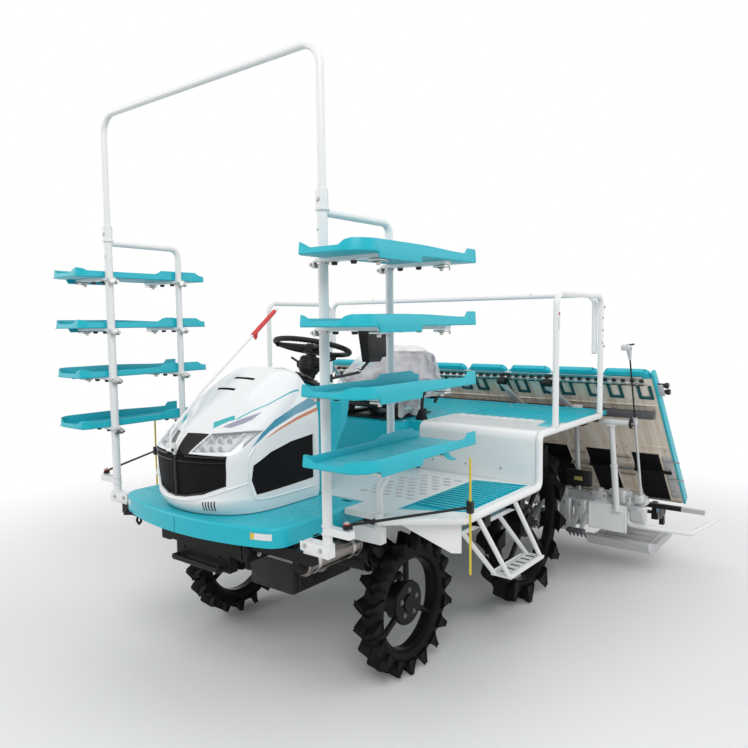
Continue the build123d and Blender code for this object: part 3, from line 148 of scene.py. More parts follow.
dust_group.links.new(math_node(dust_group, "ADD", dust_in.outputs["Roughness"],
                               math_node(dust_group, "MULTIPLY", settled, 0.5), clamp=True),
                     dust_out.inputs["Roughness"])

# edge wear: how far the rounded normal leaves the face's own, so a line along each edge
edge_group, edge_in, edge_out = new_group(
    "rubbed edge", {"Vector": (0.0, 0.0, 0.0), "Radius": 0.003, "Strength": 1.0}, {"Mask": "NodeSocketFloat"})
round_off = edge_group.nodes.new("ShaderNodeBevel")
round_off.samples = 3
edge_group.links.new(edge_in.outputs["Radius"], round_off.inputs["Radius"])
true_face = edge_group.nodes.new("ShaderNodeNewGeometry")
turned = edge_group.nodes.new("ShaderNodeVectorMath")
turned.operation = "DOT_PRODUCT"
edge_group.links.new(round_off.outputs[0], turned.inputs[0])
edge_group.links.new(true_face.outputs["True Normal"], turned.inputs[1])
bend = math_node(edge_group, "MULTIPLY", math_node(edge_group, "SUBTRACT", 1.0, turned.outputs["Value"]), 9.0)
broken = math_node(edge_group, "MULTIPLY", bend, noise(edge_group, edge_in.outputs["Vector"], 60.0, 4.0))
edge_group.links.new(math_node(edge_group, "MULTIPLY", broken, edge_in.outputs["Strength"], clamp=True),
                     edge_out.inputs["Mask"])


def place(tree, group, **values):
    """Group node with its constants or links set by input name."""
    node = tree.nodes.new("ShaderNodeGroup")
    node.node_tree = group
    for label, value in values.items():
        feed(tree, node.inputs[label.replace("_", " ")], value)
    return node


def set_inputs(node, **values):
    """Constants of a node's inputs, by name with a low line for each space."""
    for label, value in values.items():
        node.inputs[label.replace("_", " ")].default_value = value


def new_material(name, **values):
    """Node material whose shader holds these constants, with its tree and its shader."""
    material = bpy.data.materials.new(name)
    material.use_nodes = True
    shader = material.node_tree.nodes["Principled BSDF"]
    set_inputs(shader, **values)
    return material, material.node_tree, shader


MOTTLE_SCALE, COAT_ROUGHNESS, GRAIN_STRENGTH, BEVEL_SAMPLES = 5.0, 0.12, 0.35, 3


def finish(name, colour, roughness, metallic=0.0, coat=0.0, grain=400.0, grain_depth=0.02, mottle=0.1,
           dust=0.12, rubbed=0.0, rubbed_colour=(0.35, 0.35, 0.36, 1.0), edge_radius=0.002, specular=0.5):
    """Paint, plastic or bare metal: a mottled colour, dust, rubbed edges and a fine grain."""
    material, tree, shader = new_material(name, Metallic=metallic, Coat_Weight=coat,
                                          Specular_IOR_Level=specular, Coat_Roughness=COAT_ROUGHNESS)
    where = tree.nodes.new("ShaderNodeTexCoord").outputs["Object"]
    tone = place(tree, mottle_group, Vector=where, Colour=(*colour, 1.0), Scale=MOTTLE_SCALE,
                 Amount=mottle).outputs[0]
    if rubbed:
        edge = place(tree, edge_group, Vector=where, Radius=edge_radius, Strength=rubbed).outputs[0]
        tone = mix_colour(tree, edge, tone, rubbed_colour)
    dusty = place(tree, dust_group, Vector=where, Colour=tone, Amount=dust, Roughness=roughness)
    tree.links.new(dusty.outputs["Colour"], shader.inputs["Base Color"])
    tree.links.new(dusty.outputs["Roughness"], shader.inputs["Roughness"])
    bump = tree.nodes.new("ShaderNodeBump")
    set_inputs(bump, Strength=GRAIN_STRENGTH, Distance=grain_depth / 100)
    tree.links.new(noise(tree, where, grain, 2.0), bump.inputs["Height"])
    soft_edge = tree.nodes.new("ShaderNodeBevel")
    soft_edge.samples = BEVEL_SAMPLES
    soft_edge.inputs["Radius"].default_value = edge_radius
    tree.links.new(soft_edge.outputs[0], bump.inputs["Normal"])
    tree.links.new(bump.outputs[0], shader.inputs["Normal"])
    return material


def dress(material, *names):
    """CAD nodes get a finish in every material slot."""
    for name in names:
        node = nodes[name]
        for index in range(len(node.material_slots)):
            node.material_slots[index].link = "OBJECT"
            node.material_slots[index].material = material
        if not node.material_slots:
            node.data.materials.append(material)


frame_black = finish("satin black frame paint", (0.007, 0.007, 0.008), 0.42, rubbed=0.12, dust=0.03,
                     specular=0.14)
dress(frame_black, "main_frame")


def new_piece(name, bm, material, body, sharp=35.0):
    """Mesh object from a bmesh, smooth up to an angle, riding on a body."""
    mesh = bpy.data.meshes.new(name)
    bm.to_mesh(mesh)
    bm.free()
    mesh.polygons.foreach_set("use_smooth", [True] * len(mesh.polygons))
    mesh.set_sharp_from_angle(angle=radians(sharp))
    piece = bpy.data.objects.new(name, mesh)
    bpy.context.collection.objects.link(piece)
    piece.data.materials.append(material)
    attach(piece, body)
    return piece


def add_rod(bm, start, end, radius, end_radius=None, sides=20):
    """Round bar, or a cone, between two points."""
    start, end = Vector(start), Vector(end)
    run = end - start
    turn = Vector((0, 0, 1)).rotation_difference(run).to_matrix().to_4x4()
    made = bmesh.ops.create_cone(bm, cap_ends=True, segments=sides, radius1=radius,
                                 radius2=radius if end_radius is None else end_radius, depth=run.length,
                                 matrix=Matrix.Translation((start + end) / 2) @ turn)
    return made["verts"]


def add_stub(bm, foot, way, radius, end_radius=None, sides=20):
    """Round bar, or a cone, that runs a given way from its foot."""
    add_rod(bm, foot, foot + Vector(way), radius, end_radius, sides)


def round_edges(bm, edges, width, segments=2):
    """Rounded bevel along edges."""
    bmesh.ops.bevel(bm, geom=edges, offset=width, segments=segments, profile=0.5, affect="EDGES", material=-1)


def add_block(bm, low, high, bevel=0.0, segments=2):
    """Box between two corners, with rounded edges."""
    low, high = Vector(low), Vector(high)
    size = Vector((abs(high.x - low.x), abs(high.y - low.y), abs(high.z - low.z)))
    placed = Matrix.Translation((low + high) / 2) @ Matrix.Diagonal((*size, 1.0))
    made = bmesh.ops.create_cube(bm, size=1.0, matrix=placed)["verts"]
    if bevel:
        round_edges(bm, list({edge for vert in made for edge in vert.link_edges}), bevel, segments)
    return made


def add_bolt(bm, head, axis, radius=0.008, height=0.007):
    """Hexagon head on its washer, looking along the axis."""
    axis = Vector(axis).normalized()
    head = Vector(head)
    add_rod(bm, head, head + axis * height * 0.3, radius * 1.35, sides=18)
    add_rod(bm, head + axis * height * 0.25, head + axis * height, radius, sides=6)


def add_bolt_ring(bm, centre, axis, ring, count, radius, height=0.007, start=0.0):
    """Bolts spaced round a circle that faces along one of the main axes."""
    first, second = [way for way in Matrix.Identity(3) if not way.dot(Vector(axis))]
    for index in range(count):
        turn = start + tau * index / count
        add_bolt(bm, centre + (first * cos(turn) + second * sin(turn)) * ring, axis, radius, height)


def add_prism(bm, outline, depth, bevel=0.0):
    """Flat outline of points pushed along a vector, with its rim rounded."""
    face = bm.faces.new([bm.verts.new(point) for point in outline])
    made = bmesh.ops.extrude_face_region(bm, geom=[face])["geom"]
    verts = [item for item in made if isinstance(item, bmesh.types.BMVert)]
    bmesh.ops.translate(bm, verts=verts, vec=depth)
    every = list({item for vert in verts for item in vert.link_faces} | {face})
    rim = list({edge for item in every for edge in item.edges})
    bmesh.ops.recalc_face_normals(bm, faces=list({item for edge in rim for item in edge.link_faces}))
    if bevel:
        round_edges(bm, rim, bevel)


zinc = finish("zinc plated fasteners", (0.52, 0.52, 0.5), 0.32, metallic=1.0, dust=0.1, mottle=0.2)

# rails: bolted brackets, gusset plates and the heads that hold the decks down
RAIL_X, RAIL_TOP, RAIL_LOW = 0.26, 0.74, 0.65
RAIL_STATIONS = (-0.62, -0.45, -0.15, 0.12, 0.52, 0.75, 0.98)
rail_bm = bmesh.new()
for side in SIDES:
    for station in RAIL_STATIONS:
        add_block(rail_bm, at(side * (RAIL_X + 0.03), station - 0.035, RAIL_LOW + 0.012),
                  at(side * (RAIL_X + 0.038), station + 0.035, RAIL_TOP - 0.012), 0.003)
    add_prism(rail_bm, [at(side * 0.05, -0.657, 0.655), at(side * 0.05, -0.657, 0.59),
                        at(side * 0.05, -0.6, 0.655)], Vector((side * 0.012, 0, 0)), 0.002)
    add_stub(rail_bm, at(side * 0.15, -0.74, 0.6), (0, 0.03, 0), 0.014)
# looped guard under the nose
add_stub(rail_bm, at(-0.15, -0.735, 0.6), (0.3, 0, 0), 0.013)
new_piece("frame_brackets", rail_bm, frame_black, "chassis")
bolt_bm = bmesh.new()
for side in SIDES:
    for station in RAIL_STATIONS:
        for dy, dz in ((-0.02, 0.025), (0.02, 0.065)):
            add_bolt(bolt_bm, at(side * (RAIL_X + 0.038), station + dy, RAIL_LOW + dz), (side, 0, 0))
new_piece("frame_bolts", bolt_bm, zinc, "chassis")

# ================================================================ axles and knuckles
# Cast front beam with a kingpin boss at each end and a cast knuckle that turns in it, and a
# cast rear case. They keep the rough skin of the sand mould under a thin dark paint.
WHEEL_R = {"front": 0.325, "rear": 0.466}
REAR_AXLE_Z = WHEEL_R["rear"]
TRACK = {"front": 1.178, "rear": 1.334}
WHEELBASE = 1.091
KINGPIN_X, KINGPIN_Z = 0.455, 0.515
cast_dark = finish("dark paint on cast iron", (0.012, 0.012, 0.014), 0.5, grain=160.0, grain_depth=0.08,
                   dust=0.08, rubbed=0.2, specular=0.25)
dress(cast_dark, "front_axle_beam", "rear_axle_case", "knuckle_left", "knuckle_right")

beam_bm = bmesh.new()
for side in SIDES:
    add_stub(beam_bm, at(side * KINGPIN_X, 0, KINGPIN_Z + 0.06), (0, 0, 0.012), 0.045)
    add_stub(beam_bm, at(side * KINGPIN_X, 0, KINGPIN_Z + 0.072), (0, 0, 0.016), 0.024)
    for x in (0.15, 0.39):
        add_stub(beam_bm, at(side * x, 0, KINGPIN_Z), (side * 0.02, 0, 0), 0.062, sides=32)
    add_bolt_ring(beam_bm, at(side * 0.17, 0, KINGPIN_Z), (side, 0, 0), 0.053, 6, 0.006)
add_stub(beam_bm, at(0, -0.12, 0.52), (0, -0.015, 0), 0.085, sides=32)
add_bolt_ring(beam_bm, at(0, -0.135, 0.52), (0, -1, 0), 0.07, 8, 0.006)
for rib in (-0.08, 0.0, 0.08):
    add_block(beam_bm, at(-0.128, rib - 0.006, 0.42), at(0.128, rib + 0.006, 0.62), 0.002)
# gear case round the beam's middle, and the round arms that carry the drive out to the kingpins
add_block(beam_bm, at(-0.15, -0.3, 0.34), at(0.15, 0.14, 0.6), 0.02, 3)
for side in SIDES:
    add_stub(beam_bm, at(side * 0.12, 0, 0.475), (side * 0.26, 0, 0), 0.056, 0.05, 32)
    add_stub(beam_bm, at(side * 0.15, -0.15, 0.46), (side * 0.014, 0, 0), 0.09, 0.084, 40)
    for rib in (-0.25, -0.08, 0.1):
        add_block(beam_bm, at(side * 0.146, rib - 0.005, 0.35), at(side * 0.158, rib + 0.005, 0.59), 0.002)
    add_bolt_ring(beam_bm, at(side * 0.164, -0.15, 0.46), (side, 0, 0), 0.074, 8, 0.007)
# battery tray beside the rail
add_block(beam_bm, at(-0.42, -0.6, 0.62), at(-0.29, -0.25, 0.755), 0.008)
new_piece("front_beam_castings", beam_bm, cast_dark, "chassis")

rear_bm = bmesh.new()
for side in SIDES:
    for x in (0.13, 0.57):
        add_stub(rear_bm, at(side * x, WHEELBASE, REAR_AXLE_Z), (side * 0.018, 0, 0), 0.078, sides=32)
    add_bolt_ring(rear_bm, at(side * 0.148, WHEELBASE, REAR_AXLE_Z), (side, 0, 0), 0.067, 8, 0.006)
for rib in (-0.07, 0.07):
    add_block(rear_bm, at(rib - 0.006, WHEELBASE - 0.138, 0.4), at(rib + 0.006, WHEELBASE + 0.066, 0.58),
              0.002)
new_piece("rear_case_castings", rear_bm, cast_dark, "chassis")

for side, word in NAMED_SIDES:
    knuckle_bm = bmesh.new()
    hub_x = side * TRACK["front"] / 2
    add_stub(knuckle_bm, at(side * KINGPIN_X, 0, 0.262), (0, 0, 0.01), 0.042)
    add_stub(knuckle_bm, at(side * KINGPIN_X, 0, 0.395), (0, 0, 0.017), 0.057, sides=32)
    add_stub(knuckle_bm, at(hub_x - side * 0.085, 0, 0.325), (side * 0.015, 0, 0), 0.056, sides=32)
    add_bolt_ring(knuckle_bm, at(side * KINGPIN_X, 0, 0.412), (0, 0, 1), 0.049, 6, 0.005, start=radians(30))
    # steering arm and the tie rod's ball end
    add_block(knuckle_bm, at(side * KINGPIN_X - 0.018, 0.04, 0.375),
              at(side * KINGPIN_X + 0.018, 0.145, 0.393), 0.005)
    add_stub(knuckle_bm, at(side * KINGPIN_X, 0.13, 0.36), (0, 0, 0.04), 0.014)
    new_piece(f"knuckle_details_{word}", knuckle_bm, cast_dark, f"knuckle_{word}")

# ================================================================ wheels
# Narrow paddy tyres of solid black rubber on welded steel rings with round spokes. The lugs
# are moulded: tall, tapering and swept back from the middle, with worn, dusty faces.
rubber = finish("black paddy tyre rubber", (0.006, 0.006, 0.007), 0.55, grain=260.0, grain_depth=0.1,
                mottle=0.35, dust=0.01, edge_radius=0.004, specular=0.1)
rim_black = finish("gloss black wheel paint", (0.006, 0.006, 0.007), 0.3, dust=0.01, rubbed=0.08,
                   specular=0.12)
dark_zinc = finish("darkened wheel bolts", (0.16, 0.16, 0.16), 0.38, metallic=0.9, dust=0.1)
TYRES = {
    # end: bore, core radius, core half width, lug half width, lugs, lug length along the tread, sweep back,
    # hub flange radius and how far the hub's face stands out
    "front": (0.2151, 0.285, 0.045, 0.0555, 18, 0.03, 0.03, 0.104, 0.012),
    "rear": (0.3451, 0.398, 0.034, 0.0655, 13, 0.05, 0.052, 0.084, 0.018)}
TREAD_WEAR = 0.0008     # the lug tips stand this far inside the wheel's radius


def add_lug(bm, half, tread, turn):
    """One swept lug from the middle of the tread out to a shoulder, turned round the axle."""
    outer, core_r, lug_half, lug_run, sweep_back = tread
    lug = bmesh.ops.create_cube(bm, size=1.0)["verts"]
    for vert in lug:
        is_tip, along, across = vert.co.z > 0, vert.co.y * 2, vert.co.x + 0.5
        reach = lug_half * across - 0.004 * (1 - across)
        run = lug_run * (0.34 if is_tip else 1.12) * (1.0 - 0.12 * across)
        radius = outer if is_tip else core_r - 0.008 - 0.022 * across
        if is_tip and across > 0.5:
            radius -= (outer - core_r) * 0.12
        spin = turn + (along * run + sweep_back * across ** 1.5) / radius
        vert.co = (half * min(reach, lug_half), radius * sin(spin), radius * cos(spin))
    round_edges(bm, list({edge for vert in lug for edge in vert.link_edges}), 0.0045)


for end in ("front", "rear"):
    bore, core_r, core_half, lug_half, lugs, lug_run, sweep_back, flange_r, hub_out = TYRES[end]
    tread = (WHEEL_R[end] - TREAD_WEAR, core_r, lug_half, lug_run, sweep_back)
    wall = core_r - bore
    section = [(bore, -0.6), (bore + wall * 0.12, -0.88), (bore + wall * 0.45, -1.0),
               (bore + wall * 0.88, -0.96), (core_r, -0.7), (core_r + 0.003, 0.0), (core_r, 0.7),
               (bore + wall * 0.88, 0.96), (bore + wall * 0.45, 1.0), (bore + wall * 0.12, 0.88), (bore, 0.6)]
    for side, word in NAMED_SIDES:
        tyre_bm = bmesh.new()
        ring = [tyre_bm.verts.new((x * core_half, 0, r)) for r, x in section]
        edges = [tyre_bm.edges.new((ring[i], ring[(i + 1) % len(ring)])) for i in range(len(ring))]
        bmesh.ops.spin(tyre_bm, geom=ring + edges, cent=(0, 0, 0), axis=(1, 0, 0), angle=tau, steps=96,
                       use_merge=True)
        for index in range(lugs):
            for half in SIDES:
                add_lug(tyre_bm, half, tread, pi + index * tau / lugs)
        for vert in tyre_bm.verts:
            # worn to a true circle
            far = hypot(vert.co.y, vert.co.z)
            if far > tread[0]:
                vert.co.yz = vert.co.yz * (tread[0] / far)
        bmesh.ops.recalc_face_normals(tyre_bm, faces=tyre_bm.faces)
        station = 0.0 if end == "front" else WHEELBASE
        bmesh.ops.translate(tyre_bm, verts=tyre_bm.verts,
                            vec=at(side * TRACK[end] / 2, station, WHEEL_R[end]))
        tyre = new_piece(f"{end}_paddy_tyre_{word}", tyre_bm, rubber, f"{end}_wheel_{word}", sharp=40.0)
        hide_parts(f"{end}_tyre_{word}")
        dress(rim_black, f"{end}_rim_{word}")

        # bolted hub flange, its cap and the spoke gussets
        hub_bm = bmesh.new()
        hub_x = side * TRACK[end] / 2
        face_x = hub_x + side * hub_out
        axle_z = WHEEL_R[end]
        add_stub(hub_bm, at(face_x - side * 0.004, station, axle_z), (side * 0.01, 0, 0),
                flange_r, flange_r - 0.004, sides=48)
        add_stub(hub_bm, at(face_x, station, axle_z), (side * 0.0125, 0, 0), 0.046, 0.034, sides=32)
        new_piece(f"{end}_hub_{word}", hub_bm, rim_black, f"{end}_wheel_{word}")
        nut_bm = bmesh.new()
        add_bolt_ring(nut_bm, at(face_x + side * 0.006, station, axle_z), (side, 0, 0), 0.062, 5, 0.0095,
                      0.0065, start=0.3)
        new_piece(f"{end}_wheel_nuts_{word}", nut_bm, dark_zinc, f"{end}_wheel_{word}")

# ================================================================ engine and exhaust
# Cast-iron diesel under the hood, with a pressed valve cover, an air cleaner, a belt drive and a
# radiator. A rolled stainless silencer hangs beside it, tinted brown by its own heat.
SILENCER_X, SILENCER_Z, SILENCER_R = 0.52, 0.672, 0.05
cast_grey = finish("grey cast iron", (0.075, 0.076, 0.08), 0.55, metallic=0.3, grain=140.0, grain_depth=0.08,
                   dust=0.1)
dress(cast_grey, "engine_block")
engine_bm = bmesh.new()
add_block(engine_bm, at(-0.13, -0.61, 1.117), at(0.05, -0.34, 1.152), 0.012, 3)
for station in (-0.55, -0.475, -0.4):
    add_stub(engine_bm, at(-0.04, station, 1.15), (0, 0, 0.014), 0.017)
for side in SIDES:
    for rib in range(7):
        add_block(engine_bm, at(side * 0.193, -0.622 + 0.048 * rib, 0.76),
                  at(side * 0.203, -0.612 + 0.048 * rib, 1.06), 0.002)
    add_block(engine_bm, at(side * 0.193, -0.635, 0.9), at(side * 0.206, -0.305, 0.925), 0.004)
add_stub(engine_bm, at(0.12, -0.55, 1.165), (0, 0.18, 0), 0.052, sides=32)
add_stub(engine_bm, at(0.12, -0.562, 1.165), (0, 0.012, 0), 0.04, 0.052, sides=32)
for x, z, radius in ((0.0, 0.78, 0.075), (0.1, 0.95, 0.04), (-0.09, 0.97, 0.052)):
    add_stub(engine_bm, at(x, -0.662, z), (0, 0.022, 0), radius, sides=40)
    add_stub(engine_bm, at(x, -0.667, z), (0, 0.005, 0), radius * 0.92, radius, sides=40)
new_piece("engine_castings", engine_bm, cast_grey, "chassis")
radiator_bm = bmesh.new()
add_block(radiator_bm, at(-0.17, -0.745, 0.862), at(0.17, -0.715, 0.884), 0.006)
add_block(radiator_bm, at(-0.17, -0.745, 1.056), at(0.17, -0.715, 1.082), 0.006)
for column in range(30):
    x = -0.162 + 0.0112 * column
    add_block(radiator_bm, at(x - 0.0022, -0.742, 0.884), at(x + 0.0022, -0.718, 1.056))
for x in (-0.168, 0.162):
    add_block(radiator_bm, at(x, -0.748, 0.862), at(x + 0.008, -0.712, 1.082), 0.002)
new_piece("radiator_core", radiator_bm, frame_black, "chassis")
belt_bm = bmesh.new()
for x, z, next_x, next_z in ((0.062, 0.738, 0.135, 0.932), (0.108, 0.99, -0.085, 1.022),
                             (-0.142, 0.965, -0.068, 0.75)):
    add_rod(belt_bm, at(x, -0.653, z), at(next_x, -0.653, next_z), 0.006, sides=8)
new_piece("fan_belt", belt_bm, rubber, "chassis")

tinted_steel = finish("heat tinted stainless steel", (0.22, 0.2, 0.18), 0.24, metallic=1.0, mottle=0.9,
                      grain=700.0, dust=0.05, edge_radius=0.003)
dress(tinted_steel, "muffler")
silencer_bm = bmesh.new()
for low, high, start, end in ((-0.61, -0.622, 0.0495, 0.036), (-0.292, -0.28, 0.0495, 0.03)):
    add_rod(silencer_bm, at(SILENCER_X, low, SILENCER_Z), at(SILENCER_X, high, SILENCER_Z), start, end,
            sides=40)
for station in (-0.604, -0.3):
    add_stub(silencer_bm, at(SILENCER_X, station - 0.004, SILENCER_Z), (0, 0.008, 0),
            SILENCER_R + 0.003, sides=40)
add_stub(silencer_bm, at(SILENCER_X - 0.028, -0.606, SILENCER_Z - 0.0425), (0, 0.308, 0), 0.0022, sides=8)
add_stub(silencer_bm, at(SILENCER_X, -0.25, SILENCER_Z), (0, 0.012, 0), 0.0172, 0.0195, sides=32)
new_piece("silencer_seams", silencer_bm, tinted_steel, "chassis")
clamp_bm = bmesh.new()
for station in (-0.56, -0.345):
    add_stub(clamp_bm, at(SILENCER_X, station - 0.009, SILENCER_Z), (0, 0.018, 0),
            SILENCER_R + 0.0018, sides=40)
    add_block(clamp_bm, at(SILENCER_X - 0.011, station - 0.009, 0.72),
              at(SILENCER_X + 0.011, station + 0.009, 0.737), 0.002)
    add_bolt(clamp_bm, at(SILENCER_X + 0.011, station, 0.729), (1, 0, 0), 0.005)
new_piece("silencer_clamps", clamp_bm, zinc, "chassis")
hanger_bm = bmesh.new()
add_block(hanger_bm, at(0.4, -0.572, 0.737), at(SILENCER_X + 0.02, -0.548, 0.743), 0.002)
add_block(hanger_bm, at(0.285, -0.572, 0.7), at(0.405, -0.548, 0.743), 0.003)
# black front cone with its clamp ring
add_stub(hanger_bm, at(SILENCER_X, -0.65, SILENCER_Z), (0, 0.038, 0), 0.021, 0.037, 32)
add_stub(hanger_bm, at(SILENCER_X, -0.626, SILENCER_Z), (0, 0.01, 0), 0.041, sides=32)
# air cleaner box behind the silencer
add_block(hanger_bm, at(0.3, -0.235, 0.6), at(0.415, -0.12, 0.715), 0.014, 3)
new_piece("silencer_hanger", hanger_bm, frame_black, "chassis")

# ================================================================ front deck
# Turquoise polyethylene deck, rotationally moulded in two halves that meet at the nose, with
# raised grip pads on its tread and steel rope hooks bolted under its skirt.
DECK_Z = 0.84
AHEAD = -1.2      # station in front of everything, where rays start
teal_plastic = finish("turquoise moulded plastic", (0.012, 0.45, 0.55), 0.34, grain=900.0, mottle=0.05,
                      dust=0.02, specular=0.35)
dress(teal_plastic, "front_deck")
deck_skin = BVHTree.FromPolygons([vert.co.copy() for vert in nodes["front_deck"].data.vertices],
                                 [tuple(face.vertices) for face in nodes["front_deck"].data.polygons])


def on_surface(surface, start, way, lift):
    """Point where a ray meets a surface, moved out of it by a lift."""
    found, normal, index, far = surface.ray_cast(start, Vector(way))
    return found + (-normal if normal.dot(Vector(way)) > 0 else normal) * lift


def on_deck(x, z, lift):
    """Point of the front deck's skirt seen from the front, moved out by a lift."""
    return on_surface(deck_skin, at(x, AHEAD, z), (0, 1, 0), lift)


def add_patch(bm, across, along, placed):
    """Sheet laid on a surface: placed(u, v) gives each of its points, u and v from 0 to 1."""
    made = bmesh.ops.create_grid(bm, x_segments=across, y_segments=along, size=0.5)["verts"]
    for vert in made:
        vert.co = placed(vert.co.x + 0.5, vert.co.y + 0.5)


pad_bm = bmesh.new()
for side in SIDES:
    for row in range(9):
        for column in range(4):
            x = 0.345 + 0.044 * column + 0.022 * (row % 2)
            y = -0.64 + 0.044 * row
            if x < 0.49:
                add_stub(pad_bm, at(side * x, y, DECK_Z - 0.001), (0, 0, 0.0026), 0.013, 0.0105, 12)
new_piece("deck_grip_pads", pad_bm, teal_plastic, "chassis")
seam_bm = bmesh.new()
add_patch(seam_bm, 1, 8, lambda u, v: on_deck(-0.0012 + 0.0024 * u, 0.766 + 0.062 * v, 0.0006))
for side in SIDES:
    # oblong lifting hole near each rear corner
    add_block(seam_bm, at(side * 0.425, -0.262, DECK_Z - 0.002), at(side * 0.475, -0.246, DECK_Z + 0.0006),
              0.0004)
new_piece("deck_seam", seam_bm, finish("shade in a joint", (0.003, 0.02, 0.025), 0.7, dust=0.0, specular=0.1),
          "chassis")
label_white = finish("plain white label", (0.74, 0.75, 0.75), 0.35, mottle=0.04, dust=0.02)
label_yellow = finish("plain yellow label", (0.72, 0.48, 0.03), 0.35, mottle=0.04, dust=0.02)
label_bm, tab_bm = bmesh.new(), bmesh.new()
add_patch(label_bm, 10, 2, lambda u, v: on_deck(0.418 + 0.069 * u, 0.793 + 0.026 * v, 0.0008))
add_patch(label_bm, 6, 2, lambda u, v: on_deck(-0.455 + 0.03 * u, 0.795 + 0.024 * v, 0.0008))
add_patch(tab_bm, 3, 2, lambda u, v: on_deck(0.402 + 0.0155 * u, 0.793 + 0.026 * v, 0.0008))
for bm, word, material in ((label_bm, "deck_labels", label_white), (tab_bm, "deck_label_ends", label_yellow)):
    bmesh.ops.recalc_face_normals(bm, faces=bm.faces)
    if sum(face.normal.y for face in bm.faces) > 0:
        bmesh.ops.reverse_faces(bm, faces=bm.faces)
    new_piece(word, bm, material, "chassis")


def add_bead(bm, points, radius, sides=8):
    """Round bead along points, with a ball at each one so that no joint gapes."""
    for first, second in zip(points, points[1:]):
        add_rod(bm, first, second, radius, sides=sides)
    for point in points:
        bmesh.ops.create_icosphere(bm, subdivisions=1, radius=radius, matrix=Matrix.Translation(point))


hook_bm = bmesh.new()
for x, y in ((0.365, -0.772), (-0.365, -0.772), (0.505, -0.56), (-0.505, -0.56)):
    add_bead(hook_bm, [at(x, y + 0.03, 0.765), at(x, y, 0.758), at(x, y - 0.008, 0.735),
                       at(x + 0.004, y, 0.718), at(x + 0.012, y + 0.006, 0.728),
                       at(x + 0.014, y + 0.004, 0.742)], 0.0055)
    add_block(hook_bm, at(x - 0.016, y + 0.012, 0.764), at(x + 0.016, y + 0.05, 0.772), 0.002)
# looped guard rail at the right front corner
add_bead(hook_bm, [at(-0.4, -0.7, 0.745), at(-0.47, -0.775, 0.748), at(-0.525, -0.72, 0.758),
                   at(-0.535, -0.62, 0.762), at(-0.46, -0.56, 0.752)], 0.007)
new_piece("rope_hooks", hook_bm, frame_black, "chassis")

# ================================================================ floor, side steps and fenders
# Gloss white moulded floor with raised lozenges under the feet, turquoise ribbed steps screwed
# into it at each side, and white fenders that rise to the rear deck.
white_panel = finish("gloss white panel", (0.8, 0.81, 0.81), 0.28, coat=0.3, grain=900.0, mottle=0.04,
                     dust=0.03)
dress(white_panel, "floor_deck", "fender_panels")
dress(teal_plastic, "side_steps")
lozenge_bm = bmesh.new()
for side in SIDES:
    for row in range(9):
        for column in range(5):
            x = 0.395 + 0.066 * column + 0.033 * (row % 2)
            y = -0.06 + 0.052 * row
            if x < 0.69 and not (x < 0.43 and y > 0.3):
                add_prism(lozenge_bm, [at(side * (x + dx), y + dy, DECK_Z - 0.0005) for dx, dy in (
                    (-0.024, 0.0), (0.0, -0.017), (0.024, 0.0), (0.0, 0.017))],
                          Vector((0, 0, 0.0028)), 0.0009)
pad_grey = finish("scuffed grip pads", (0.52, 0.54, 0.56), 0.5, mottle=0.2, dust=0.15)
new_piece("floor_lozenges", lozenge_bm, pad_grey, "chassis")
step_bm = bmesh.new()
for side in SIDES:
    corners = [at(side * x, y, 0.8375) for x, y in (
        (0.7135, -0.2305), (0.9765, -0.1025), (0.9765, 0.4685), (0.7135, 0.4185))]
    for first, second in zip(corners, corners[1:] + corners[:1]):
        add_bead(step_bm, [first, second], 0.0035)
new_piece("step_rims", step_bm, teal_plastic, "chassis")
screw_bm = bmesh.new()
for side in SIDES:
    for x, y in ((0.725, -0.205), (0.965, -0.085), (0.965, 0.18), (0.965, 0.45), (0.725, 0.4), (0.725, 0.1)):
        add_stub(screw_bm, at(side * x, y, 0.8335), (0, 0, 0.004), 0.0075, 0.0055, sides=16)
    for x in (0.42, 0.62, 0.82):
        add_stub(screw_bm, at(side * x, 0.498, 0.9), (0, -0.006, 0), 0.007, 0.005, sides=16)
new_piece("step_screws", screw_bm, zinc, "chassis")
# rounded shoulder bead along the fender's folded edges
REAR_DECK_Z = 1.0945
fender_bm = bmesh.new()
for side in SIDES:
    for x in (0.3385, 0.9985):
        add_bead(fender_bm, [at(side * x, station, REAR_DECK_Z - 0.003) for station in (0.545, 0.865)],
                 0.0045, 10)
    # scalloped rear edge of the white cover, lapped over the rear deck
    for lobe in range(10):
        x = 0.385 + 0.052 * lobe
        add_stub(fender_bm, at(side * x, 0.862, REAR_DECK_Z), (0, 0, 0.0027), 0.027, 0.025)
new_piece("fender_edges", fender_bm, white_panel, "chassis")

# ================================================================ rear deck
# Turquoise moulded deck over the rear wheels and under the seat, ribbed lightly across for grip.
dress(teal_plastic, "rear_deck")
RIM_X, RIM_BACK, RIM_Z = 0.965, 1.465, 1.096
ribs_bm = bmesh.new()
for side in SIDES:
    for row in range(7):
        y = 0.9 + 0.055 * row
        add_block(ribs_bm, at(side * 0.38, y, REAR_DECK_Z), at(side * 0.93, y + 0.01, REAR_DECK_Z + 0.003),
                  0.0012)
    add_bead(ribs_bm, [at(side * RIM_X, station, RIM_Z) for station in (0.885, RIM_BACK)], 0.004)
add_bead(ribs_bm, [at(side * -RIM_X, RIM_BACK, RIM_Z) for side in SIDES], 0.004)
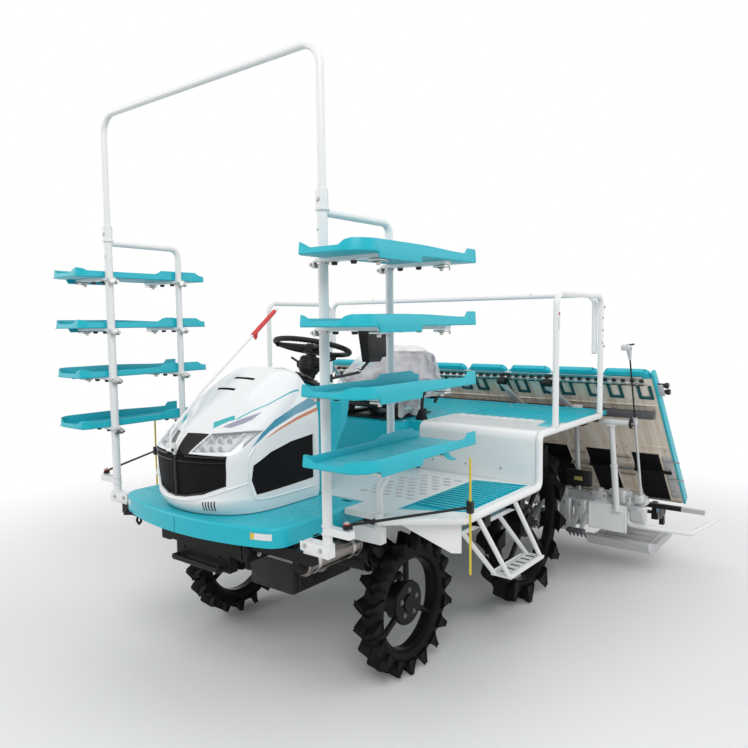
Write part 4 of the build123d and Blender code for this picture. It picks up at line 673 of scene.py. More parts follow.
# the deck's own corner shows beside each post, where the white cover is cut back
for side in SIDES:
    add_prism(ribs_bm, [at(side * x, y, REAR_DECK_Z) for x, y in (
        (0.9, 0.872), (0.92, 0.7), (0.985, 0.69), (0.985, 0.872))], Vector((0, 0, 0.0025)), 0.0008)
new_piece("rear_deck_ribs", ribs_bm, teal_plastic, "chassis")
deck_bolt_bm = bmesh.new()
for side in SIDES:
    for x, y in ((0.26, 0.46), (0.26, 0.86), (0.95, 0.9), (0.95, 1.44), (0.4, 1.44)):
        add_bolt(deck_bolt_bm, at(side * x, y, 1.0952), (0, 0, 1), 0.007, 0.005)
new_piece("rear_deck_bolts", deck_bolt_bm, zinc, "chassis")

# ================================================================ hood
# One-piece gloss white moulded hood, hinged at its rear edge. Its skin is laid up from level
# slices, smoothed, then cut for the grille, the lamps and the side screens.
HOOD_BACK = -0.3
HOOD_SKIRT_BACK = -0.262      # the side skirts lap over the cowl
HOOD_SLICES = (
    # height, then half of the slice from the middle of the nose: (x, station) of each corner
    (0.843, ((0, -0.786), (0.07, -0.782), (0.14, -0.762), (0.215, -0.72), (0.27, -0.655), (0.292, -0.56))),
    (0.868, ((0, -0.812), (0.07, -0.808), (0.14, -0.786), (0.218, -0.742), (0.274, -0.672), (0.297, -0.57))),
    (0.9, ((0, -0.832), (0.07, -0.828), (0.142, -0.806), (0.223, -0.757), (0.277, -0.683), (0.299, -0.575))),
    (0.914, ((0, -0.832), (0.07, -0.827), (0.142, -0.805), (0.223, -0.757), (0.277, -0.683), (0.299, -0.575))),
    (0.928, ((0, -0.824), (0.071, -0.819), (0.142, -0.797), (0.222, -0.75), (0.276, -0.676), (0.299, -0.575))),
    (0.985, ((0, -0.829), (0.07, -0.824), (0.142, -0.803), (0.224, -0.758), (0.278, -0.684), (0.299, -0.58))),
    (1.06, ((0, -0.831), (0.07, -0.826), (0.144, -0.806), (0.228, -0.765), (0.28, -0.694), (0.299, -0.59))),
    (1.096, ((0, -0.83), (0.066, -0.818), (0.146, -0.796), (0.232, -0.764), (0.282, -0.694), (0.299, -0.59))),
    (1.14, ((0, -0.824), (0.056, -0.776), (0.15, -0.748), (0.236, -0.714), (0.284, -0.655), (0.299, -0.56))),
    (1.18, ((0, -0.806), (0.058, -0.732), (0.152, -0.702), (0.24, -0.664), (0.288, -0.6), (0.299, -0.51))),
    (1.222, ((0, -0.738), (0.082, -0.688), (0.152, -0.658), (0.24, -0.59), (0.282, -0.53), (0.297, -0.45))),
    (1.285, ((0, -0.636), (0.098, -0.612), (0.152, -0.588), (0.228, -0.498), (0.266, -0.445), (0.285, -0.39))),
    (1.345, ((0, -0.528), (0.105, -0.514), (0.148, -0.496), (0.208, -0.418), (0.244, -0.382), (0.262, -0.35))),
    (1.398, ((0, -0.424), (0.105, -0.416), (0.14, -0.404), (0.18, -0.36), (0.206, -0.342), (0.218, -0.326))),
    (1.428, ((0, -0.355), (0.09, -0.352), (0.118, -0.346), (0.138, -0.338), (0.15, -0.33), (0.156, -0.32))))


def subdivide(piece, levels=1):
    """Subdivision surface with the same level in the render."""
    modifier = piece.modifiers.new("smooth", "SUBSURF")
    modifier.levels = modifier.render_levels = levels


def smoothed(bm, levels):
    """The bmesh after that many levels of subdivision surface."""
    cage = bpy.data.meshes.new("cage")
    bm.to_mesh(cage)
    bm.free()
    holder = bpy.data.objects.new("cage", cage)
    bpy.context.collection.objects.link(holder)
    subdivide(holder, levels)
    result = bpy.data.meshes.new_from_object(holder.evaluated_get(bpy.context.evaluated_depsgraph_get()))
    smooth_bm = bmesh.new()
    smooth_bm.from_mesh(result)
    bpy.data.objects.remove(holder)
    bpy.data.meshes.remove(cage)
    bpy.data.meshes.remove(result)
    return smooth_bm


def holds_point(outline, u, v):
    """Whether a closed outline goes round a point."""
    inside = False
    for index, (au, av) in enumerate(outline):
        bu, bv = outline[index - 1]
        if (av > v) != (bv > v) and u < (bu - au) * (v - av) / (bv - av) + au:
            inside = not inside
    return inside


VIEWS = {
    # view: axes across and up its outlines, axis it looks along, way its faces look and least share of it
    "front": (0, 2, 1, -1, -0.02), "top": (0, 1, 2, 1, 0.02),
    "left": (1, 2, 0, 1, 0.02), "right": (1, 2, 0, -1, 0.02)}
NEAR = 0.02       # how far past an outline faces are cut
ORIGIN = (0, AXLE_Y, 0)


def cut_region(bm, outline, view):
    """Cuts the skin along an outline seen in a view, and gives the faces in it."""
    across, up, along, way, least = VIEWS[view]
    sight = Matrix.Identity(3)[along]
    low_u, high_u = min(u for u, v in outline) - NEAR, max(u for u, v in outline) + NEAR
    low_v, high_v = min(v for u, v in outline) - NEAR, max(v for u, v in outline) + NEAR

    def flat(face):
        middle = face.calc_center_median()
        return middle[across] - ORIGIN[across], middle[up] - ORIGIN[up]

    def near(face):
        u, v = flat(face)
        return face.normal[along] * way > least and low_u < u < high_u and low_v < v < high_v

    for index, (au, av) in enumerate(outline):
        bu, bv = outline[index - 1]
        start, run = Vector(), Vector()
        start[across], start[up] = au + ORIGIN[across], av + ORIGIN[up]
        run[across], run[up] = bu - au, bv - av
        faces = [face for face in bm.faces if near(face)]
        around = list({edge for face in faces for edge in face.edges})
        corners = list({vert for face in faces for vert in face.verts})
        bmesh.ops.bisect_plane(bm, geom=faces + around + corners, dist=0.00005, plane_co=start,
                               plane_no=run.cross(sight).normalized())
    return [face for face in bm.faces if near(face) and holds_point(outline, *flat(face))]


def paint(faces, index):
    """Faces take one of the skin's materials."""
    for face in faces:
        face.material_index = index


hood_bm = bmesh.new()
rows = []
for height, corners in HOOD_SLICES:
    half = [at(x, y, height) for x, y in corners]
    last_x, last_y = corners[-1]
    back = HOOD_SKIRT_BACK if height < 1.3 else HOOD_BACK
    half += [at(last_x, (last_y + back) / 2, height), at(last_x - 0.002, back, height)]
    mirrored = [Vector((-point.x, point.y, point.z)) for point in reversed(half[1:])]
    rows.append([hood_bm.verts.new(point) for point in mirrored + half])
for lower, upper in zip(rows, rows[1:]):
    for index in range(len(lower) - 1):
        hood_bm.faces.new((lower[index], lower[index + 1], upper[index + 1], upper[index]))
# flat crown, closed towards the rear edge
crown = rows[-1]
middle = len(crown) // 2
for index in range(middle - 1):
    hood_bm.faces.new((crown[index], crown[index + 1], crown[-2 - index], crown[-1 - index]))
hood_bm.faces.new((crown[middle - 1], crown[middle], crown[middle + 1]))
crease = hood_bm.edges.layers.float.new("crease_edge")
for edge in hood_bm.edges:
    first, second = edge.verts
    if edge.is_boundary:
        edge[crease] = 1.0
    # the ridges of the top panel, and the lip that the lamps and the grille sit under
    for row in rows[9:]:
        if first in row and second in row:
            break
    else:
        for column in (middle - 2, middle + 2):
            if first in [row[column] for row in rows[8:]] and second in [row[column] for row in rows[8:]]:
                edge[crease] = 0.9
bmesh.ops.recalc_face_normals(hood_bm, faces=hood_bm.faces)
if sum(face.normal.z for face in hood_bm.faces) < 0:
    bmesh.ops.reverse_faces(hood_bm, faces=hood_bm.faces)
hood_bm = smoothed(hood_bm, 2)

hood_white = finish("gloss white moulded hood", (0.8, 0.81, 0.82), 0.22, coat=0.5, grain=1100.0,
                    grain_depth=0.01, mottle=0.03, dust=0.02)
films = [finish(name, colour, 0.28, coat=0.4, mottle=0.04, dust=0.02) for name, colour in (
    ("blue grey film", (0.045, 0.26, 0.38)), ("orange film", (0.62, 0.19, 0.07)),
    ("turquoise film", (0.03, 0.42, 0.45)), ("lilac grey film", (0.3, 0.3, 0.4)))]
slot_dark = finish("shade inside a slot", (0.01, 0.01, 0.01), 0.8)
(BLUE_FACES, ORANGE_FACES, TEAL_FACES, LILAC_FACES, SLOT_FACES, SCREEN_FACES, MASK_FACES,
 LAMP_FACES) = range(1, 9)

BAND = ((-0.655, 1.118), (-0.596, 1.173), (-0.518, 1.22), (-0.389, 1.271), (-0.262, 1.308), (-0.262, 1.262),
        (-0.309, 1.25), (-0.398, 1.233), (-0.5, 1.2), (-0.56, 1.176), (-0.615, 1.142))
ORANGE = ((-0.57, 1.157), (-0.502, 1.187), (-0.4, 1.22), (-0.262, 1.25), (-0.262, 1.234), (-0.4, 1.207),
          (-0.502, 1.178), (-0.575, 1.152))
TEAL_DASH = ((0.092, -0.69), (0.158, -0.63), (0.169, -0.64), (0.108, -0.706))
TEAL_LINE = ((0.1705, -0.636), (0.2245, -0.504), (0.2615, -0.352), (0.2665, -0.352), (0.2295, -0.504),
             (0.1755, -0.636))
LILAC = ((0.143, -0.688), (0.178, -0.637), (0.207, -0.59), (0.231, -0.544), (0.225, -0.595), (0.208, -0.63),
         (0.18, -0.668))
SCREEN = ((-0.63, 0.916), (-0.655, 0.985), (-0.648, 1.046), (-0.56, 1.09), (-0.44, 1.119), (-0.29, 1.134),
          (-0.29, 0.93))
MASK = ((0.226, 0.968), (0.232, 1.02), (0.236, 1.094), (0.072, 1.098), (0.108, 1.172), (0.024, 1.176),
        (0.011, 1.11), (0.0, 1.092))
CHIN = ((0.06, 0.918), (0.14, 0.932))
LAMP = ((0.081, 1.104), (0.236, 1.11), (0.268, 1.128), (0.282, 1.184), (0.256, 1.186), (0.118, 1.174))
for side, word in NAMED_SIDES:
    for outline, index in ((BAND, BLUE_FACES), (ORANGE, ORANGE_FACES)):
        paint(cut_region(hood_bm, outline, word), index)
    for outline, index in ((TEAL_DASH, TEAL_FACES), (TEAL_LINE, TEAL_FACES), (LILAC, LILAC_FACES)):
        paint(cut_region(hood_bm, [(side * x, y) for x, y in outline], "top"), index)
    # slanted slots in the chin
    for index in range(5):
        x, top = 0.128 + 0.011 * index, 0.904 + 0.001 * index
        slot = ((x, 0.862), (x + 0.005, 0.862), (x + 0.019, top), (x + 0.014, top))
        paint(cut_region(hood_bm, [(side * u, v) for u, v in slot], "front"), SLOT_FACES)
for station, low_x, high_x in ((-0.531, -0.071, 0.046), (-0.45, -0.047, 0.084)):
    front, rear = station - 0.007, station + 0.007
    vent = cut_region(hood_bm, ((low_x, front), (high_x, front), (high_x, rear), (low_x, rear)), "top")
    walls = bmesh.ops.inset_region(hood_bm, faces=vent, thickness=0.0008, depth=-0.016,
                                   use_even_offset=True)["faces"]
    paint(vent + walls, SLOT_FACES)
for side, word in NAMED_SIDES:
    paint(cut_region(hood_bm, SCREEN, word), SCREEN_FACES)
mask_outline = list(MASK) + [(-x, z) for x, z in reversed(MASK[:-1])]
mask_outline += [(-x, z) for x, z in reversed(CHIN)] + [(0.0, 0.914)] + list(CHIN)
paint(cut_region(hood_bm, mask_outline, "front"), MASK_FACES)
for side in SIDES:
    paint(cut_region(hood_bm, [(side * x, z) for x, z in LAMP], "front"), LAMP_FACES)


def skin_part(bm, index):
    """Moves the faces of one material out of a skin into a bmesh of their own."""
    part = bm.copy()
    bmesh.ops.delete(part, geom=[face for face in part.faces if face.material_index != index],
                     context="FACES")
    bmesh.ops.remove_doubles(part, verts=part.verts, dist=0.0002)
    paint(part.faces, 0)
    bmesh.ops.delete(bm, geom=[face for face in bm.faces if face.material_index == index], context="FACES")
    return part


whole_skin = BVHTree.FromBMesh(hood_bm)
screen_bm, mask_bm, lamp_bm = [skin_part(hood_bm, index) for index in (SCREEN_FACES, MASK_FACES, LAMP_FACES)]
# the skin's cut edges turn in a short way, so that they read as moulded thickness
rim_edges = [edge for edge in hood_bm.edges if edge.is_boundary]
turned_in = bmesh.ops.extrude_edge_only(hood_bm, edges=rim_edges)["geom"]
for vert in {item for item in turned_in if isinstance(item, bmesh.types.BMVert)}:
    inward = at(0, -0.45, 1.02) - vert.co
    vert.co += inward.normalized() * 0.014
hood_bm.normal_update()
hood_piece = new_piece("moulded_hood", hood_bm, hood_white, "hood", sharp=50.0)
for extra in films + [slot_dark]:
    hood_piece.data.materials.append(extra)
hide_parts("hood")

# ================================================================ grille, side screens and headlamps
# Satin black moulded grille with woven wire behind it, and the same wire in the side screens.
# Each lamp is a clear moulded lens over a silvered bowl with two rows of square cells.
grille_black = finish("satin black grille plastic", (0.004, 0.004, 0.005), 0.25, dust=0.0, specular=0.35)


def wire_mesh(name, pitch):
    """Black woven wire: two sets of fine bars raised by their height, with painted shade between them."""
    material = finish(name, (0.006, 0.006, 0.007), 0.55, dust=0.0, specular=0.05)
    tree = material.node_tree
    shader = tree.nodes["Principled BSDF"]
    where = tree.nodes["Texture Coordinate"].outputs["Object"]
    bars = []
    for axis in (0, 1):
        turned = tree.nodes.new("ShaderNodeMapping")
        turned.inputs["Rotation"].default_value = (radians(45 if axis else -45), 0, radians(20))
        tree.links.new(where, turned.inputs["Vector"])
        wave = tree.nodes.new("ShaderNodeTexWave")
        wave.bands_direction = "Z"
        wave.inputs["Scale"].default_value = 1.0 / pitch / 3.0
        tree.links.new(turned.outputs[0], wave.inputs["Vector"])
        bars.append(wave.outputs["Fac"])
    height = math_node(tree, "MAXIMUM", bars[0], bars[1])
    bump = [node for node in tree.nodes if node.bl_idname == "ShaderNodeBump"][0]
    set_inputs(bump, Distance=0.0015, Strength=0.8)
    tree.links.new(height, bump.inputs["Height"])
    # painted shade: the colour is darker between the bars than on them
    tone = mix_colour(tree, height, (0.002, 0.002, 0.002, 1.0), (0.014, 0.014, 0.016, 1.0))
    tree.links.new(tone, shader.inputs["Base Color"])
    return material


def pushed(bm, distance):
    """The skin moved along its own normals."""
    bm.normal_update()
    moves = {vert: vert.normal.copy() for vert in bm.verts}
    for vert, way in moves.items():
        vert.co += way * distance
    return bm


screen_wire = wire_mesh("black woven wire", 0.006)
new_piece("side_screens", pushed(screen_bm, -0.008), screen_wire, "hood")
grille_piece = new_piece("grille_mask", pushed(mask_bm, -0.009), screen_wire, "hood")
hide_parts("grille")


def on_skin(x, z, lift=0.0):
    """Point of the hood's skin seen from the front, moved out by a lift."""
    return on_surface(whole_skin, at(x, AHEAD, z), (0, 1, 0), lift)


def beside_skin(side, y, z, lift=0.0):
    """Point of the hood's skin seen from a side, moved out by a lift."""
    return on_surface(whole_skin, at(side * 0.8, y, z), (-side, 0, 0), lift)


bars_bm = bmesh.new()
for side in SIDES:
    # rim of the mask, the lip under each lamp and the satin pieces beside the middle rib
    add_bead(bars_bm, [on_skin(side * x, z, -0.005) for x, z in (
        (0.0, 0.919), (0.06, 0.922), (0.138, 0.936), (0.224, 0.97), (0.23, 1.02), (0.233, 1.09))], 0.0045)
    add_bead(bars_bm, [on_skin(side * (0.06 + 0.0173 * i), 1.088, -0.001) for i in range(11)], 0.0045)
    add_bead(bars_bm, [on_skin(side * (0.016 + 0.0216 * i), 1.066, -0.004) for i in range(11)], 0.003)
    # smooth piece between the middle rib and the lamp
    add_patch(bars_bm, 6, 6, lambda u, v: on_skin(side * (0.011 + 0.013 * v + (0.06 + 0.022 * v) * u),
                                                  1.094 + 0.081 * v, -0.0005))
add_bead(bars_bm, [on_skin(0, z, -0.006) for z in (0.918, 0.95, 1.0, 1.05, 1.088)], 0.006)
new_piece("grille_bars", bars_bm, grille_black, "hood")

# white beading: the middle rib between the lamps, and the chin lip that runs round to the cheeks
rib_bm = bmesh.new()
add_bead(rib_bm, [on_skin(0, z, 0.0) for z in (1.094, 1.11, 1.13, 1.15, 1.17, 1.185)], 0.008, 12)
for side in SIDES:
    add_bead(rib_bm, [on_skin(side * x, z, -0.001) for x, z in (
        (0.0, 0.905), (0.045, 0.906), (0.09, 0.91), (0.14, 0.92), (0.185, 0.936), (0.225, 0.953),
        (0.256, 0.966), (0.276, 0.976))], 0.006, 12)
for side in SIDES:
    # raised cheek line that runs from the lamp down in front of the screen, and the sill under it
    add_bead(rib_bm, [beside_skin(side, y, z, -0.001) for y, z in (
        (-0.64, 1.118), (-0.668, 1.085), (-0.676, 1.04), (-0.672, 0.985), (-0.655, 0.93), (-0.632, 0.9),
        (-0.56, 0.896), (-0.48, 0.896), (-0.4, 0.896), (-0.3, 0.896))], 0.005, 10)
new_piece("white_beading", rib_bm, hood_white, "hood")

lamp_bowl = finish("silvered lamp bowl", (0.72, 0.74, 0.76), 0.2, metallic=0.7, mottle=0.3, dust=0.0)
lamp_cell = finish("square lamp cell", (0.3, 0.31, 0.33), 0.12, metallic=0.9, mottle=0.5, dust=0.0)
lamp_clear, clear_tree, clear_shader = new_material("clear lamp lens", Base_Color=(0.86, 0.9, 0.93, 1.0),
                                                    Alpha=0.22, Coat_Weight=1.0, Roughness=0.06)
clear_ripple = clear_tree.nodes.new("ShaderNodeBump")
clear_ripple.inputs["Distance"].default_value = 0.0004
clear_where = clear_tree.nodes.new("ShaderNodeTexCoord").outputs["Object"]
clear_tree.links.new(noise(clear_tree, clear_where, 90.0), clear_ripple.inputs["Height"])
clear_tree.links.new(clear_ripple.outputs[0], clear_shader.inputs["Normal"])

bowl_bm = pushed(lamp_bm.copy(), -0.02)
bowl_rim = [edge for edge in bowl_bm.edges if edge.is_boundary]
wall = bmesh.ops.extrude_edge_only(bowl_bm, edges=bowl_rim)["geom"]
for vert in {item for item in wall if isinstance(item, bmesh.types.BMVert)}:
    vert.co += Vector((0, -0.018, 0.004))
new_piece("lamp_bowls", bowl_bm, lamp_bowl, "hood")
lens_piece = new_piece("lamp_lenses", pushed(lamp_bm, -0.002), lamp_clear, "hood")
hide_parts("headlights")
cells_bm, bezel_bm = bmesh.new(), bmesh.new()
for side in SIDES:
    for row in range(2):
        for column in range(3):
            x = 0.116 + 0.038 * column + 0.012 * row
            z = 1.124 + 0.03 * row + 0.002 * column
            spot, ahead = on_skin(side * x, z, -0.014), Vector((side * 0.35, -1.0, 0.15)).normalized()
            add_rod(bezel_bm, spot - ahead * 0.006, spot + ahead * 0.004, 0.016, 0.019, sides=4)
            add_rod(cells_bm, spot + ahead * 0.0038, spot + ahead * 0.0055, 0.013, 0.01, sides=8)
    # bright strip beside the cells and the divider before the pointed wing
    add_bead(bezel_bm, [on_skin(side * x, z, -0.006) for x, z in (
        (0.222, 1.114), (0.232, 1.146), (0.24, 1.18))], 0.004)
new_piece("lamp_bezels", bezel_bm, lamp_bowl, "hood")
new_piece("lamp_cells", cells_bm, lamp_cell, "hood")

# ================================================================ centre pole
# Thin white steel pole that stands on the nose and leans back over the hood as the driver's aiming
# mark. It folds forward on a pin, and its end is dipped in red.
white_tube = finish("white powder-coated tube", (0.8, 0.81, 0.81), 0.3, coat=0.2, mottle=0.04, dust=0.02)
dress(white_tube, "centre_pole")
signal_red = finish("red plastic", (0.62, 0.035, 0.035), 0.35, dust=0.02)
pole_bm = bmesh.new()
# dipped sleeve, a little thicker than the pole, with a fin at its lower end
add_rod(pole_bm, at(0, -0.3785, 1.5745), at(0, -0.24, 1.6838), 0.0104, sides=20)
add_rod(pole_bm, at(0, -0.24, 1.6838), at(0, -0.22, 1.6996), 0.0104, 0.006, 20)
add_prism(pole_bm, [at(-0.002, y, z) for y, z in (
    (-0.374, 1.573), (-0.344, 1.597), (-0.35, 1.563), (-0.36, 1.553), (-0.368, 1.56))],
          Vector((0.004, 0, 0)), 0.001)
new_piece("pole_end", pole_bm, signal_red, "centre_pole")
boss_bm = bmesh.new()
for x in (-0.016, 0.011):
    add_block(boss_bm, at(x, -0.853, 1.105), at(x + 0.005, -0.829, 1.142), 0.002)
new_piece("pole_fork", boss_bm, white_tube, "hood")

# ================================================================ cowl, column and steering wheel
# Turquoise moulded cowl behind the hood, tapered to the hood's rear outline, with a black panel of
# gauges on its slope. Black column cover, and a moulded wheel rim on three spokes.
COWL_LINE = ((-0.292, 0.841), (-0.292, 1.18), (-0.288, 1.37), (-0.268, 1.42), (-0.24, 1.42), (-0.02, 1.318),
             (0.022, 1.25), (0.006, 1.15), (-0.056, 1.056), (-0.112, 0.95), (-0.138, 0.841))


def cowl_half(z):
    """Half width of the cowl, which follows the hood's rear outline at its front."""
    upper = [(0.841, 0.262), (0.95, 0.25), (1.15, 0.252), (1.25, 0.256), (1.318, 0.246), (1.38, 0.2),
             (1.42, 0.125)]
    for (low, wide), (high, narrow) in zip(upper, upper[1:]):
        if z <= high:
            return wide + (narrow - wide) * (z - low) / (high - low)
    return upper[-1][1]


def smooth_step(value, start, end):
    """0 before start and 1 after end, eased between them."""
    share = min(max((value - start) / (end - start), 0.0), 1.0)
    return share * share * (3 - 2 * share)


def crown(height, share):
    """How far the cowl's top falls away at a share of its half width."""
    fall = 0.06 * smooth_step(height, 1.25, 1.318) + 0.08 * smooth_step(height, 1.318, 1.42)
    return fall * abs(share) ** 3


cowl_bm = bmesh.new()
cowl_rows = []
for share in (-1.0, -0.94, -0.85, -0.72, -0.55, -0.3, 0.0, 0.3, 0.55, 0.72, 0.85, 0.94, 1.0):
    pull = 0.018 * (abs(share) == 1.0) + 0.004 * (abs(share) == 0.94)
    row = []
    for y, z in COWL_LINE:
        inward_y = pull if y < -0.25 else -pull if z > 0.9 else 0.0
        inward_z = -crown(z, share) - (pull if z > 1.3 else 0.0)
        row.append(cowl_bm.verts.new(at(share * cowl_half(z), y + inward_y, z + inward_z)))
    cowl_rows.append(row)
for first, second in zip(cowl_rows, cowl_rows[1:]):
    for index in range(len(COWL_LINE)):
        after = (index + 1) % len(COWL_LINE)
        cowl_bm.faces.new((first[index], second[index], second[after], first[after]))
for row in (cowl_rows[0], cowl_rows[-1]):
    cowl_bm.faces.new(row)
bmesh.ops.triangulate(cowl_bm, faces=[face for face in cowl_bm.faces if len(face.verts) > 4])
bmesh.ops.recalc_face_normals(cowl_bm, faces=cowl_bm.faces)
cowl = new_piece("moulded_cowl", cowl_bm, teal_plastic, "chassis", sharp=50.0)
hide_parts("dash_cowl")
soften = cowl.modifiers.new("edges", "BEVEL")
soften.width = 0.01
soften.segments = 3
soften.limit_method = "ANGLE"
soften.angle_limit = radians(24)

panel_black = finish("black instrument panel", (0.01, 0.01, 0.012), 0.3, grain=900.0, dust=0.02, specular=0.3)
SLOPE_TOP, SLOPE_RUN = at(0, -0.24, 1.42), at(0, -0.02, 1.318) - at(0, -0.24, 1.42)


def on_slope(x, share, lift=0.0):
    """Point over the cowl's crowned slope, from its top edge to its bottom one."""
    def skin(across, down):
        point = SLOPE_TOP + SLOPE_RUN * down
        return point + Vector((across, 0, -crown(point.z, across / cowl_half(point.z))))
    out = (skin(x + 0.002, share) - skin(x - 0.002, share)).cross(
        skin(x, share + 0.01) - skin(x, share - 0.01))
    return skin(x, share) + out.normalized() * lift


panel_bm = bmesh.new()
add_patch(panel_bm, 16, 8, lambda u, v: on_slope((2 * u - 1) * (0.095 + 0.06 * smooth_step(v, 0.0, 0.5)),
                                                 0.12 + 0.8 * v, 0.005))
bmesh.ops.recalc_face_normals(panel_bm, faces=panel_bm.faces)
panel_piece = new_piece("instrument_panel", panel_bm, panel_black, "chassis")
panel_thick = panel_piece.modifiers.new("thickness", "SOLIDIFY")
panel_thick.thickness = 0.008
panel_thick.offset = 0.0
pod_bm = bmesh.new()
GAUGES, GAUGE_DOWN = (-0.085, 0.085), 0.48
for x in GAUGES:
    add_rod(pod_bm, on_slope(x, GAUGE_DOWN, 0.004), on_slope(x, GAUGE_DOWN, 0.014), 0.052, 0.049, 40)
for column in range(5):
    x = -0.08 + 0.04 * column
    add_rod(pod_bm, on_slope(x, 0.86, 0.004), on_slope(x, 0.86, 0.016), 0.011)
new_piece("gauge_pods", pod_bm, panel_black, "chassis")
dial_bm = bmesh.new()
for x in GAUGES:
    add_rod(dial_bm, on_slope(x, GAUGE_DOWN, 0.0142), on_slope(x, GAUGE_DOWN, 0.015), 0.043, sides=40)
new_piece("gauge_faces", dial_bm, label_white, "chassis")
mark_bm = bmesh.new()
for x in GAUGES:
    middle = on_slope(x, GAUGE_DOWN, 0.0152)
    face_out = (middle - on_slope(x, GAUGE_DOWN)).normalized()
    face_up = -SLOPE_RUN.normalized()
    face_right = face_up.cross(face_out)
    for mark in range(9):
        turn = radians(-120 + 30 * mark)
        spot = middle + (face_right * sin(turn) + face_up * cos(turn)) * 0.036
        add_rod(mark_bm, spot, spot + face_out * 0.0004, 0.0022, sides=8)
    add_rod(mark_bm, middle + face_out * 0.001,
            middle + face_out * 0.001 + face_right * 0.02 + face_up * 0.024, 0.0012, 0.0005, 8)
    add_rod(mark_bm, middle, middle + face_out * 0.0025, 0.0055)
new_piece("gauge_marks", mark_bm, panel_black, "chassis")
cowl_bolt_bm = bmesh.new()
for side in SIDES:
    for station, height in ((-0.24, 0.9), (-0.16, 0.9)):
        x = cowl_half(height)
        add_stub(cowl_bolt_bm, at(side * (x - 0.002), station, height), (side * 0.004, 0, 0), 0.008)
new_piece("cowl_screws", cowl_bolt_bm, zinc, "chassis")

WHEEL_CENTRE = at(0, 0.025, 1.507)
STEER_AXIS = Vector((0, sin(radians(15)), cos(radians(15))))


def on_column(rise, aside=(0, 0, 0)):
    """Point up the steering axis from the wheel's centre, moved aside."""
    return WHEEL_CENTRE + STEER_AXIS * rise + Vector(aside)


wheel_black = finish("black moulded wheel rim", (0.006, 0.006, 0.007), 0.48, grain=600.0, grain_depth=0.05,
                     dust=0.02, specular=0.25)
dress(wheel_black, "steering_wheel", "steering_column")
wheel_bm = bmesh.new()
add_rod(wheel_bm, on_column(-0.004), on_column(0.01), 0.044, 0.036, 40)
add_rod(wheel_bm, on_column(0.009), on_column(0.0125), 0.03, 0.026, 40)
across = STEER_AXIS.cross(Vector((1, 0, 0)))
for spoke in range(3):
    turn = radians(90 + 120 * spoke)
    way = Vector((1, 0, 0)) * cos(turn) + across * sin(turn)
    add_rod(wheel_bm, on_column(-0.008, way * 0.03), on_column(-0.006, way * 0.18), 0.018, 0.0095, 16)
# finger grips moulded under the rim
for grip in range(60):
    turn = tau * grip / 60
    way = Vector((1, 0, 0)) * cos(turn) + across * sin(turn)
    bmesh.ops.create_icosphere(wheel_bm, subdivisions=1, radius=0.0068,
                               matrix=Matrix.Translation(on_column(-0.0085, way * 0.1875)))
new_piece("wheel_grips", wheel_bm, wheel_black, "steering_wheel")
column_bm = bmesh.new()
base = on_column(-0.135)
add_rod(column_bm, base, on_column(-0.1), 0.046, 0.0555, 32)
add_rod(column_bm, on_column(-0.066), on_column(-0.052), 0.0545, 0.045, 32)
add_rod(column_bm, on_column(-0.19), base, 0.03, 0.04, 32)
# combined switch block and its two stalks
add_block(column_bm, on_column(-0.09, (-0.075, -0.026, -0.02)),
          on_column(-0.09, (0.075, 0.026, 0.02)), 0.012, 3)
for side in SIDES:
    add_bead(column_bm, [on_column(-0.086, (side * 0.07, 0, 0)), on_column(-0.07, (side * 0.118, 0.01, 0)),
                         on_column(-0.06, (side * 0.15, 0.016, 0))], 0.0062)
new_piece("column_cover", column_bm, wheel_black, "chassis")

# ================================================================ seat
# Padded seat in grey-lilac cloth on a black sheet steel pan. Its foam is crowned and piped at the
# seams. It is still in the loose clear film it left the works in.
SEAT_FRONT, SEAT_BACK = 0.412, 0.85


def soft_pad(name, low, high, crown, corner, lean=0.0):
    """Stuffed block: a fine grid of faces whose middle swells and whose corners are drawn in."""
    pad_bm = bmesh.new()
    middle, half = (low + high) / 2, (high - low) / 2
    bmesh.ops.create_cube(pad_bm, size=2.0)
    bmesh.ops.subdivide_edges(pad_bm, edges=pad_bm.edges, cuts=11, use_grid_fill=True)
    for vert in pad_bm.verts:
        x, y, z = vert.co
        edge = sorted((abs(x), abs(y), abs(z)))
        round_off = max(0.0, edge[1] - 0.55) / 0.45
        shrink = 1.0 - corner * round_off ** 2
        bulge_x = crown[0] * (1 - y * y) * (1 - z * z)
        bulge_y = crown[1] * (1 - x * x) * (1 - z * z)
        bulge_z = crown[2] * (1 - x * x) * (1 - y * y)
        vert.co = Vector((middle.x + x * (half.x * shrink - crown[0] + bulge_x),
                          middle.y + y * (half.y * shrink - crown[1] + bulge_y) + lean * z,
                          middle.z + z * (half.z * shrink - crown[2] + bulge_z)))
    return new_piece(name, pad_bm, seat_cloth, "chassis", sharp=180.0)


seat_cloth = finish("grey-lilac seat cloth", (0.3, 0.29, 0.34), 0.85, grain=1500.0, grain_depth=0.3,
                    mottle=0.2, dust=0.03, specular=0.2)
cushion = soft_pad("seat_cushion", at(-0.232, SEAT_FRONT, 1.178), at(0.232, SEAT_BACK - 0.02, 1.282),
                   (0.008, 0.008, 0.024), 0.06)
back = soft_pad("seat_back", at(-0.23, 0.765, 1.215), at(0.23, 0.852, 1.468), (0.012, 0.018, 0.012),
                0.1, 0.012)
for side, word in NAMED_SIDES:
    low_x, high_x = sorted((side * 0.168, side * 0.238))
    bolster = soft_pad(f"seat_bolster_{word}", at(low_x, 0.56, 1.225), at(high_x, 0.835, 1.335),
                       (0.008, 0.01, 0.018), 0.12)
    subdivide(bolster)


CLOTH_FRAMES, PAD_PRESSURE, PAD_LIMIT = 20, 4.0, 0.012


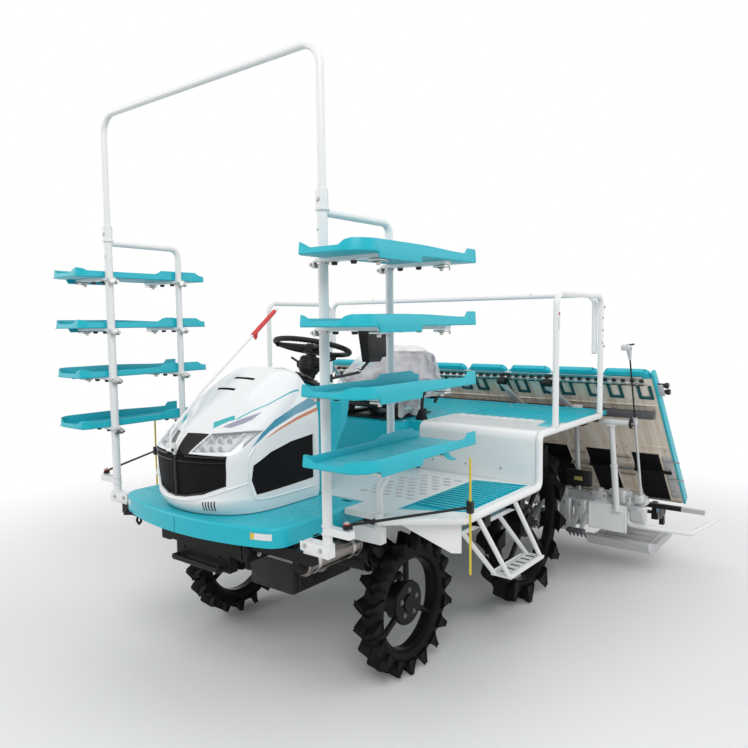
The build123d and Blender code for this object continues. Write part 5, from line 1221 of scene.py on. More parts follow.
def inflate(pad, pressure, limit):
    """Short cloth run that puffs a pad between its seams, each point's way capped by a limit."""
    mesh = pad.data
    rest = [vert.co.copy() for vert in mesh.vertices]
    held = pad.vertex_groups.new(name="held")
    for vert in mesh.vertices:
        local = [abs(vert.co[i] - (pad_low[i] + pad_high[i]) / 2) / ((pad_high[i] - pad_low[i]) / 2)
                 for i in range(3)]
        if sorted(local)[1] > 0.9:
            held.add([vert.index], 1.0, "REPLACE")
    cloth = pad.modifiers.new("cloth", "CLOTH")
    settings = cloth.settings
    settings.quality = 6
    settings.mass = 0.25
    settings.tension_stiffness = settings.compression_stiffness = 12
    settings.shear_stiffness = 8
    settings.bending_stiffness = 0.3
    settings.use_pressure = True
    settings.uniform_pressure_force = pressure
    settings.vertex_group_mass = "held"
    settings.effector_weights.gravity = 0
    settings.shrink_min = -0.03
    cloth.point_cache.frame_end = CLOTH_FRAMES
    for frame_number in range(1, CLOTH_FRAMES + 1):
        bpy.context.scene.frame_set(frame_number)
    deps = bpy.context.evaluated_depsgraph_get()
    puffed = [vert.co.copy() for vert in pad.evaluated_get(deps).data.vertices]
    pad.modifiers.remove(cloth)
    bpy.context.scene.frame_set(1)
    for vert, start, end in zip(mesh.vertices, rest, puffed):
        way = end - start
        if way.length > limit:
            way *= limit / way.length
        vert.co = start + way


for pad in (cushion, back):
    corners = [vert.co for vert in pad.data.vertices]
    pad_low = Vector([min(co[i] for co in corners) for i in range(3)])
    pad_high = Vector([max(co[i] for co in corners) for i in range(3)])
    inflate(pad, PAD_PRESSURE, PAD_LIMIT)
    subdivide(pad)
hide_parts("seat")

# piping sewn round the pads and the quilted seams of the middle panel
piping_black = finish("dark seat piping", (0.035, 0.033, 0.042), 0.6, dust=0.02)
piping_bm = bmesh.new()
LOOP = [(-0.2, 0.428), (0.2, 0.428), (0.222, 0.452), (0.222, 0.56)]
add_bead(piping_bm, [at(-0.222, 0.56, 1.262)] + [at(-x, y, 1.262) for x, y in reversed(LOOP[2:3])]
         + [at(x, y, 1.262) for x, y in LOOP], 0.0042)
for x in (-0.13, 0.13):
    add_bead(piping_bm, [at(x, 0.44, 1.27), at(x, 0.52, 1.281), at(x, 0.64, 1.285), at(x, 0.76, 1.28)], 0.003)
add_bead(piping_bm, [at(-0.201, 0.78, 1.3), at(-0.203, 0.784, 1.405), at(-0.168, 0.788, 1.448),
                     at(0.168, 0.788, 1.448), at(0.203, 0.784, 1.405), at(0.201, 0.78, 1.3)], 0.0042)
new_piece("seat_piping", piping_bm, piping_black, "chassis")

pan_black = finish("black seat pan", (0.008, 0.008, 0.009), 0.35, dust=0.02, specular=0.3)
pan_bm = bmesh.new()
add_block(pan_bm, at(-0.228, 0.42, 1.158), at(0.228, 0.66, 1.19), 0.012, 3)
add_block(pan_bm, at(-0.21, 0.832, 1.175), at(0.21, 0.862, 1.38), 0.014, 3)
for side in SIDES:
    add_bead(pan_bm, [at(side * 0.215, 0.835, 1.16), at(side * 0.222, 0.858, 1.2),
                      at(side * 0.222, 0.86, 1.3)], 0.01)
    add_bead(pan_bm, [at(side * 0.14, 0.425, 1.112), at(side * 0.14, 0.4, 1.108),
                      at(side * 0.185, 0.398, 1.106)], 0.006)
add_block(pan_bm, at(-0.21, 0.43, 1.1), at(0.21, 0.8, 1.108), 0.002)
for x in (-0.16, 0.16):
    # slide rails and the coil springs that carry the pan
    add_block(pan_bm, at(x - 0.02, 0.44, 1.106), at(x + 0.02, 0.8, 1.122), 0.003)
    for turn in range(5):
        add_rod(pan_bm, at(x, 0.72, 1.124 + 0.01 * turn), at(x, 0.72, 1.13 + 0.01 * turn), 0.028, 0.026, 20)
    add_stub(pan_bm, at(x, 0.52, 1.12), (0, 0, 0.042), 0.02)
pan_piece = new_piece("seat_pan", pan_bm, pan_black, "chassis")
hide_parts("seat_base")


def map_range(tree, value, **ends):
    """Node that maps a value from one pair of ends to another."""
    node = tree.nodes.new("ShaderNodeMapRange")
    set_inputs(node, **ends)
    tree.links.new(value, node.inputs["Value"])
    return node


# loose clear film
film_clear, film_tree, film_shader = new_material("clear wrapping film", Base_Color=(0.93, 0.93, 0.95, 1.0),
                                                  Roughness=0.22, Specular_IOR_Level=0.6)
film_where = film_tree.nodes.new("ShaderNodeTexCoord").outputs["Object"]
crease = noise(film_tree, film_where, 9.0, 5.0)
film_alpha = map_range(film_tree, crease, From_Min=0.35, From_Max=0.7, To_Min=0.26, To_Max=0.62)
film_tree.links.new(film_alpha.outputs["Result"], film_shader.inputs["Alpha"])
film_bump = film_tree.nodes.new("ShaderNodeBump")
set_inputs(film_bump, Strength=0.5, Distance=0.01)
film_tree.links.new(crease, film_bump.inputs["Height"])
film_tree.links.new(film_bump.outputs["Normal"], film_shader.inputs["Normal"])
FILM_LINE = ((0.4, 1.215), (0.45, 1.33), (0.62, 1.452), (0.73, 1.492), (0.79, 1.494), (0.835, 1.474),
             (0.868, 1.43), (0.885, 1.37))
wrap_bm = bmesh.new()
bmesh.ops.create_cube(wrap_bm, size=2.0)
bmesh.ops.subdivide_edges(wrap_bm, edges=wrap_bm.edges, cuts=31, use_grid_fill=True)
for vert in wrap_bm.verts:
    x, y, z = vert.co
    # a bag drawn over the back and down to the cushion's front edge, narrower and rounded along its top
    station = 0.4 + 0.2425 * (y + 1)
    for (low, low_top), (high, high_top) in zip(FILM_LINE, FILM_LINE[1:]):
        if station <= high + 0.0001:
            top = low_top + (high_top - low_top) * (station - low) / (high - low)
            break
    up = (z + 1) / 2
    half = 0.246 - 0.034 * up ** 2 - 0.01 * (1 - y * y) * sin(pi * up)
    vert.co = at(x * half, station, 1.198 + (top - 1.198) * up - 0.045 * abs(x) ** 5 * up)
wrap_bm.normal_update()
for vert, out in [(vert, vert.normal.copy()) for vert in wrap_bm.verts]:
    # long creases run down from the top of the back, with finer crumpling across them
    x, y, z = vert.co.x * 9.0, (vert.co.y - AXLE_Y) * 3.0, vert.co.z * 3.0
    long_crease = 1 - 2 * abs(wave_noise.noise(Vector((x + 2 * y, y, z))))
    crumple = wave_noise.noise(Vector((vert.co.x * 26, vert.co.y * 26, vert.co.z * 26)))
    vert.co += out * (0.0055 * long_crease + 0.003 * crumple - 0.004)
# loose skirt of film at each side of the pan
for side in SIDES:
    add_patch(wrap_bm, 14, 8, lambda u, v: at(side * (0.234 + 0.006 * sin(19 * u) * v), 0.44 + 0.225 * u,
                                              1.203 - (0.085 + 0.012 * sin(11 * u)) * v))
new_piece("seat_wrap", wrap_bm, film_clear, "chassis", sharp=180.0)

# ================================================================ terminal and levers
# Black plastic display on a steel gooseneck clamped to the cowl, and black levers with moulded
# knobs beside the seat.
black_plastic = finish("black moulded plastic", (0.009, 0.009, 0.01), 0.42, grain=700.0, dust=0.02,
                       specular=0.3)
dress(black_plastic, "control_console")
console_bm = bmesh.new()
add_block(console_bm, at(0.246, 0.115, 1.452), at(0.304, 0.27, 1.584), 0.01, 3)
add_stub(console_bm, at(0.262, -0.15, 1.352), (0, 0, 0.036), 0.019, sides=24)
bmesh.ops.create_uvsphere(console_bm, u_segments=24, v_segments=16, radius=0.0195,
                          matrix=Matrix.Translation(at(0.305, 0.575, 1.243)))
for bend in range(9):
    # ribbed rubber boot at the lever's foot
    add_rod(console_bm, at(0.305, 0.56, 1.097 + 0.006 * bend), at(0.305, 0.56, 1.101 + 0.006 * bend),
            0.034 - 0.0022 * bend, sides=24)
new_piece("display_housing", console_bm, black_plastic, "chassis")
screen_glass = finish("dark display glass", (0.01, 0.014, 0.018), 0.08, dust=0.0, specular=0.5)
glass_bm = bmesh.new()
add_block(glass_bm, at(0.238, 0.125, 1.47), at(0.2465, 0.262, 1.572), 0.002)
new_piece("display_glass", glass_bm, screen_glass, "chassis")
neck_bm = bmesh.new()
for height in (1.392, 1.405):
    add_stub(neck_bm, at(0.275, 0.062, height - 0.003), (0, 0, 0.006), 0.0115)
add_bolt(neck_bm, at(0.286, 0.14, 1.462), (1, 0, 0), 0.006)
add_bolt(neck_bm, at(0.262, -0.15, 1.388), (0, 0, 1), 0.006)
new_piece("display_clamps", neck_bm, zinc, "chassis")

# ================================================================ handrails and ladders
# White powder-coated steel tube round the decks with welded joints, and discs of painted shade in the bolt
# holes down the rear legs and in the open ends. A perforated white step hangs at each side.
dress(white_tube, "handrails", "step_ladders")
EDGE_X = 1.021
dark_hole = finish("shade inside a hole", (0.012, 0.012, 0.014), 0.8, dust=0.0, specular=0.1)
# painted shade: dark discs in the bolt holes, the top hole and the open tube ends
hole_bm = bmesh.new()
for side in SIDES:
    for height in (1.64, 1.57, 1.5):
        add_stub(hole_bm, at(side * (EDGE_X + 0.015), 1.304, height), (side * 0.0013, 0, 0), 0.0042, sides=16)
    add_stub(hole_bm, at(side * 0.6, 1.3, 1.7868), (0, 0, 0.0012), 0.005, sides=16)
    add_stub(hole_bm, at(side * 0.985, 1.312, 1.4395), (0, 0, -0.002), 0.0125, sides=24)
new_piece("rail_holes", hole_bm, dark_hole, "chassis")
collar_bm = bmesh.new()
for side in SIDES:
    for station in (0.69, 1.312):
        add_stub(collar_bm, at(side * EDGE_X, station, 1.099), (0, 0, 0.007), 0.0195, sides=28)
    for station in (-0.15, 0.12, 0.4):
        add_block(collar_bm, at(side * 0.985, station - 0.018, 0.806),
                  at(side * 1.008, station + 0.018, 0.832), 0.003)
    for station in (0.8, 1.05, 1.25):
        add_block(collar_bm, at(side * 0.985, station - 0.018, 1.06),
                  at(side * 1.008, station + 0.018, 1.092), 0.003)
    # folded rim and stiffening lip of the step plate
    for x in (0.93, 1.031):
        add_bead(collar_bm, [at(side * x, station, 0.4865) for station in (0.192, 0.538)], 0.004)
new_piece("rail_collars", collar_bm, white_tube, "chassis")
slot_bm = bmesh.new()
for side in SIDES:
    for slot_index in range(6):
        y = 0.226 + 0.052 * slot_index
        add_block(slot_bm, at(side * 0.958, y, 0.4856), at(side * 1.002, y + 0.012, 0.4868), 0.0004)
new_piece("step_slots", slot_bm, dark_hole, "chassis")
tag_bm, tag_red_bm = bmesh.new(), bmesh.new()
add_block(tag_bm, at(EDGE_X + 0.0148, 0.684, 1.585), at(EDGE_X + 0.0168, 0.696, 1.655), 0.0004)
add_block(tag_red_bm, at(EDGE_X + 0.015, 0.6835, 1.656), at(EDGE_X + 0.0172, 0.6965, 1.668), 0.0004)
new_piece("rail_label", tag_bm, label_white, "chassis")
new_piece("rail_label_end", tag_red_bm, signal_red, "chassis")
rail_bolt_bm = bmesh.new()
for side in SIDES:
    for height in (1.48, 1.7):
        add_bolt(rail_bolt_bm, at(side * (EDGE_X + 0.0155), 1.32, height), (side, 0, 0), 0.0065, 0.006)
    for station in (0.72, 1.28):
        add_bolt(rail_bolt_bm, at(side * EDGE_X, station, 1.0995), (0, 0, 1), 0.0065, 0.006)
new_piece("rail_bolts", rail_bolt_bm, zinc, "chassis")

# ================================================================ seedling racks
# White tube posts at each side, bolted to the chassis by plates, with a hoop between them over the
# driver. Plated steel arms and U-bolts carry the trays.
RACK_X, RACK_FRONT, RACK_REAR = 0.705, -0.665, -0.262
TRAY_LEVELS = (1.109, 1.357, 1.598, 1.846)
dress(white_tube, "rack_posts", "overhead_gate")
plate_bm, arm_bm, clip_bm = bmesh.new(), bmesh.new(), bmesh.new()
for side in SIDES:
    # foot plates that reach in to the chassis
    add_prism(plate_bm, [at(side * x, RACK_FRONT - 0.0205, z) for x, z in (
        (0.585, 0.765), (0.64, 0.757), (0.73, 0.752), (0.73, 0.8), (0.585, 0.8))], Vector((0, -0.005, 0)),
              0.0015)
    add_stub(plate_bm, at(side * RACK_X, RACK_FRONT, 0.8), (0, 0, 0.006), 0.024, sides=28)
    for height in (0.842, 0.872):
        add_stub(plate_bm, at(side * RACK_X, RACK_FRONT, height - 0.003), (0, 0, 0.006), 0.0225, sides=28)
    add_stub(plate_bm, at(side * RACK_X, RACK_FRONT, 2.034), (0, 0, 0.008), 0.026, sides=28)
    add_stub(plate_bm, at(side * RACK_X, RACK_FRONT, 2.1), (0, 0, 0.009), 0.0225, sides=28)
    add_stub(plate_bm, at(side * RACK_X, -0.345, 0.786), (0, 0, 0.008), 0.0225, sides=28)
    for level in TRAY_LEVELS:
        base = level + 0.002
        for station, radius in ((RACK_FRONT, 0.0198), (RACK_REAR, 0.0168)):
            # U-bolt round the post, its saddle and nuts
            add_stub(arm_bm, at(side * RACK_X, station, base - 0.008), (0, 0, 0.007), radius + 0.004,
                    sides=28)
            add_block(arm_bm, at(side * (RACK_X - 0.036), station - 0.024, base - 0.02),
                      at(side * (RACK_X - 0.024), station + 0.024, base + 0.006), 0.002)
            for dy in (-0.018, 0.018):
                add_bolt(arm_bm, at(side * (RACK_X - 0.036), station + dy, base - 0.007), (-side, 0, 0),
                         0.007, 0.012)
            # sprung latch and its wing bolt at the arm's outer end
            add_block(arm_bm, at(side * 0.93, station - 0.022, base - 0.011),
                      at(side * 0.984, station + 0.022, base - 0.002), 0.002)
            for x in (0.76, 0.85, 0.95):
                add_stub(clip_bm, at(side * x, station, base - 0.002), (0, 0, -0.011), 0.013, 0.01, 16)
            add_bolt(arm_bm, at(side * 0.95, station + 0.01, base - 0.011), (0, 0, -1), 0.008, 0.012)
            add_bead(arm_bm, [at(side * 0.972, station + 0.02, base - 0.008),
                              at(side * 0.98, station + 0.026, base - 0.014),
                              at(side * 0.972, station + 0.03, base - 0.019)], 0.0022, 6)
new_piece("rack_plates", plate_bm, white_tube, "chassis")
new_piece("tray_clamps", arm_bm, zinc, "chassis")
new_piece("tray_buffers", clip_bm, black_plastic, "chassis")
foot_bm = bmesh.new()
for side in SIDES:
    for x, z in ((0.61, 0.785), (0.69, 0.78)):
        add_bolt(foot_bm, at(side * x, RACK_FRONT - 0.0255, z), (0, -1, 0), 0.007)
    for station in (-0.358, -0.332):
        add_bolt(foot_bm, at(side * 0.6, station, 0.7855), (0, 0, 1), 0.007)
    add_bolt(foot_bm, at(side * 0.705, RACK_FRONT - 0.023, 2.072), (0, -1, 0), 0.007)
    add_bolt(foot_bm, at(side * RACK_X, RACK_FRONT - 0.01, 1.965), (side * -0.6, -0.8, 0), 0.004, 0.014)
new_piece("rack_bolts", foot_bm, zinc, "chassis")

# ================================================================ seedling trays
# Turquoise polypropylene trays, injection moulded: a slotted floor, walls that step up towards the
# rear, a hump at the inner side and an ear at the outer rear corner.
TRAY_INNER, TRAY_OUTER, TRAY_FRONT, TRAY_REAR, TRAY_T = 0.727, 1.0, -0.816, -0.084, 0.005
TRAY_CORNER = 0.09


def wall_top(x, y):
    """Height of a tray wall above the tray's base at a place on its outline."""
    if x > 0.91:
        height = 0.022 + 0.021 * smooth_step(x, 0.91, 0.945) - 0.009 * smooth_step(y, -0.5, -0.17)
        return height + 0.021 * smooth_step(y, -0.166, -0.146)
    if y < TRAY_FRONT + 0.006:
        return 0.022 + 0.022 * (1 - smooth_step(x, 0.745, 0.775))
    height = 0.031 + 0.013 * (1 - smooth_step(y, -0.8, -0.765))
    return height + 0.018 * smooth_step(y, -0.385, -0.355) * (1 - smooth_step(y, -0.14, -0.105))


tray_bm = bmesh.new()
for side in SIDES:
    # outline from the inner rear corner round the front to the outer rear one
    outline = [(TRAY_INNER, TRAY_REAR - 0.018 * step) for step in range(40)]
    outline = [(x, y) for x, y in outline if y > TRAY_FRONT + 0.02] + [(TRAY_INNER + 0.012, TRAY_FRONT)]
    outline += [(TRAY_INNER + 0.03 * step, TRAY_FRONT) for step in range(1, 6)]
    bend = [radians(15 * step) for step in range(7)]
    outline += [(TRAY_OUTER - TRAY_CORNER + TRAY_CORNER * sin(turn),
                 TRAY_FRONT + TRAY_CORNER * (1 - cos(turn))) for turn in bend]
    stations = [TRAY_REAR - 0.018 * step for step in range(36)] + [-0.47, -0.4692, -0.166, -0.146]
    outline += [(TRAY_OUTER, y) for y in sorted(stations)]
    for level in TRAY_LEVELS:
        base = level + 0.016
        columns = []
        for index, (x, y) in enumerate(outline):
            before, after = outline[max(index - 1, 0)], outline[min(index + 1, len(outline) - 1)]
            run = Vector((after[0] - before[0], after[1] - before[1])).normalized()
            inward = Vector((-run.y, run.x)) * -1
            top = base + wall_top(x, y)
            skirt = 0.02 if x > 0.99 and -0.72 < y < -0.4695 else 0.0
            profile = ((0.0, -skirt), (0.0, top - base - 0.004), (0.0012, top - base),
                       (TRAY_T - 0.0012, top - base), (TRAY_T, top - base - 0.004), (TRAY_T + 0.003, 0.004),
                       (TRAY_T, -skirt))
            columns.append([tray_bm.verts.new(at(side * (x + inward.x * dx), y + inward.y * dx, base + dz))
                            for dx, dz in profile])
        for first, second in zip(columns, columns[1:]):
            for index in range(7):
                after = (index + 1) % 7
                tray_bm.faces.new((first[index], first[after], second[after], second[index]))
        for end in (columns[0], columns[-1]):
            tray_bm.faces.new(end)
        # slotted floor: slats along the tray, held by cross bands
        for slat in range(14):
            x = 0.73 + 0.0196 * slat
            front = TRAY_FRONT + 0.004
            if x >= 0.9:
                # the slat stops at the rounded corner
                inset = max(TRAY_CORNER ** 2 - (x + 0.012 - TRAY_OUTER + TRAY_CORNER) ** 2, 0.0)
                front = front + TRAY_CORNER - sqrt(inset)
            add_block(tray_bm, at(side * x, front, base), at(side * (x + 0.0125), TRAY_REAR, base + 0.0062),
                      0.0008)
        for low, high in ((-0.812, -0.69), (-0.485, -0.44), (-0.235, -0.084)):
            reach = TRAY_OUTER - 0.004 if low > -0.7 else TRAY_OUTER - 0.035
            add_block(tray_bm, at(side * (TRAY_INNER + 0.003), low, base + 0.0002),
                      at(side * reach, high, base + 0.0052), 0.0008)
        # curved rib under the outer rear corner
        if level == TRAY_LEVELS[0]:
            add_prism(tray_bm, [at(side * 0.985, y, base - z) for y, z in (
                (-0.312, 0.0), (-0.296, 0.018), (-0.27, 0.033), (-0.238, 0.043), (-0.208, 0.045),
                (-0.206, 0.04), (-0.232, 0.032), (-0.254, 0.019), (-0.27, 0.0))],
                      Vector((side * 0.005, 0, 0)), 0.001)
bmesh.ops.recalc_face_normals(tray_bm, faces=tray_bm.faces)
tray_piece = new_piece("moulded_trays", tray_bm, teal_plastic, "chassis", sharp=30.0)
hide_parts("seedling_trays")

# ================================================================ side markers
# Black steel rod on a pivot bolt at each rack foot, with a yellow stick clamped across its end to
# show the driver where the next row of seedlings stands.
marker_yellow = finish("yellow marker stick", (0.66, 0.5, 0.035), 0.35, dust=0.02)
MARKER_PIVOT, MARKER_TIP = (0.8, RACK_FRONT, 0.878), (1.05, -0.204, 0.895)
for side, word in NAMED_SIDES:
    pivot = at(side * MARKER_PIVOT[0], MARKER_PIVOT[1], MARKER_PIVOT[2])
    tip = at(side * MARKER_TIP[0], MARKER_TIP[1], MARKER_TIP[2])
    rod_bm = bmesh.new()
    add_rod(rod_bm, pivot, pivot + Vector((0, 0, 0.01)), 0.0158, 0.015, 32)
    add_rod(rod_bm, pivot + Vector((0, 0, 0.0125)), tip, 0.0055)
    add_rod(rod_bm, pivot + Vector((0, 0, 0.009)), pivot + Vector((0, 0, 0.02)), 0.0115, sides=24)
    add_block(rod_bm, tip - Vector((0.0125, 0.0125, 0.024)), tip + Vector((0.0125, 0.0125, 0.024)), 0.004, 3)
    add_rod(rod_bm, tip + Vector((side * -0.012, 0, 0.01)), tip + Vector((side * -0.012, 0, 0.0245)), 0.006)
    marker = new_piece(f"marker_rod_{word}", rod_bm, black_plastic, f"marker_arm_{word}")
    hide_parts(f"marker_arm_{word}")
    stick_bm = bmesh.new()
    add_bead(stick_bm, [at(side * 1.05, -0.204, 0.623), at(side * 1.05, -0.204, 1.089)], 0.0049, 14)
    new_piece(f"marker_stick_{word}", stick_bm, marker_yellow, f"marker_arm_{word}")
    cap_bm = bmesh.new()
    add_bolt(cap_bm, pivot + Vector((0, 0, 0.0195)), (0, 0, 1), 0.0085, 0.0062)
    new_piece(f"marker_bolt_{word}", cap_bm, zinc, f"marker_arm_{word}")
    ring_bm = bmesh.new()
    add_rod(ring_bm, pivot + Vector((0, 0, 0.0165)), pivot + Vector((0, 0, 0.02)), 0.0135, sides=24)
    new_piece(f"marker_washer_{word}", ring_bm, signal_red, f"marker_arm_{word}")

# ================================================================ lift links and cylinder
# Flat steel links in black paint on greased pins, and a hydraulic cylinder between the chassis and
# the lift horn. Its rod is hard chromed.
LINK_FRONT, LINK_BACK, LINK_RISE = (1.183, 0.48), (1.5966, 0.4071), 0.24
chrome = finish("hard chrome", (0.72, 0.72, 0.73), 0.12, metallic=1.0, grain=900.0, mottle=0.05, dust=0.02)
dress(frame_black, "lift_lower_links", "lift_upper_links", "cylinder_barrel")
dress(chrome, "cylinder_rod")
for word, body, half_x, rise in (("lower", "lower_links", 0.158, 0.0),
                                 ("upper", "upper_links", 0.095, LINK_RISE)):
    link_bm = bmesh.new()
    for side in SIDES:
        for station, height in (LINK_FRONT, LINK_BACK):
            add_stub(link_bm, at(side * (half_x - 0.0055), station, height + rise), (side * 0.006, 0, 0),
                    0.027, sides=28)
        for share in (0.22, 0.78):
            spot = [LINK_FRONT[i] + (LINK_BACK[i] - LINK_FRONT[i]) * share for i in (0, 1)]
            add_stub(link_bm, at(side * (half_x - 0.004), spot[0], spot[1] + rise), (side * 0.004, 0, 0),
                     0.012)
        add_stub(link_bm, at(side * (half_x + 0.012), LINK_FRONT[0], LINK_FRONT[1] + rise + 0.029),
                (0, 0, 0.009), 0.005, sides=10)
    new_piece(f"{word}_link_bosses", link_bm, frame_black, body)
BARREL_PIN, HORN_PIN = at(0, 0.64, 0.7), at(0, 1.2177, 0.677)
stroke_way = (HORN_PIN - BARREL_PIN).normalized()
barrel_bm = bmesh.new()
for near, far, radius in ((0.325, 0.344, 0.0355), (0.04, 0.052, 0.0345), (0.3, 0.306, 0.034)):
    add_rod(barrel_bm, BARREL_PIN + stroke_way * near, BARREL_PIN + stroke_way * far, radius, sides=32)
port = BARREL_PIN + stroke_way * 0.075
add_block(barrel_bm, port + Vector((-0.012, -0.014, 0.024)), port + Vector((0.012, 0.014, 0.046)), 0.003)
add_bead(barrel_bm, [BARREL_PIN + stroke_way * along + Vector((0, 0, rise)) for along, rise in (
    (0.075, 0.044), (0.11, 0.041), (0.3, 0.041), (0.318, 0.033))], 0.005)
new_piece("barrel_fittings", barrel_bm, frame_black, "cylinder_barrel")

# ================================================================ planting unit's frame
# Aluminium planting cases bolted to a steel beam, with white steel posts and a grey channel that
# carry the seedling table. White tubes guard its corners.
planter_grey = finish("planter grey castings", (0.58, 0.59, 0.6), 0.4, metallic=0.35, grain=160.0,
                      grain_depth=0.06, dust=0.06, rubbed=0.2)

# the cast beam and cases keep the frame's shape; the posts, marker rods and combs are cut off and made anew
beam_mesh = bmesh.new()
beam_mesh.from_mesh(nodes["planter_frame"].data)
bmesh.ops.remove_doubles(beam_mesh, verts=beam_mesh.verts, dist=0.00002)
POST_CUT, COMB_CUT = 0.545, 0.33


def is_post(point):
    """Whether a point of the frame lies on a corner post or a marker rod."""
    return abs(point.x) > 0.96 and point.z > POST_CUT and not (point.y > AXLE_Y + 1.59 and point.z > 1.03)


def is_comb(point):
    """Whether a point of the frame lies on a levelling comb."""
    return point.z < COMB_CUT and point.y < AXLE_Y + 1.53


for cut, near in ((POST_CUT, lambda face: any(is_post(vert.co) for vert in face.verts)),
                  (COMB_CUT, lambda face: any(is_comb(vert.co) for vert in face.verts))):
    faces = [face for face in beam_mesh.faces if near(face)]
    around = list({edge for face in faces for edge in face.edges})
    corners = list({vert for face in faces for vert in face.verts})
    bmesh.ops.bisect_plane(beam_mesh, geom=faces + around + corners, dist=0.00001, plane_co=(0, 0, cut),
                           plane_no=(0, 0, 1))
gone = [face for face in beam_mesh.faces if is_post(face.calc_center_median())
        or is_comb(face.calc_center_median())]
bmesh.ops.delete(beam_mesh, geom=gone, context="FACES")
bmesh.ops.holes_fill(beam_mesh, edges=[edge for edge in beam_mesh.edges if edge.is_boundary], sides=0)
cast_frame = new_piece("planter_castings_frame", beam_mesh, planter_grey, "planter", sharp=30.0)
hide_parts("planter_frame")
dress(white_tube, "guard_tubes", "planter_covers")
CASES, ROTOR_Y, ROTOR_Z = (-0.9, -0.3, 0.3, 0.9), 2.44, 0.262
casting_bm, fastener_bm, roller_arm_bm = bmesh.new(), bmesh.new(), bmesh.new()
for x in CASES:
    for face in SIDES:
        side_x = x + face * 0.045
        add_stub(casting_bm, at(side_x - face * 0.001, ROTOR_Y, ROTOR_Z), (face * 0.008, 0, 0), 0.05, 0.044,
                 32)
        add_stub(casting_bm, at(side_x - face * 0.001, 1.735, 0.475), (face * 0.007, 0, 0), 0.052, 0.047, 32)
        for step in range(9):
            spot = at(side_x + face * 0.001, 1.776 + 0.062 * step, 0.406 - 0.0225 * step)
            add_rod(casting_bm, spot, spot + Vector((face * 0.006, 0, 0)), 0.01)
            add_bolt(fastener_bm, spot + Vector((face * 0.006, 0, 0)), (face, 0, 0), 0.006)
        add_prism(casting_bm, [at(side_x, y, z) for y, z in (
            (1.76, 0.43), (2.06, 0.335), (2.36, 0.275), (2.36, 0.268), (2.06, 0.323), (1.76, 0.415))],
                  Vector((face * 0.006, 0, 0)), 0.001)
        add_bolt_ring(fastener_bm, at(side_x + face * 0.006, 1.735, 0.475), (face, 0, 0), 0.042, 6, 0.005)
    add_block(casting_bm, at(x - 0.052, 1.65, 0.44), at(x + 0.052, 1.735, 0.556), 0.006)
    add_stub(casting_bm, at(x, 1.69, 0.556), (0, 0, 0.016), 0.02)
    for dx in (-0.04, 0.04):
        for dz in (0.46, 0.535):
            add_bolt(fastener_bm, at(x + dx, 1.65, dz), (0, -1, 0), 0.007)
# drive couplings along the beam, and clamps where the posts stand
for side in SIDES:
    for x in (0.52, 0.6, 0.68, 1.03, 1.085):
        add_block(casting_bm, at(side * (x - 0.016), 1.648, 0.462), at(side * (x + 0.016), 1.735, 0.548),
                  0.005)
        add_bolt(fastener_bm, at(side * x, 1.648, 0.532), (0, -1, 0), 0.006)
        add_bolt(fastener_bm, at(side * x, 1.69, 0.548), (0, 0, 1), 0.006)
    add_block(casting_bm, at(side * 0.985, 1.64, 0.5), at(side * 1.07, 1.72, 0.585), 0.012, 3)
    add_stub(casting_bm, at(side * 0.965, 1.675, 0.56), (side * 0.13, 0, 0), 0.022, sides=28)
    # knuckle under the marker rod, the end castings below it and the drive housings between the cases
    add_block(casting_bm, at(side * 1.12, 1.63, 0.52), at(side * 1.17, 1.71, 0.57), 0.01, 3)
    add_block(casting_bm, at(side * 1.095, 1.635, 0.395), at(side * 1.19, 1.69, 0.5), 0.014, 3)
    add_stub(casting_bm, at(side * 1.142, 1.622, 0.448), (0, 0.018, 0), 0.036, sides=32)
    for x in (0.6, 0.7, 0.8):
        add_block(casting_bm, at(side * (x - 0.04), 1.602, 0.335), at(side * (x + 0.04), 1.662, 0.5), 0.012,
                  3)
        add_bolt(fastener_bm, at(side * x, 1.602, 0.47), (0, -1, 0), 0.008)
        add_bolt(fastener_bm, at(side * x, 1.602, 0.365), (0, -1, 0), 0.008)
    add_stub(casting_bm, at(side * 1.06, 1.72, 0.52), (side * 0.11, 0, 0), 0.02, sides=28)
    add_bolt_ring(fastener_bm, at(side * 1.15, 1.5, 1.025), (side, 0, 0), 0.022, 4, 0.0045)
    # cast arms that carry the table's rollers
    for foot, head in ((0.399, 0.323), (0.74, 0.632)):
        low, high = at(side * foot, 1.612, 1.078), at(side * head, 1.468, 1.239)
        add_prism(roller_arm_bm, [low + Vector((-0.03, 0, 0)), low + Vector((0.03, 0, 0)),
                                  low.lerp(high, 0.5) + Vector((0.021, -0.006, 0)),
                                  high + Vector((0.014, 0.004, -0.012)),
                                  high + Vector((-0.014, 0.004, -0.012)),
                                  low.lerp(high, 0.5) + Vector((-0.021, -0.006, 0))],
                  Vector((0, -0.011, -0.009)), 0.002)
        add_block(casting_bm, low + Vector((-0.04, -0.014, -0.01)), low + Vector((0.04, 0.03, 0.008)), 0.004)
        for dx in (-0.028, 0.028):
            add_bolt(fastener_bm, low + Vector((dx, 0.008, 0.008)), (0, 0, 1), 0.006)
new_piece("planter_castings", casting_bm, planter_grey, "planter")
new_piece("roller_arms", roller_arm_bm, planter_grey, "planter")
new_piece("planter_fasteners", fastener_bm, zinc, "planter")
plain_steel = finish("white painted post", (0.7, 0.71, 0.71), 0.32, coat=0.2, dust=0.03)
MARKER_ROD = ((1.16, 1.654, 0.561), (1.16, 1.374, 1.475))
post_bm, dark_bm = bmesh.new(), bmesh.new()
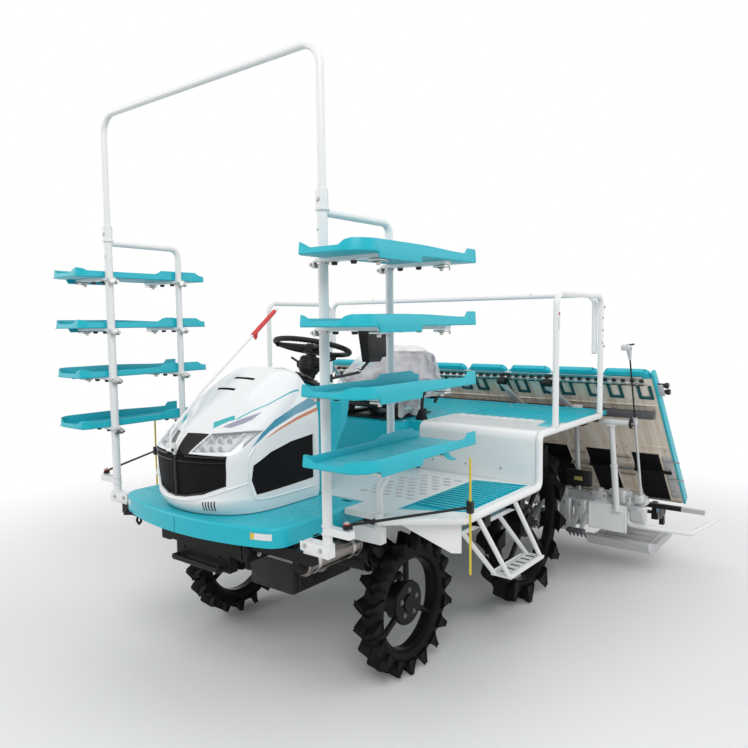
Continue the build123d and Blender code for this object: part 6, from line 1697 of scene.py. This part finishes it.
for side in SIDES:
    foot, head = at(side * 1.034, 1.592, 0.47), at(side * 1.026, 1.5, 1.02)
    add_rod(post_bm, foot, foot.lerp(head, 0.52), 0.0195, sides=28)
    add_rod(post_bm, foot.lerp(head, 0.51), head, 0.0168, sides=28)
    add_rod(post_bm, foot.lerp(head, 0.5), foot.lerp(head, 0.53), 0.0218, sides=28)
    add_block(post_bm, at(side * 1.004, 1.575, 0.462), at(side * 1.064, 1.662, 0.48), 0.004)
    add_stub(post_bm, at(side * 0.97, 1.5, 1.025), (side * 0.166, 0, 0), 0.0172, sides=28)
    add_block(post_bm, at(side * 1.0, 1.484, 0.998), at(side * 1.052, 1.52, 1.012), 0.003)
    # bracket plate that ties the channel to the table arms
    add_block(post_bm, at(side * 0.745, 1.5925, 1.063), at(side * 0.812, 1.5995, 1.103), 0.002)
    add_stub(dark_bm, at(side * 1.136, 1.5, 1.025), (side * 0.0148, 0, 0), 0.0316, sides=32)
    foot, head = [at(side * x, y, z) for x, y, z in MARKER_ROD]
    add_rod(dark_bm, foot.lerp(head, 0.51), foot.lerp(head, 0.95), 0.0046, 0.0046, 14)
    # control box with a blank label plate, and the lever on the marker head
    add_block(dark_bm, at(side * 0.7, 1.62, 0.58), at(side * 0.86, 1.66, 0.68), 0.008)
    add_bead(dark_bm, [at(side * 1.146, 1.366, 1.484), at(side * 1.18, 1.394, 1.49)], 0.005)
    for head_x in (0.323, 0.632):
        add_rod(dark_bm, at(side * head_x - 0.028, 1.468, 1.239), at(side * head_x + 0.028, 1.468, 1.239),
                0.0215, sides=32)
new_piece("planter_posts", post_bm, plain_steel, "planter")
new_piece("planter_dark_parts", dark_bm, black_plastic, "planter")
rod_bm = bmesh.new()
for side in SIDES:
    foot, head = [at(side * x, y, z) for x, y, z in MARKER_ROD]
    add_rod(rod_bm, foot.lerp(head, 0.5), foot.lerp(head, 0.545), 0.0135, sides=20)
    add_rod(rod_bm, foot, foot.lerp(head, 0.52), 0.0074, 0.0074, 16)
    add_rod(rod_bm, foot.lerp(head, 0.92), head - Vector((0, 0, 0.012)), 0.007, 0.016, 20)
    add_block(rod_bm, at(side * 1.119, 1.357, 1.455), at(side * 1.169, 1.391, 1.4875), 0.006, 3)
    add_bolt(rod_bm, at(side * 1.17, 1.374, 1.47), (side, 0, 0), 0.006)
new_piece("marker_linkage", rod_bm, planter_grey, "planter")
blank_bm, box_bm = bmesh.new(), bmesh.new()
for side in SIDES:
    add_block(blank_bm, at(side * 0.755, 1.6185, 0.618), at(side * 0.808, 1.6205, 0.642), 0.0006)
    # black relay box under the rear deck
    add_block(box_bm, at(side * 0.72, 1.38, 1.0), at(side * 0.9, 1.462, 1.062), 0.008)
new_piece("planter_blank_labels", blank_bm, finish("dull yellow label", (0.36, 0.33, 0.1), 0.5, dust=0.1),
          "planter")
new_piece("relay_boxes", box_bm, black_plastic, "chassis")
channel_grey = finish("dark grey steel channel", (0.075, 0.075, 0.085), 0.5, metallic=0.2, dust=0.0)
channel_bm = bmesh.new()
add_block(channel_bm, at(-1.2345, 1.5985, 1.0405), at(1.2345, 1.6515, 1.0865), 0.003)
new_piece("table_channel", channel_bm, channel_grey, "planter")
bottom_bm = bmesh.new()
add_block(bottom_bm, at(-1.25, 2.227, 0.349), at(1.25, 2.263, 0.379), 0.003)
new_piece("bottom_rail", bottom_bm, frame_black, "planter")
cover_bm = bmesh.new()
for side in SIDES:
    for z in (0.34, 0.488):
        add_block(cover_bm, at(side * 0.862, 1.5945, z), at(side * 1.086, 1.599, z + 0.008), 0.0015)
    for x in (0.862, 1.08):
        add_block(cover_bm, at(side * x, 1.5945, 0.34), at(side * (x + 0.006), 1.599, 0.496), 0.0015)
new_piece("cover_rims", cover_bm, white_tube, "planter")
comb_bm = bmesh.new()
for x_low, x_high in ((-0.873, -0.765), (-0.56, -0.235), (0.235, 0.56), (0.765, 0.873)):
    teeth = round((x_high - x_low) / 0.026)
    add_block(comb_bm, at(x_low, 1.462, 0.326), at(x_high, 1.512, 0.346), 0.004)
    for tooth in range(teeth + 1):
        x = x_low + 0.005 + (x_high - x_low - 0.01) * tooth / teeth
        add_prism(comb_bm, [at(x - 0.0035, y, z) for y, z in (
            (1.47, 0.344), (1.5, 0.34), (1.531, 0.312), (1.54, 0.284), (1.526, 0.286), (1.508, 0.306),
            (1.47, 0.326))], Vector((0.007, 0, 0)), 0.0012)
new_piece("comb_teeth", comb_bm, channel_grey, "planter")

# ================================================================ seedling table
# Beige moulded table in eight lanes with a grain-like streak, turquoise lane dividers, side caps and
# rolled top ends, on a plated rail with black rollers. It slides from side to side.
TABLE_SHIFT, LANE_SHIFT, ROW_PITCH, HALF_SPAN = 0.057, 0.008, 0.3, 1.2
LANES = [(row - 3.5) * ROW_PITCH for row in range(8)]
TABLE_TOP, TABLE_END = (1.483, 1.29), (2.262, 0.402)
TABLE_RUN = hypot(TABLE_END[0] - TABLE_TOP[0], TABLE_END[1] - TABLE_TOP[1])
table_cos, table_sin = (TABLE_END[0] - TABLE_TOP[0]) / TABLE_RUN, (TABLE_TOP[1] - TABLE_END[1]) / TABLE_RUN
TABLE_FRAME = Matrix.Translation(at(TABLE_SHIFT, *TABLE_TOP)) @ Matrix((
    (1, 0, 0, 0), (0, table_cos, table_sin, 0), (0, -table_sin, table_cos, 0), (0, 0, 0, 1)))
beige = finish("streaked beige plastic", (0.56, 0.44, 0.31), 0.48, mottle=0.0, dust=0.04, specular=0.3)
beige_tree = beige.node_tree
streak_where = beige_tree.nodes.new("ShaderNodeVectorMath")
streak_where.operation = "MULTIPLY"
streak_where.inputs[1].default_value = (1.0, 0.045, 0.045)
beige_tree.links.new(beige_tree.nodes.new("ShaderNodeTexCoord").outputs["Object"], streak_where.inputs[0])
wide_streak = noise(beige_tree, streak_where.outputs[0], 24.0, 2.0)
fine_streak = noise(beige_tree, streak_where.outputs[0], 130.0, 3.0)
streak = math_node(beige_tree, "MULTIPLY", wide_streak, math_node(beige_tree, "ADD", fine_streak, 0.55))
streak = map_range(beige_tree, streak, From_Min=0.42, From_Max=0.78)
streaked = mix_colour(beige_tree, streak.outputs["Result"], (0.92, 0.85, 0.75, 1.0), (0.72, 0.6, 0.44, 1.0))
beige_tree.links.new(streaked, beige_tree.nodes["Principled BSDF"].inputs["Base Color"])
dress(beige, "table_panel")


def table_piece(name, bm, material):
    """Piece drawn in the table's own frame: x across, y down its slope and z out of its face."""
    bmesh.ops.transform(bm, verts=bm.verts, matrix=TABLE_FRAME)
    return new_piece(name, bm, material, "seedling_table")


lane_bm = bmesh.new()
for edge in range(1, 8):
    x = (edge - 4) * ROW_PITCH
    add_block(lane_bm, (x - 0.008, 0.0, 0.013), (x + 0.008, TABLE_RUN, 0.044), 0.005, 3)
for side in SIDES:
    add_prism(lane_bm, [Vector((side * HALF_SPAN, y, z)) for y, z in (
        (TABLE_RUN, -0.006), (TABLE_RUN, 0.056), (0.03, 0.056), (-0.02, 0.051), (-0.04, 0.036),
        (-0.048, 0.012), (-0.04, -0.006))], Vector((side * 0.014, 0, 0)), 0.004)
    add_bead(lane_bm, [Vector((side * (HALF_SPAN + 0.0115), y, z)) for y, z in (
        (0.82, -0.003), (-0.036, -0.003), (-0.044, 0.012), (-0.037, 0.034), (-0.018, 0.047), (0.03, 0.052),
        (1.15, 0.052))], 0.0025)
for lane in LANES:
    x = lane + LANE_SHIFT
    add_prism(lane_bm, [Vector((x + dx, y, -0.002)) for dx, y in (
        (-0.137, 0.002), (-0.136, -0.016), (-0.128, -0.038), (-0.114, -0.05), (-0.1, -0.053), (0.1, -0.053),
        (0.114, -0.05), (0.128, -0.038), (0.136, -0.016), (0.137, 0.002))], Vector((0, 0, 0.034)), 0.009)
    add_block(lane_bm, (x - 0.112, -0.03, 0.026), (x + 0.112, 0.02, 0.036), 0.004, 3)
lanes = table_piece("lane_mouldings", lane_bm, teal_plastic)
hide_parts("seedling_table")
loop_bm = bmesh.new()
for lane in LANES:
    for dx in (-0.086, 0.086):
        x = lane + LANE_SHIFT + dx
        for low, high in (((-0.042, 0.056), (-0.024, 0.165)), ((0.024, 0.056), (0.042, 0.165)),
                          ((-0.042, 0.147), (0.042, 0.165))):
            add_block(loop_bm, (x + low[0], low[1], -0.01), (x + high[0], high[1], 0.0), 0.002)
deep_teal = finish("shaded turquoise brackets", (0.01, 0.105, 0.115), 0.45, dust=0.02, specular=0.25)
table_piece("table_brackets", loop_bm, deep_teal)
track_bm, roller_bm = bmesh.new(), bmesh.new()
add_block(track_bm, (-1.15, -0.022, -0.0125), (1.15, 0.014, -0.0035), 0.001)
add_rod(track_bm, (-1.152, 0.025, -0.011), (1.152, 0.025, -0.011), 0.0135, sides=28)
add_block(track_bm, (-1.185, 0.832, -0.019), (-1.15, 0.845, -0.0125), 0.001)
for station in range(45):
    x = -1.144 + 0.052 * station
    add_rod(roller_bm, (x - 0.011, 0.006, -0.0165), (x + 0.011, 0.006, -0.0165), 0.0085, sides=14)
    add_rod(track_bm, (x + 0.0255, 0.025, -0.0235), (x + 0.0255, 0.025, -0.0285), 0.005, sides=8)
add_rod(roller_bm, (-1.15, 0.047, -0.0075), (1.15, 0.047, -0.0075), 0.005, sides=12)
add_block(track_bm, (-1.19, 1.158, -0.0085), (1.19, 1.172, -0.0005), 0.001)
table_piece("table_track", track_bm, zinc)
table_piece("track_rollers", roller_bm, black_plastic)

# stiffening ribs, stays and screws on the back of the panel, and the belts' black openings
belt_black = finish("black ribbed feed belts", (0.005, 0.005, 0.006), 0.6, dust=0.01, specular=0.15)
dress(belt_black, "feed_belts")
rib_bm, stay_bm, belt_rib_bm = bmesh.new(), bmesh.new(), bmesh.new()
for x in LANES:
    for low, high in ((0.655, 0.668), (1.164, 1.174)):
        add_block(rib_bm, (x - 0.106, low, -0.007), (x + 0.078, high, 0.001), 0.002)
    for dx in (-0.106, 0.074):
        add_block(rib_bm, (x + dx, 0.655, -0.007), (x + dx + 0.005, 1.172, 0.001), 0.0015)
    for dy in (0.22, 0.6):
        add_block(rib_bm, (x - 0.146, dy, -0.0055), (x + 0.146, dy + 0.006, 0.001), 0.0015)
    edge_x = x + ROW_PITCH / 2
    if x < LANES[-1]:
        for y in (0.7, 0.8, 0.9, 1.0, 1.1):
            add_block(rib_bm, (edge_x - 0.052, y, -0.0055), (edge_x + 0.042, y + 0.005, 0.001), 0.0012)
        # bright sleeve on the feed shaft between two belts
        add_rod(stay_bm, (edge_x - 0.078, 0.838, -0.021), (edge_x + 0.05, 0.838, -0.021), 0.0118, sides=20)
    for y in (0.735, 0.915):
        add_rod(stay_bm, (x + 0.092, y, -0.011), (x + 0.192, y, -0.011), 0.005, sides=10)
    for dx, y in ((-0.12, 0.24), (0.12, 0.24), (-0.12, 0.62), (0.12, 0.62)):
        add_rod(stay_bm, (x + dx, y + 0.02, 0.0), (x + dx, y + 0.02, -0.0045), 0.0065, 0.005, 14)
    for cleat in range(20):
        add_block(belt_rib_bm, (x - 0.014 - 0.08, 0.7 + 0.0232 * cleat, 0.018),
                  (x - 0.014 + 0.08, 0.706 + 0.0232 * cleat, 0.0225), 0.001)
    for y in (0.695, 1.15):
        add_rod(belt_rib_bm, (x - 0.098, y, 0.008), (x + 0.07, y, 0.008), 0.0115, sides=20)
table_piece("table_ribs", rib_bm, beige)
table_piece("table_stays", stay_bm, zinc)
table_piece("belt_cleats", belt_rib_bm, belt_black)
adjust_bm, knob_bm = bmesh.new(), bmesh.new()
for side in SIDES:
    x = side * 1.165
    add_block(adjust_bm, (x - 0.028, 0.7, -0.008), (x + 0.028, 1.12, 0.0), 0.002)
    for y in (0.72, 0.78, 0.84, 0.9, 0.96, 1.02, 1.08):
        add_rod(adjust_bm, (x + 0.012, y, -0.008), (x + 0.012, y, -0.013), 0.007, sides=12)
        add_block(adjust_bm, (x - 0.022, y - 0.01, -0.012), (x - 0.004, y + 0.01, -0.007), 0.0015)
    # latch knob and its plate, which stand out of the side cap
    add_block(adjust_bm, (side * 1.212, 0.06, 0.01), (side * 1.246, 0.15, 0.016), 0.002)
    for y in (0.078, 0.13):
        add_rod(knob_bm, (side * 1.213, y, 0.028), (side * 1.252, y, 0.028), 0.0125, 0.0115, 24)
        add_rod(knob_bm, (side * 1.252, y, 0.028), (side * 1.272, y, 0.028), 0.017, 0.016, 24)
table_piece("feed_adjusters", adjust_bm, planter_grey)
table_piece("latch_knobs", knob_bm, black_plastic)

# ================================================================ planting rotors
# Glass-filled black rotor arms with steel fingers that pluck the seedlings, two to each rotor, and
# blue plastic covers over their cams.
rotor_black = finish("black rotor castings", (0.008, 0.008, 0.01), 0.38, grain=260.0, dust=0.03, specular=0.3)
dress(rotor_black, "planting_rotors")
rotor_blue = finish("blue cam covers", (0.06, 0.19, 0.33), 0.35, dust=0.03)
boss_plate_bm, tip_bm, finger_bm = bmesh.new(), bmesh.new(), bmesh.new()
for x in LANES:
    for face in SIDES:
        add_stub(boss_plate_bm, at(x + face * 0.0195, ROTOR_Y, ROTOR_Z), (face * 0.003, 0, 0), 0.033, 0.03,
                 28)
        for end in SIDES:
            spot = at(x + face * 0.0195, ROTOR_Y + end * 0.082, ROTOR_Z)
            add_rod(boss_plate_bm, spot, spot + Vector((face * 0.003, 0, 0)), 0.02, 0.018, 24)
    for end in SIDES:
        add_block(tip_bm, at(x - 0.0165, ROTOR_Y + end * 0.074, ROTOR_Z - end * 0.004),
                  at(x + 0.0165, ROTOR_Y + end * 0.107, ROTOR_Z - end * 0.062), 0.004)
        for dx in (-0.01, 0.01):
            root = at(x + dx, ROTOR_Y + end * 0.09, ROTOR_Z - end * 0.066)
            add_rod(finger_bm, root, root + Vector((0, -end * 0.006, -end * 0.0355)), 0.0032, 0.0014, 8)
new_piece("rotor_bosses", boss_plate_bm, rotor_black, "planting_rotors")
new_piece("rotor_covers", tip_bm, rotor_blue, "planting_rotors")
new_piece("planting_fingers", finger_bm, zinc, "planting_rotors")

# ================================================================ floats
# Blow-moulded light grey floats that skim the mud under the planting cases, with an upturned nose,
# a flat top with ribs, and plated hinge ears.
float_grey = finish("light grey float plastic", (0.5, 0.51, 0.53), 0.42, grain=500.0, mottle=0.12, dust=0.08)
dress(float_grey, "centre_float", "side_floats")
for label, pontoons in (("centre_float", ((-0.2, 0.2, 1.56), (-0.56, -0.19, 1.88), (0.19, 0.56, 1.88))),
                        ("side_floats", ((-1.19, -0.8, 1.7), (0.8, 1.19, 1.7)))):
    float_bm = bmesh.new()
    for low_x, high_x, nose in pontoons:
        inner_low, inner_high = low_x + 0.03, high_x - 0.03
        # raised second tier, and sides that bulge out over the mud
        add_block(float_bm, at(low_x + 0.018, nose + 0.165, 0.198), at(high_x - 0.018, 2.226, 0.214), 0.007,
                  3)
        # moulded ledge that runs round the top, its cross ribs and the nose's lip
        for x in (inner_low, inner_high - 0.012):
            add_block(float_bm, at(x, nose + 0.19, 0.21), at(x + 0.012, 2.222, 0.222), 0.003)
        for rib in range(4):
            y = nose + 0.2 + (2.205 - nose - 0.2) * rib / 3
            add_block(float_bm, at(inner_low, y, 0.21), at(inner_high, y + 0.012, 0.221), 0.003)
        add_bead(float_bm, [at(low_x + 0.004, nose + 0.004, 0.25), at(high_x - 0.004, nose + 0.004, 0.25)],
                 0.005)
        for x in (low_x + 0.002, high_x - 0.002):
            add_bead(float_bm, [at(x, nose + 0.006, 0.25), at(x, nose + 0.052, 0.194),
                                at(x, nose + 0.15, 0.17), at(x, 2.226, 0.1735)], 0.003)
        for x in (low_x + 0.003, high_x - 0.003):
            add_bead(float_bm, [at(x, nose + 0.09, 0.196), at(x, nose + 0.17, 0.187), at(x, 2.222, 0.187)],
                     0.0105, 12)
    new_piece(f"{label}_mouldings", float_bm, float_grey, label)

# ================================================================ floor, light and camera
# A pale seamless floor under a large soft key light, a fill and a bright plain world.
# The camera stands off the front left corner at an adult's eye height.
FLOOR_HALF = 14.0
floor_bm = bmesh.new()
bmesh.ops.create_grid(floor_bm, x_segments=1, y_segments=1, size=FLOOR_HALF)
floor_mesh = bpy.data.meshes.new("studio_floor")
floor_bm.to_mesh(floor_mesh)
floor_bm.free()
studio_floor = bpy.data.objects.new("studio_floor", floor_mesh)
bpy.context.collection.objects.link(studio_floor)
floor_paint, floor_tree, floor_shader = new_material("pale studio floor", Base_Color=(0.86, 0.86, 0.86, 1.0),
                                                     Roughness=0.95, Specular_IOR_Level=0.1)
# the floor fades into the white background away from the machine
FADE_START, FADE_END = 2.2, 4.6
floor_where = floor_tree.nodes.new("ShaderNodeTexCoord").outputs["Object"]
distance = floor_tree.nodes.new("ShaderNodeVectorMath")
distance.operation = "LENGTH"
floor_tree.links.new(floor_where, distance.inputs[0])
fade = map_range(floor_tree, distance.outputs["Value"], From_Min=FADE_START, From_Max=FADE_END)
fade.interpolation_type = "SMOOTHSTEP"


def mix_surface(tree, share, first, second, output):
    """Two shaders mixed by a share and sent to the output's surface."""
    node = tree.nodes.new("ShaderNodeMixShader")
    for socket, value in zip(node.inputs, (share, first, second)):
        tree.links.new(value, socket)
    tree.links.new(node.outputs[0], tree.nodes[output].inputs["Surface"])


see_through = floor_tree.nodes.new("ShaderNodeBsdfTransparent")
mix_surface(floor_tree, fade.outputs["Result"], floor_shader.outputs[0], see_through.outputs[0],
            "Material Output")
studio_floor.data.materials.append(floor_paint)

world = bpy.data.worlds.new("studio")
bpy.context.scene.world = world
world.use_nodes = True
world_tree = world.node_tree
sky_light = world_tree.nodes["Background"]
seen_white = world_tree.nodes.new("ShaderNodeBackground")
for background, strength in ((sky_light, 0.55), (seen_white, 1.0)):
    set_inputs(background, Color=(1.0, 1.0, 1.0, 1.0), Strength=strength)
ray = world_tree.nodes.new("ShaderNodeLightPath")
seen_or_glossy = math_node(world_tree, "MAXIMUM", ray.outputs["Is Camera Ray"], ray.outputs["Is Glossy Ray"])
seen = math_node(world_tree, "MAXIMUM", seen_or_glossy, ray.outputs["Is Transmission Ray"])
mix_surface(world_tree, seen, sky_light.outputs[0], seen_white.outputs[0], "World Output")

LAMPS = (
    # name, place, aim, width, power
    ("key", (3.5, -5.0, 5.5), (0.0, 0.0, 0.9), 4.0, 195.0),
    ("fill", (5.5, 2.5, 3.2), (0.3, 0.4, 0.9), 4.0, 70.0),
    ("left_front", (-4.5, -4.0, 3.5), (0.0, -0.3, 0.9), 4.0, 65.0),
    ("overhead", (0.0, 0.5, 6.5), (0.0, 0.3, 0.0), 5.0, 65.0))
for name, spot, aim, width, power in LAMPS:
    lamp = bpy.data.lights.new(name, "AREA")
    lamp.shape = "DISK"
    lamp.size = width
    lamp.energy = power
    lamp_object = bpy.data.objects.new(name, lamp)
    lamp_object.location = spot
    lamp_object.rotation_euler = (Vector(aim) - Vector(spot)).to_track_quat("-Z", "Y").to_euler()
    bpy.context.collection.objects.link(lamp_object)

EYE = at(2.385, -2.523, 1.63)
EYE_YAW, EYE_PITCH, EYE_ROLL = 0.663, -0.076, -0.011
camera_data = bpy.data.cameras.new("camera")
camera_data.lens = 32.81
camera_data.sensor_width = 36.0
camera_data.clip_end = 60.0
camera = bpy.data.objects.new("camera", camera_data)
camera.matrix_world = (Matrix.Translation(EYE) @ Matrix.Rotation(EYE_YAW, 4, "Z")
                       @ Matrix.Rotation(pi / 2 + EYE_PITCH, 4, "X") @ Matrix.Rotation(EYE_ROLL, 4, "Z"))
bpy.context.collection.objects.link(camera)
bpy.context.scene.camera = camera
bpy.context.scene.view_settings.view_transform = "Standard"
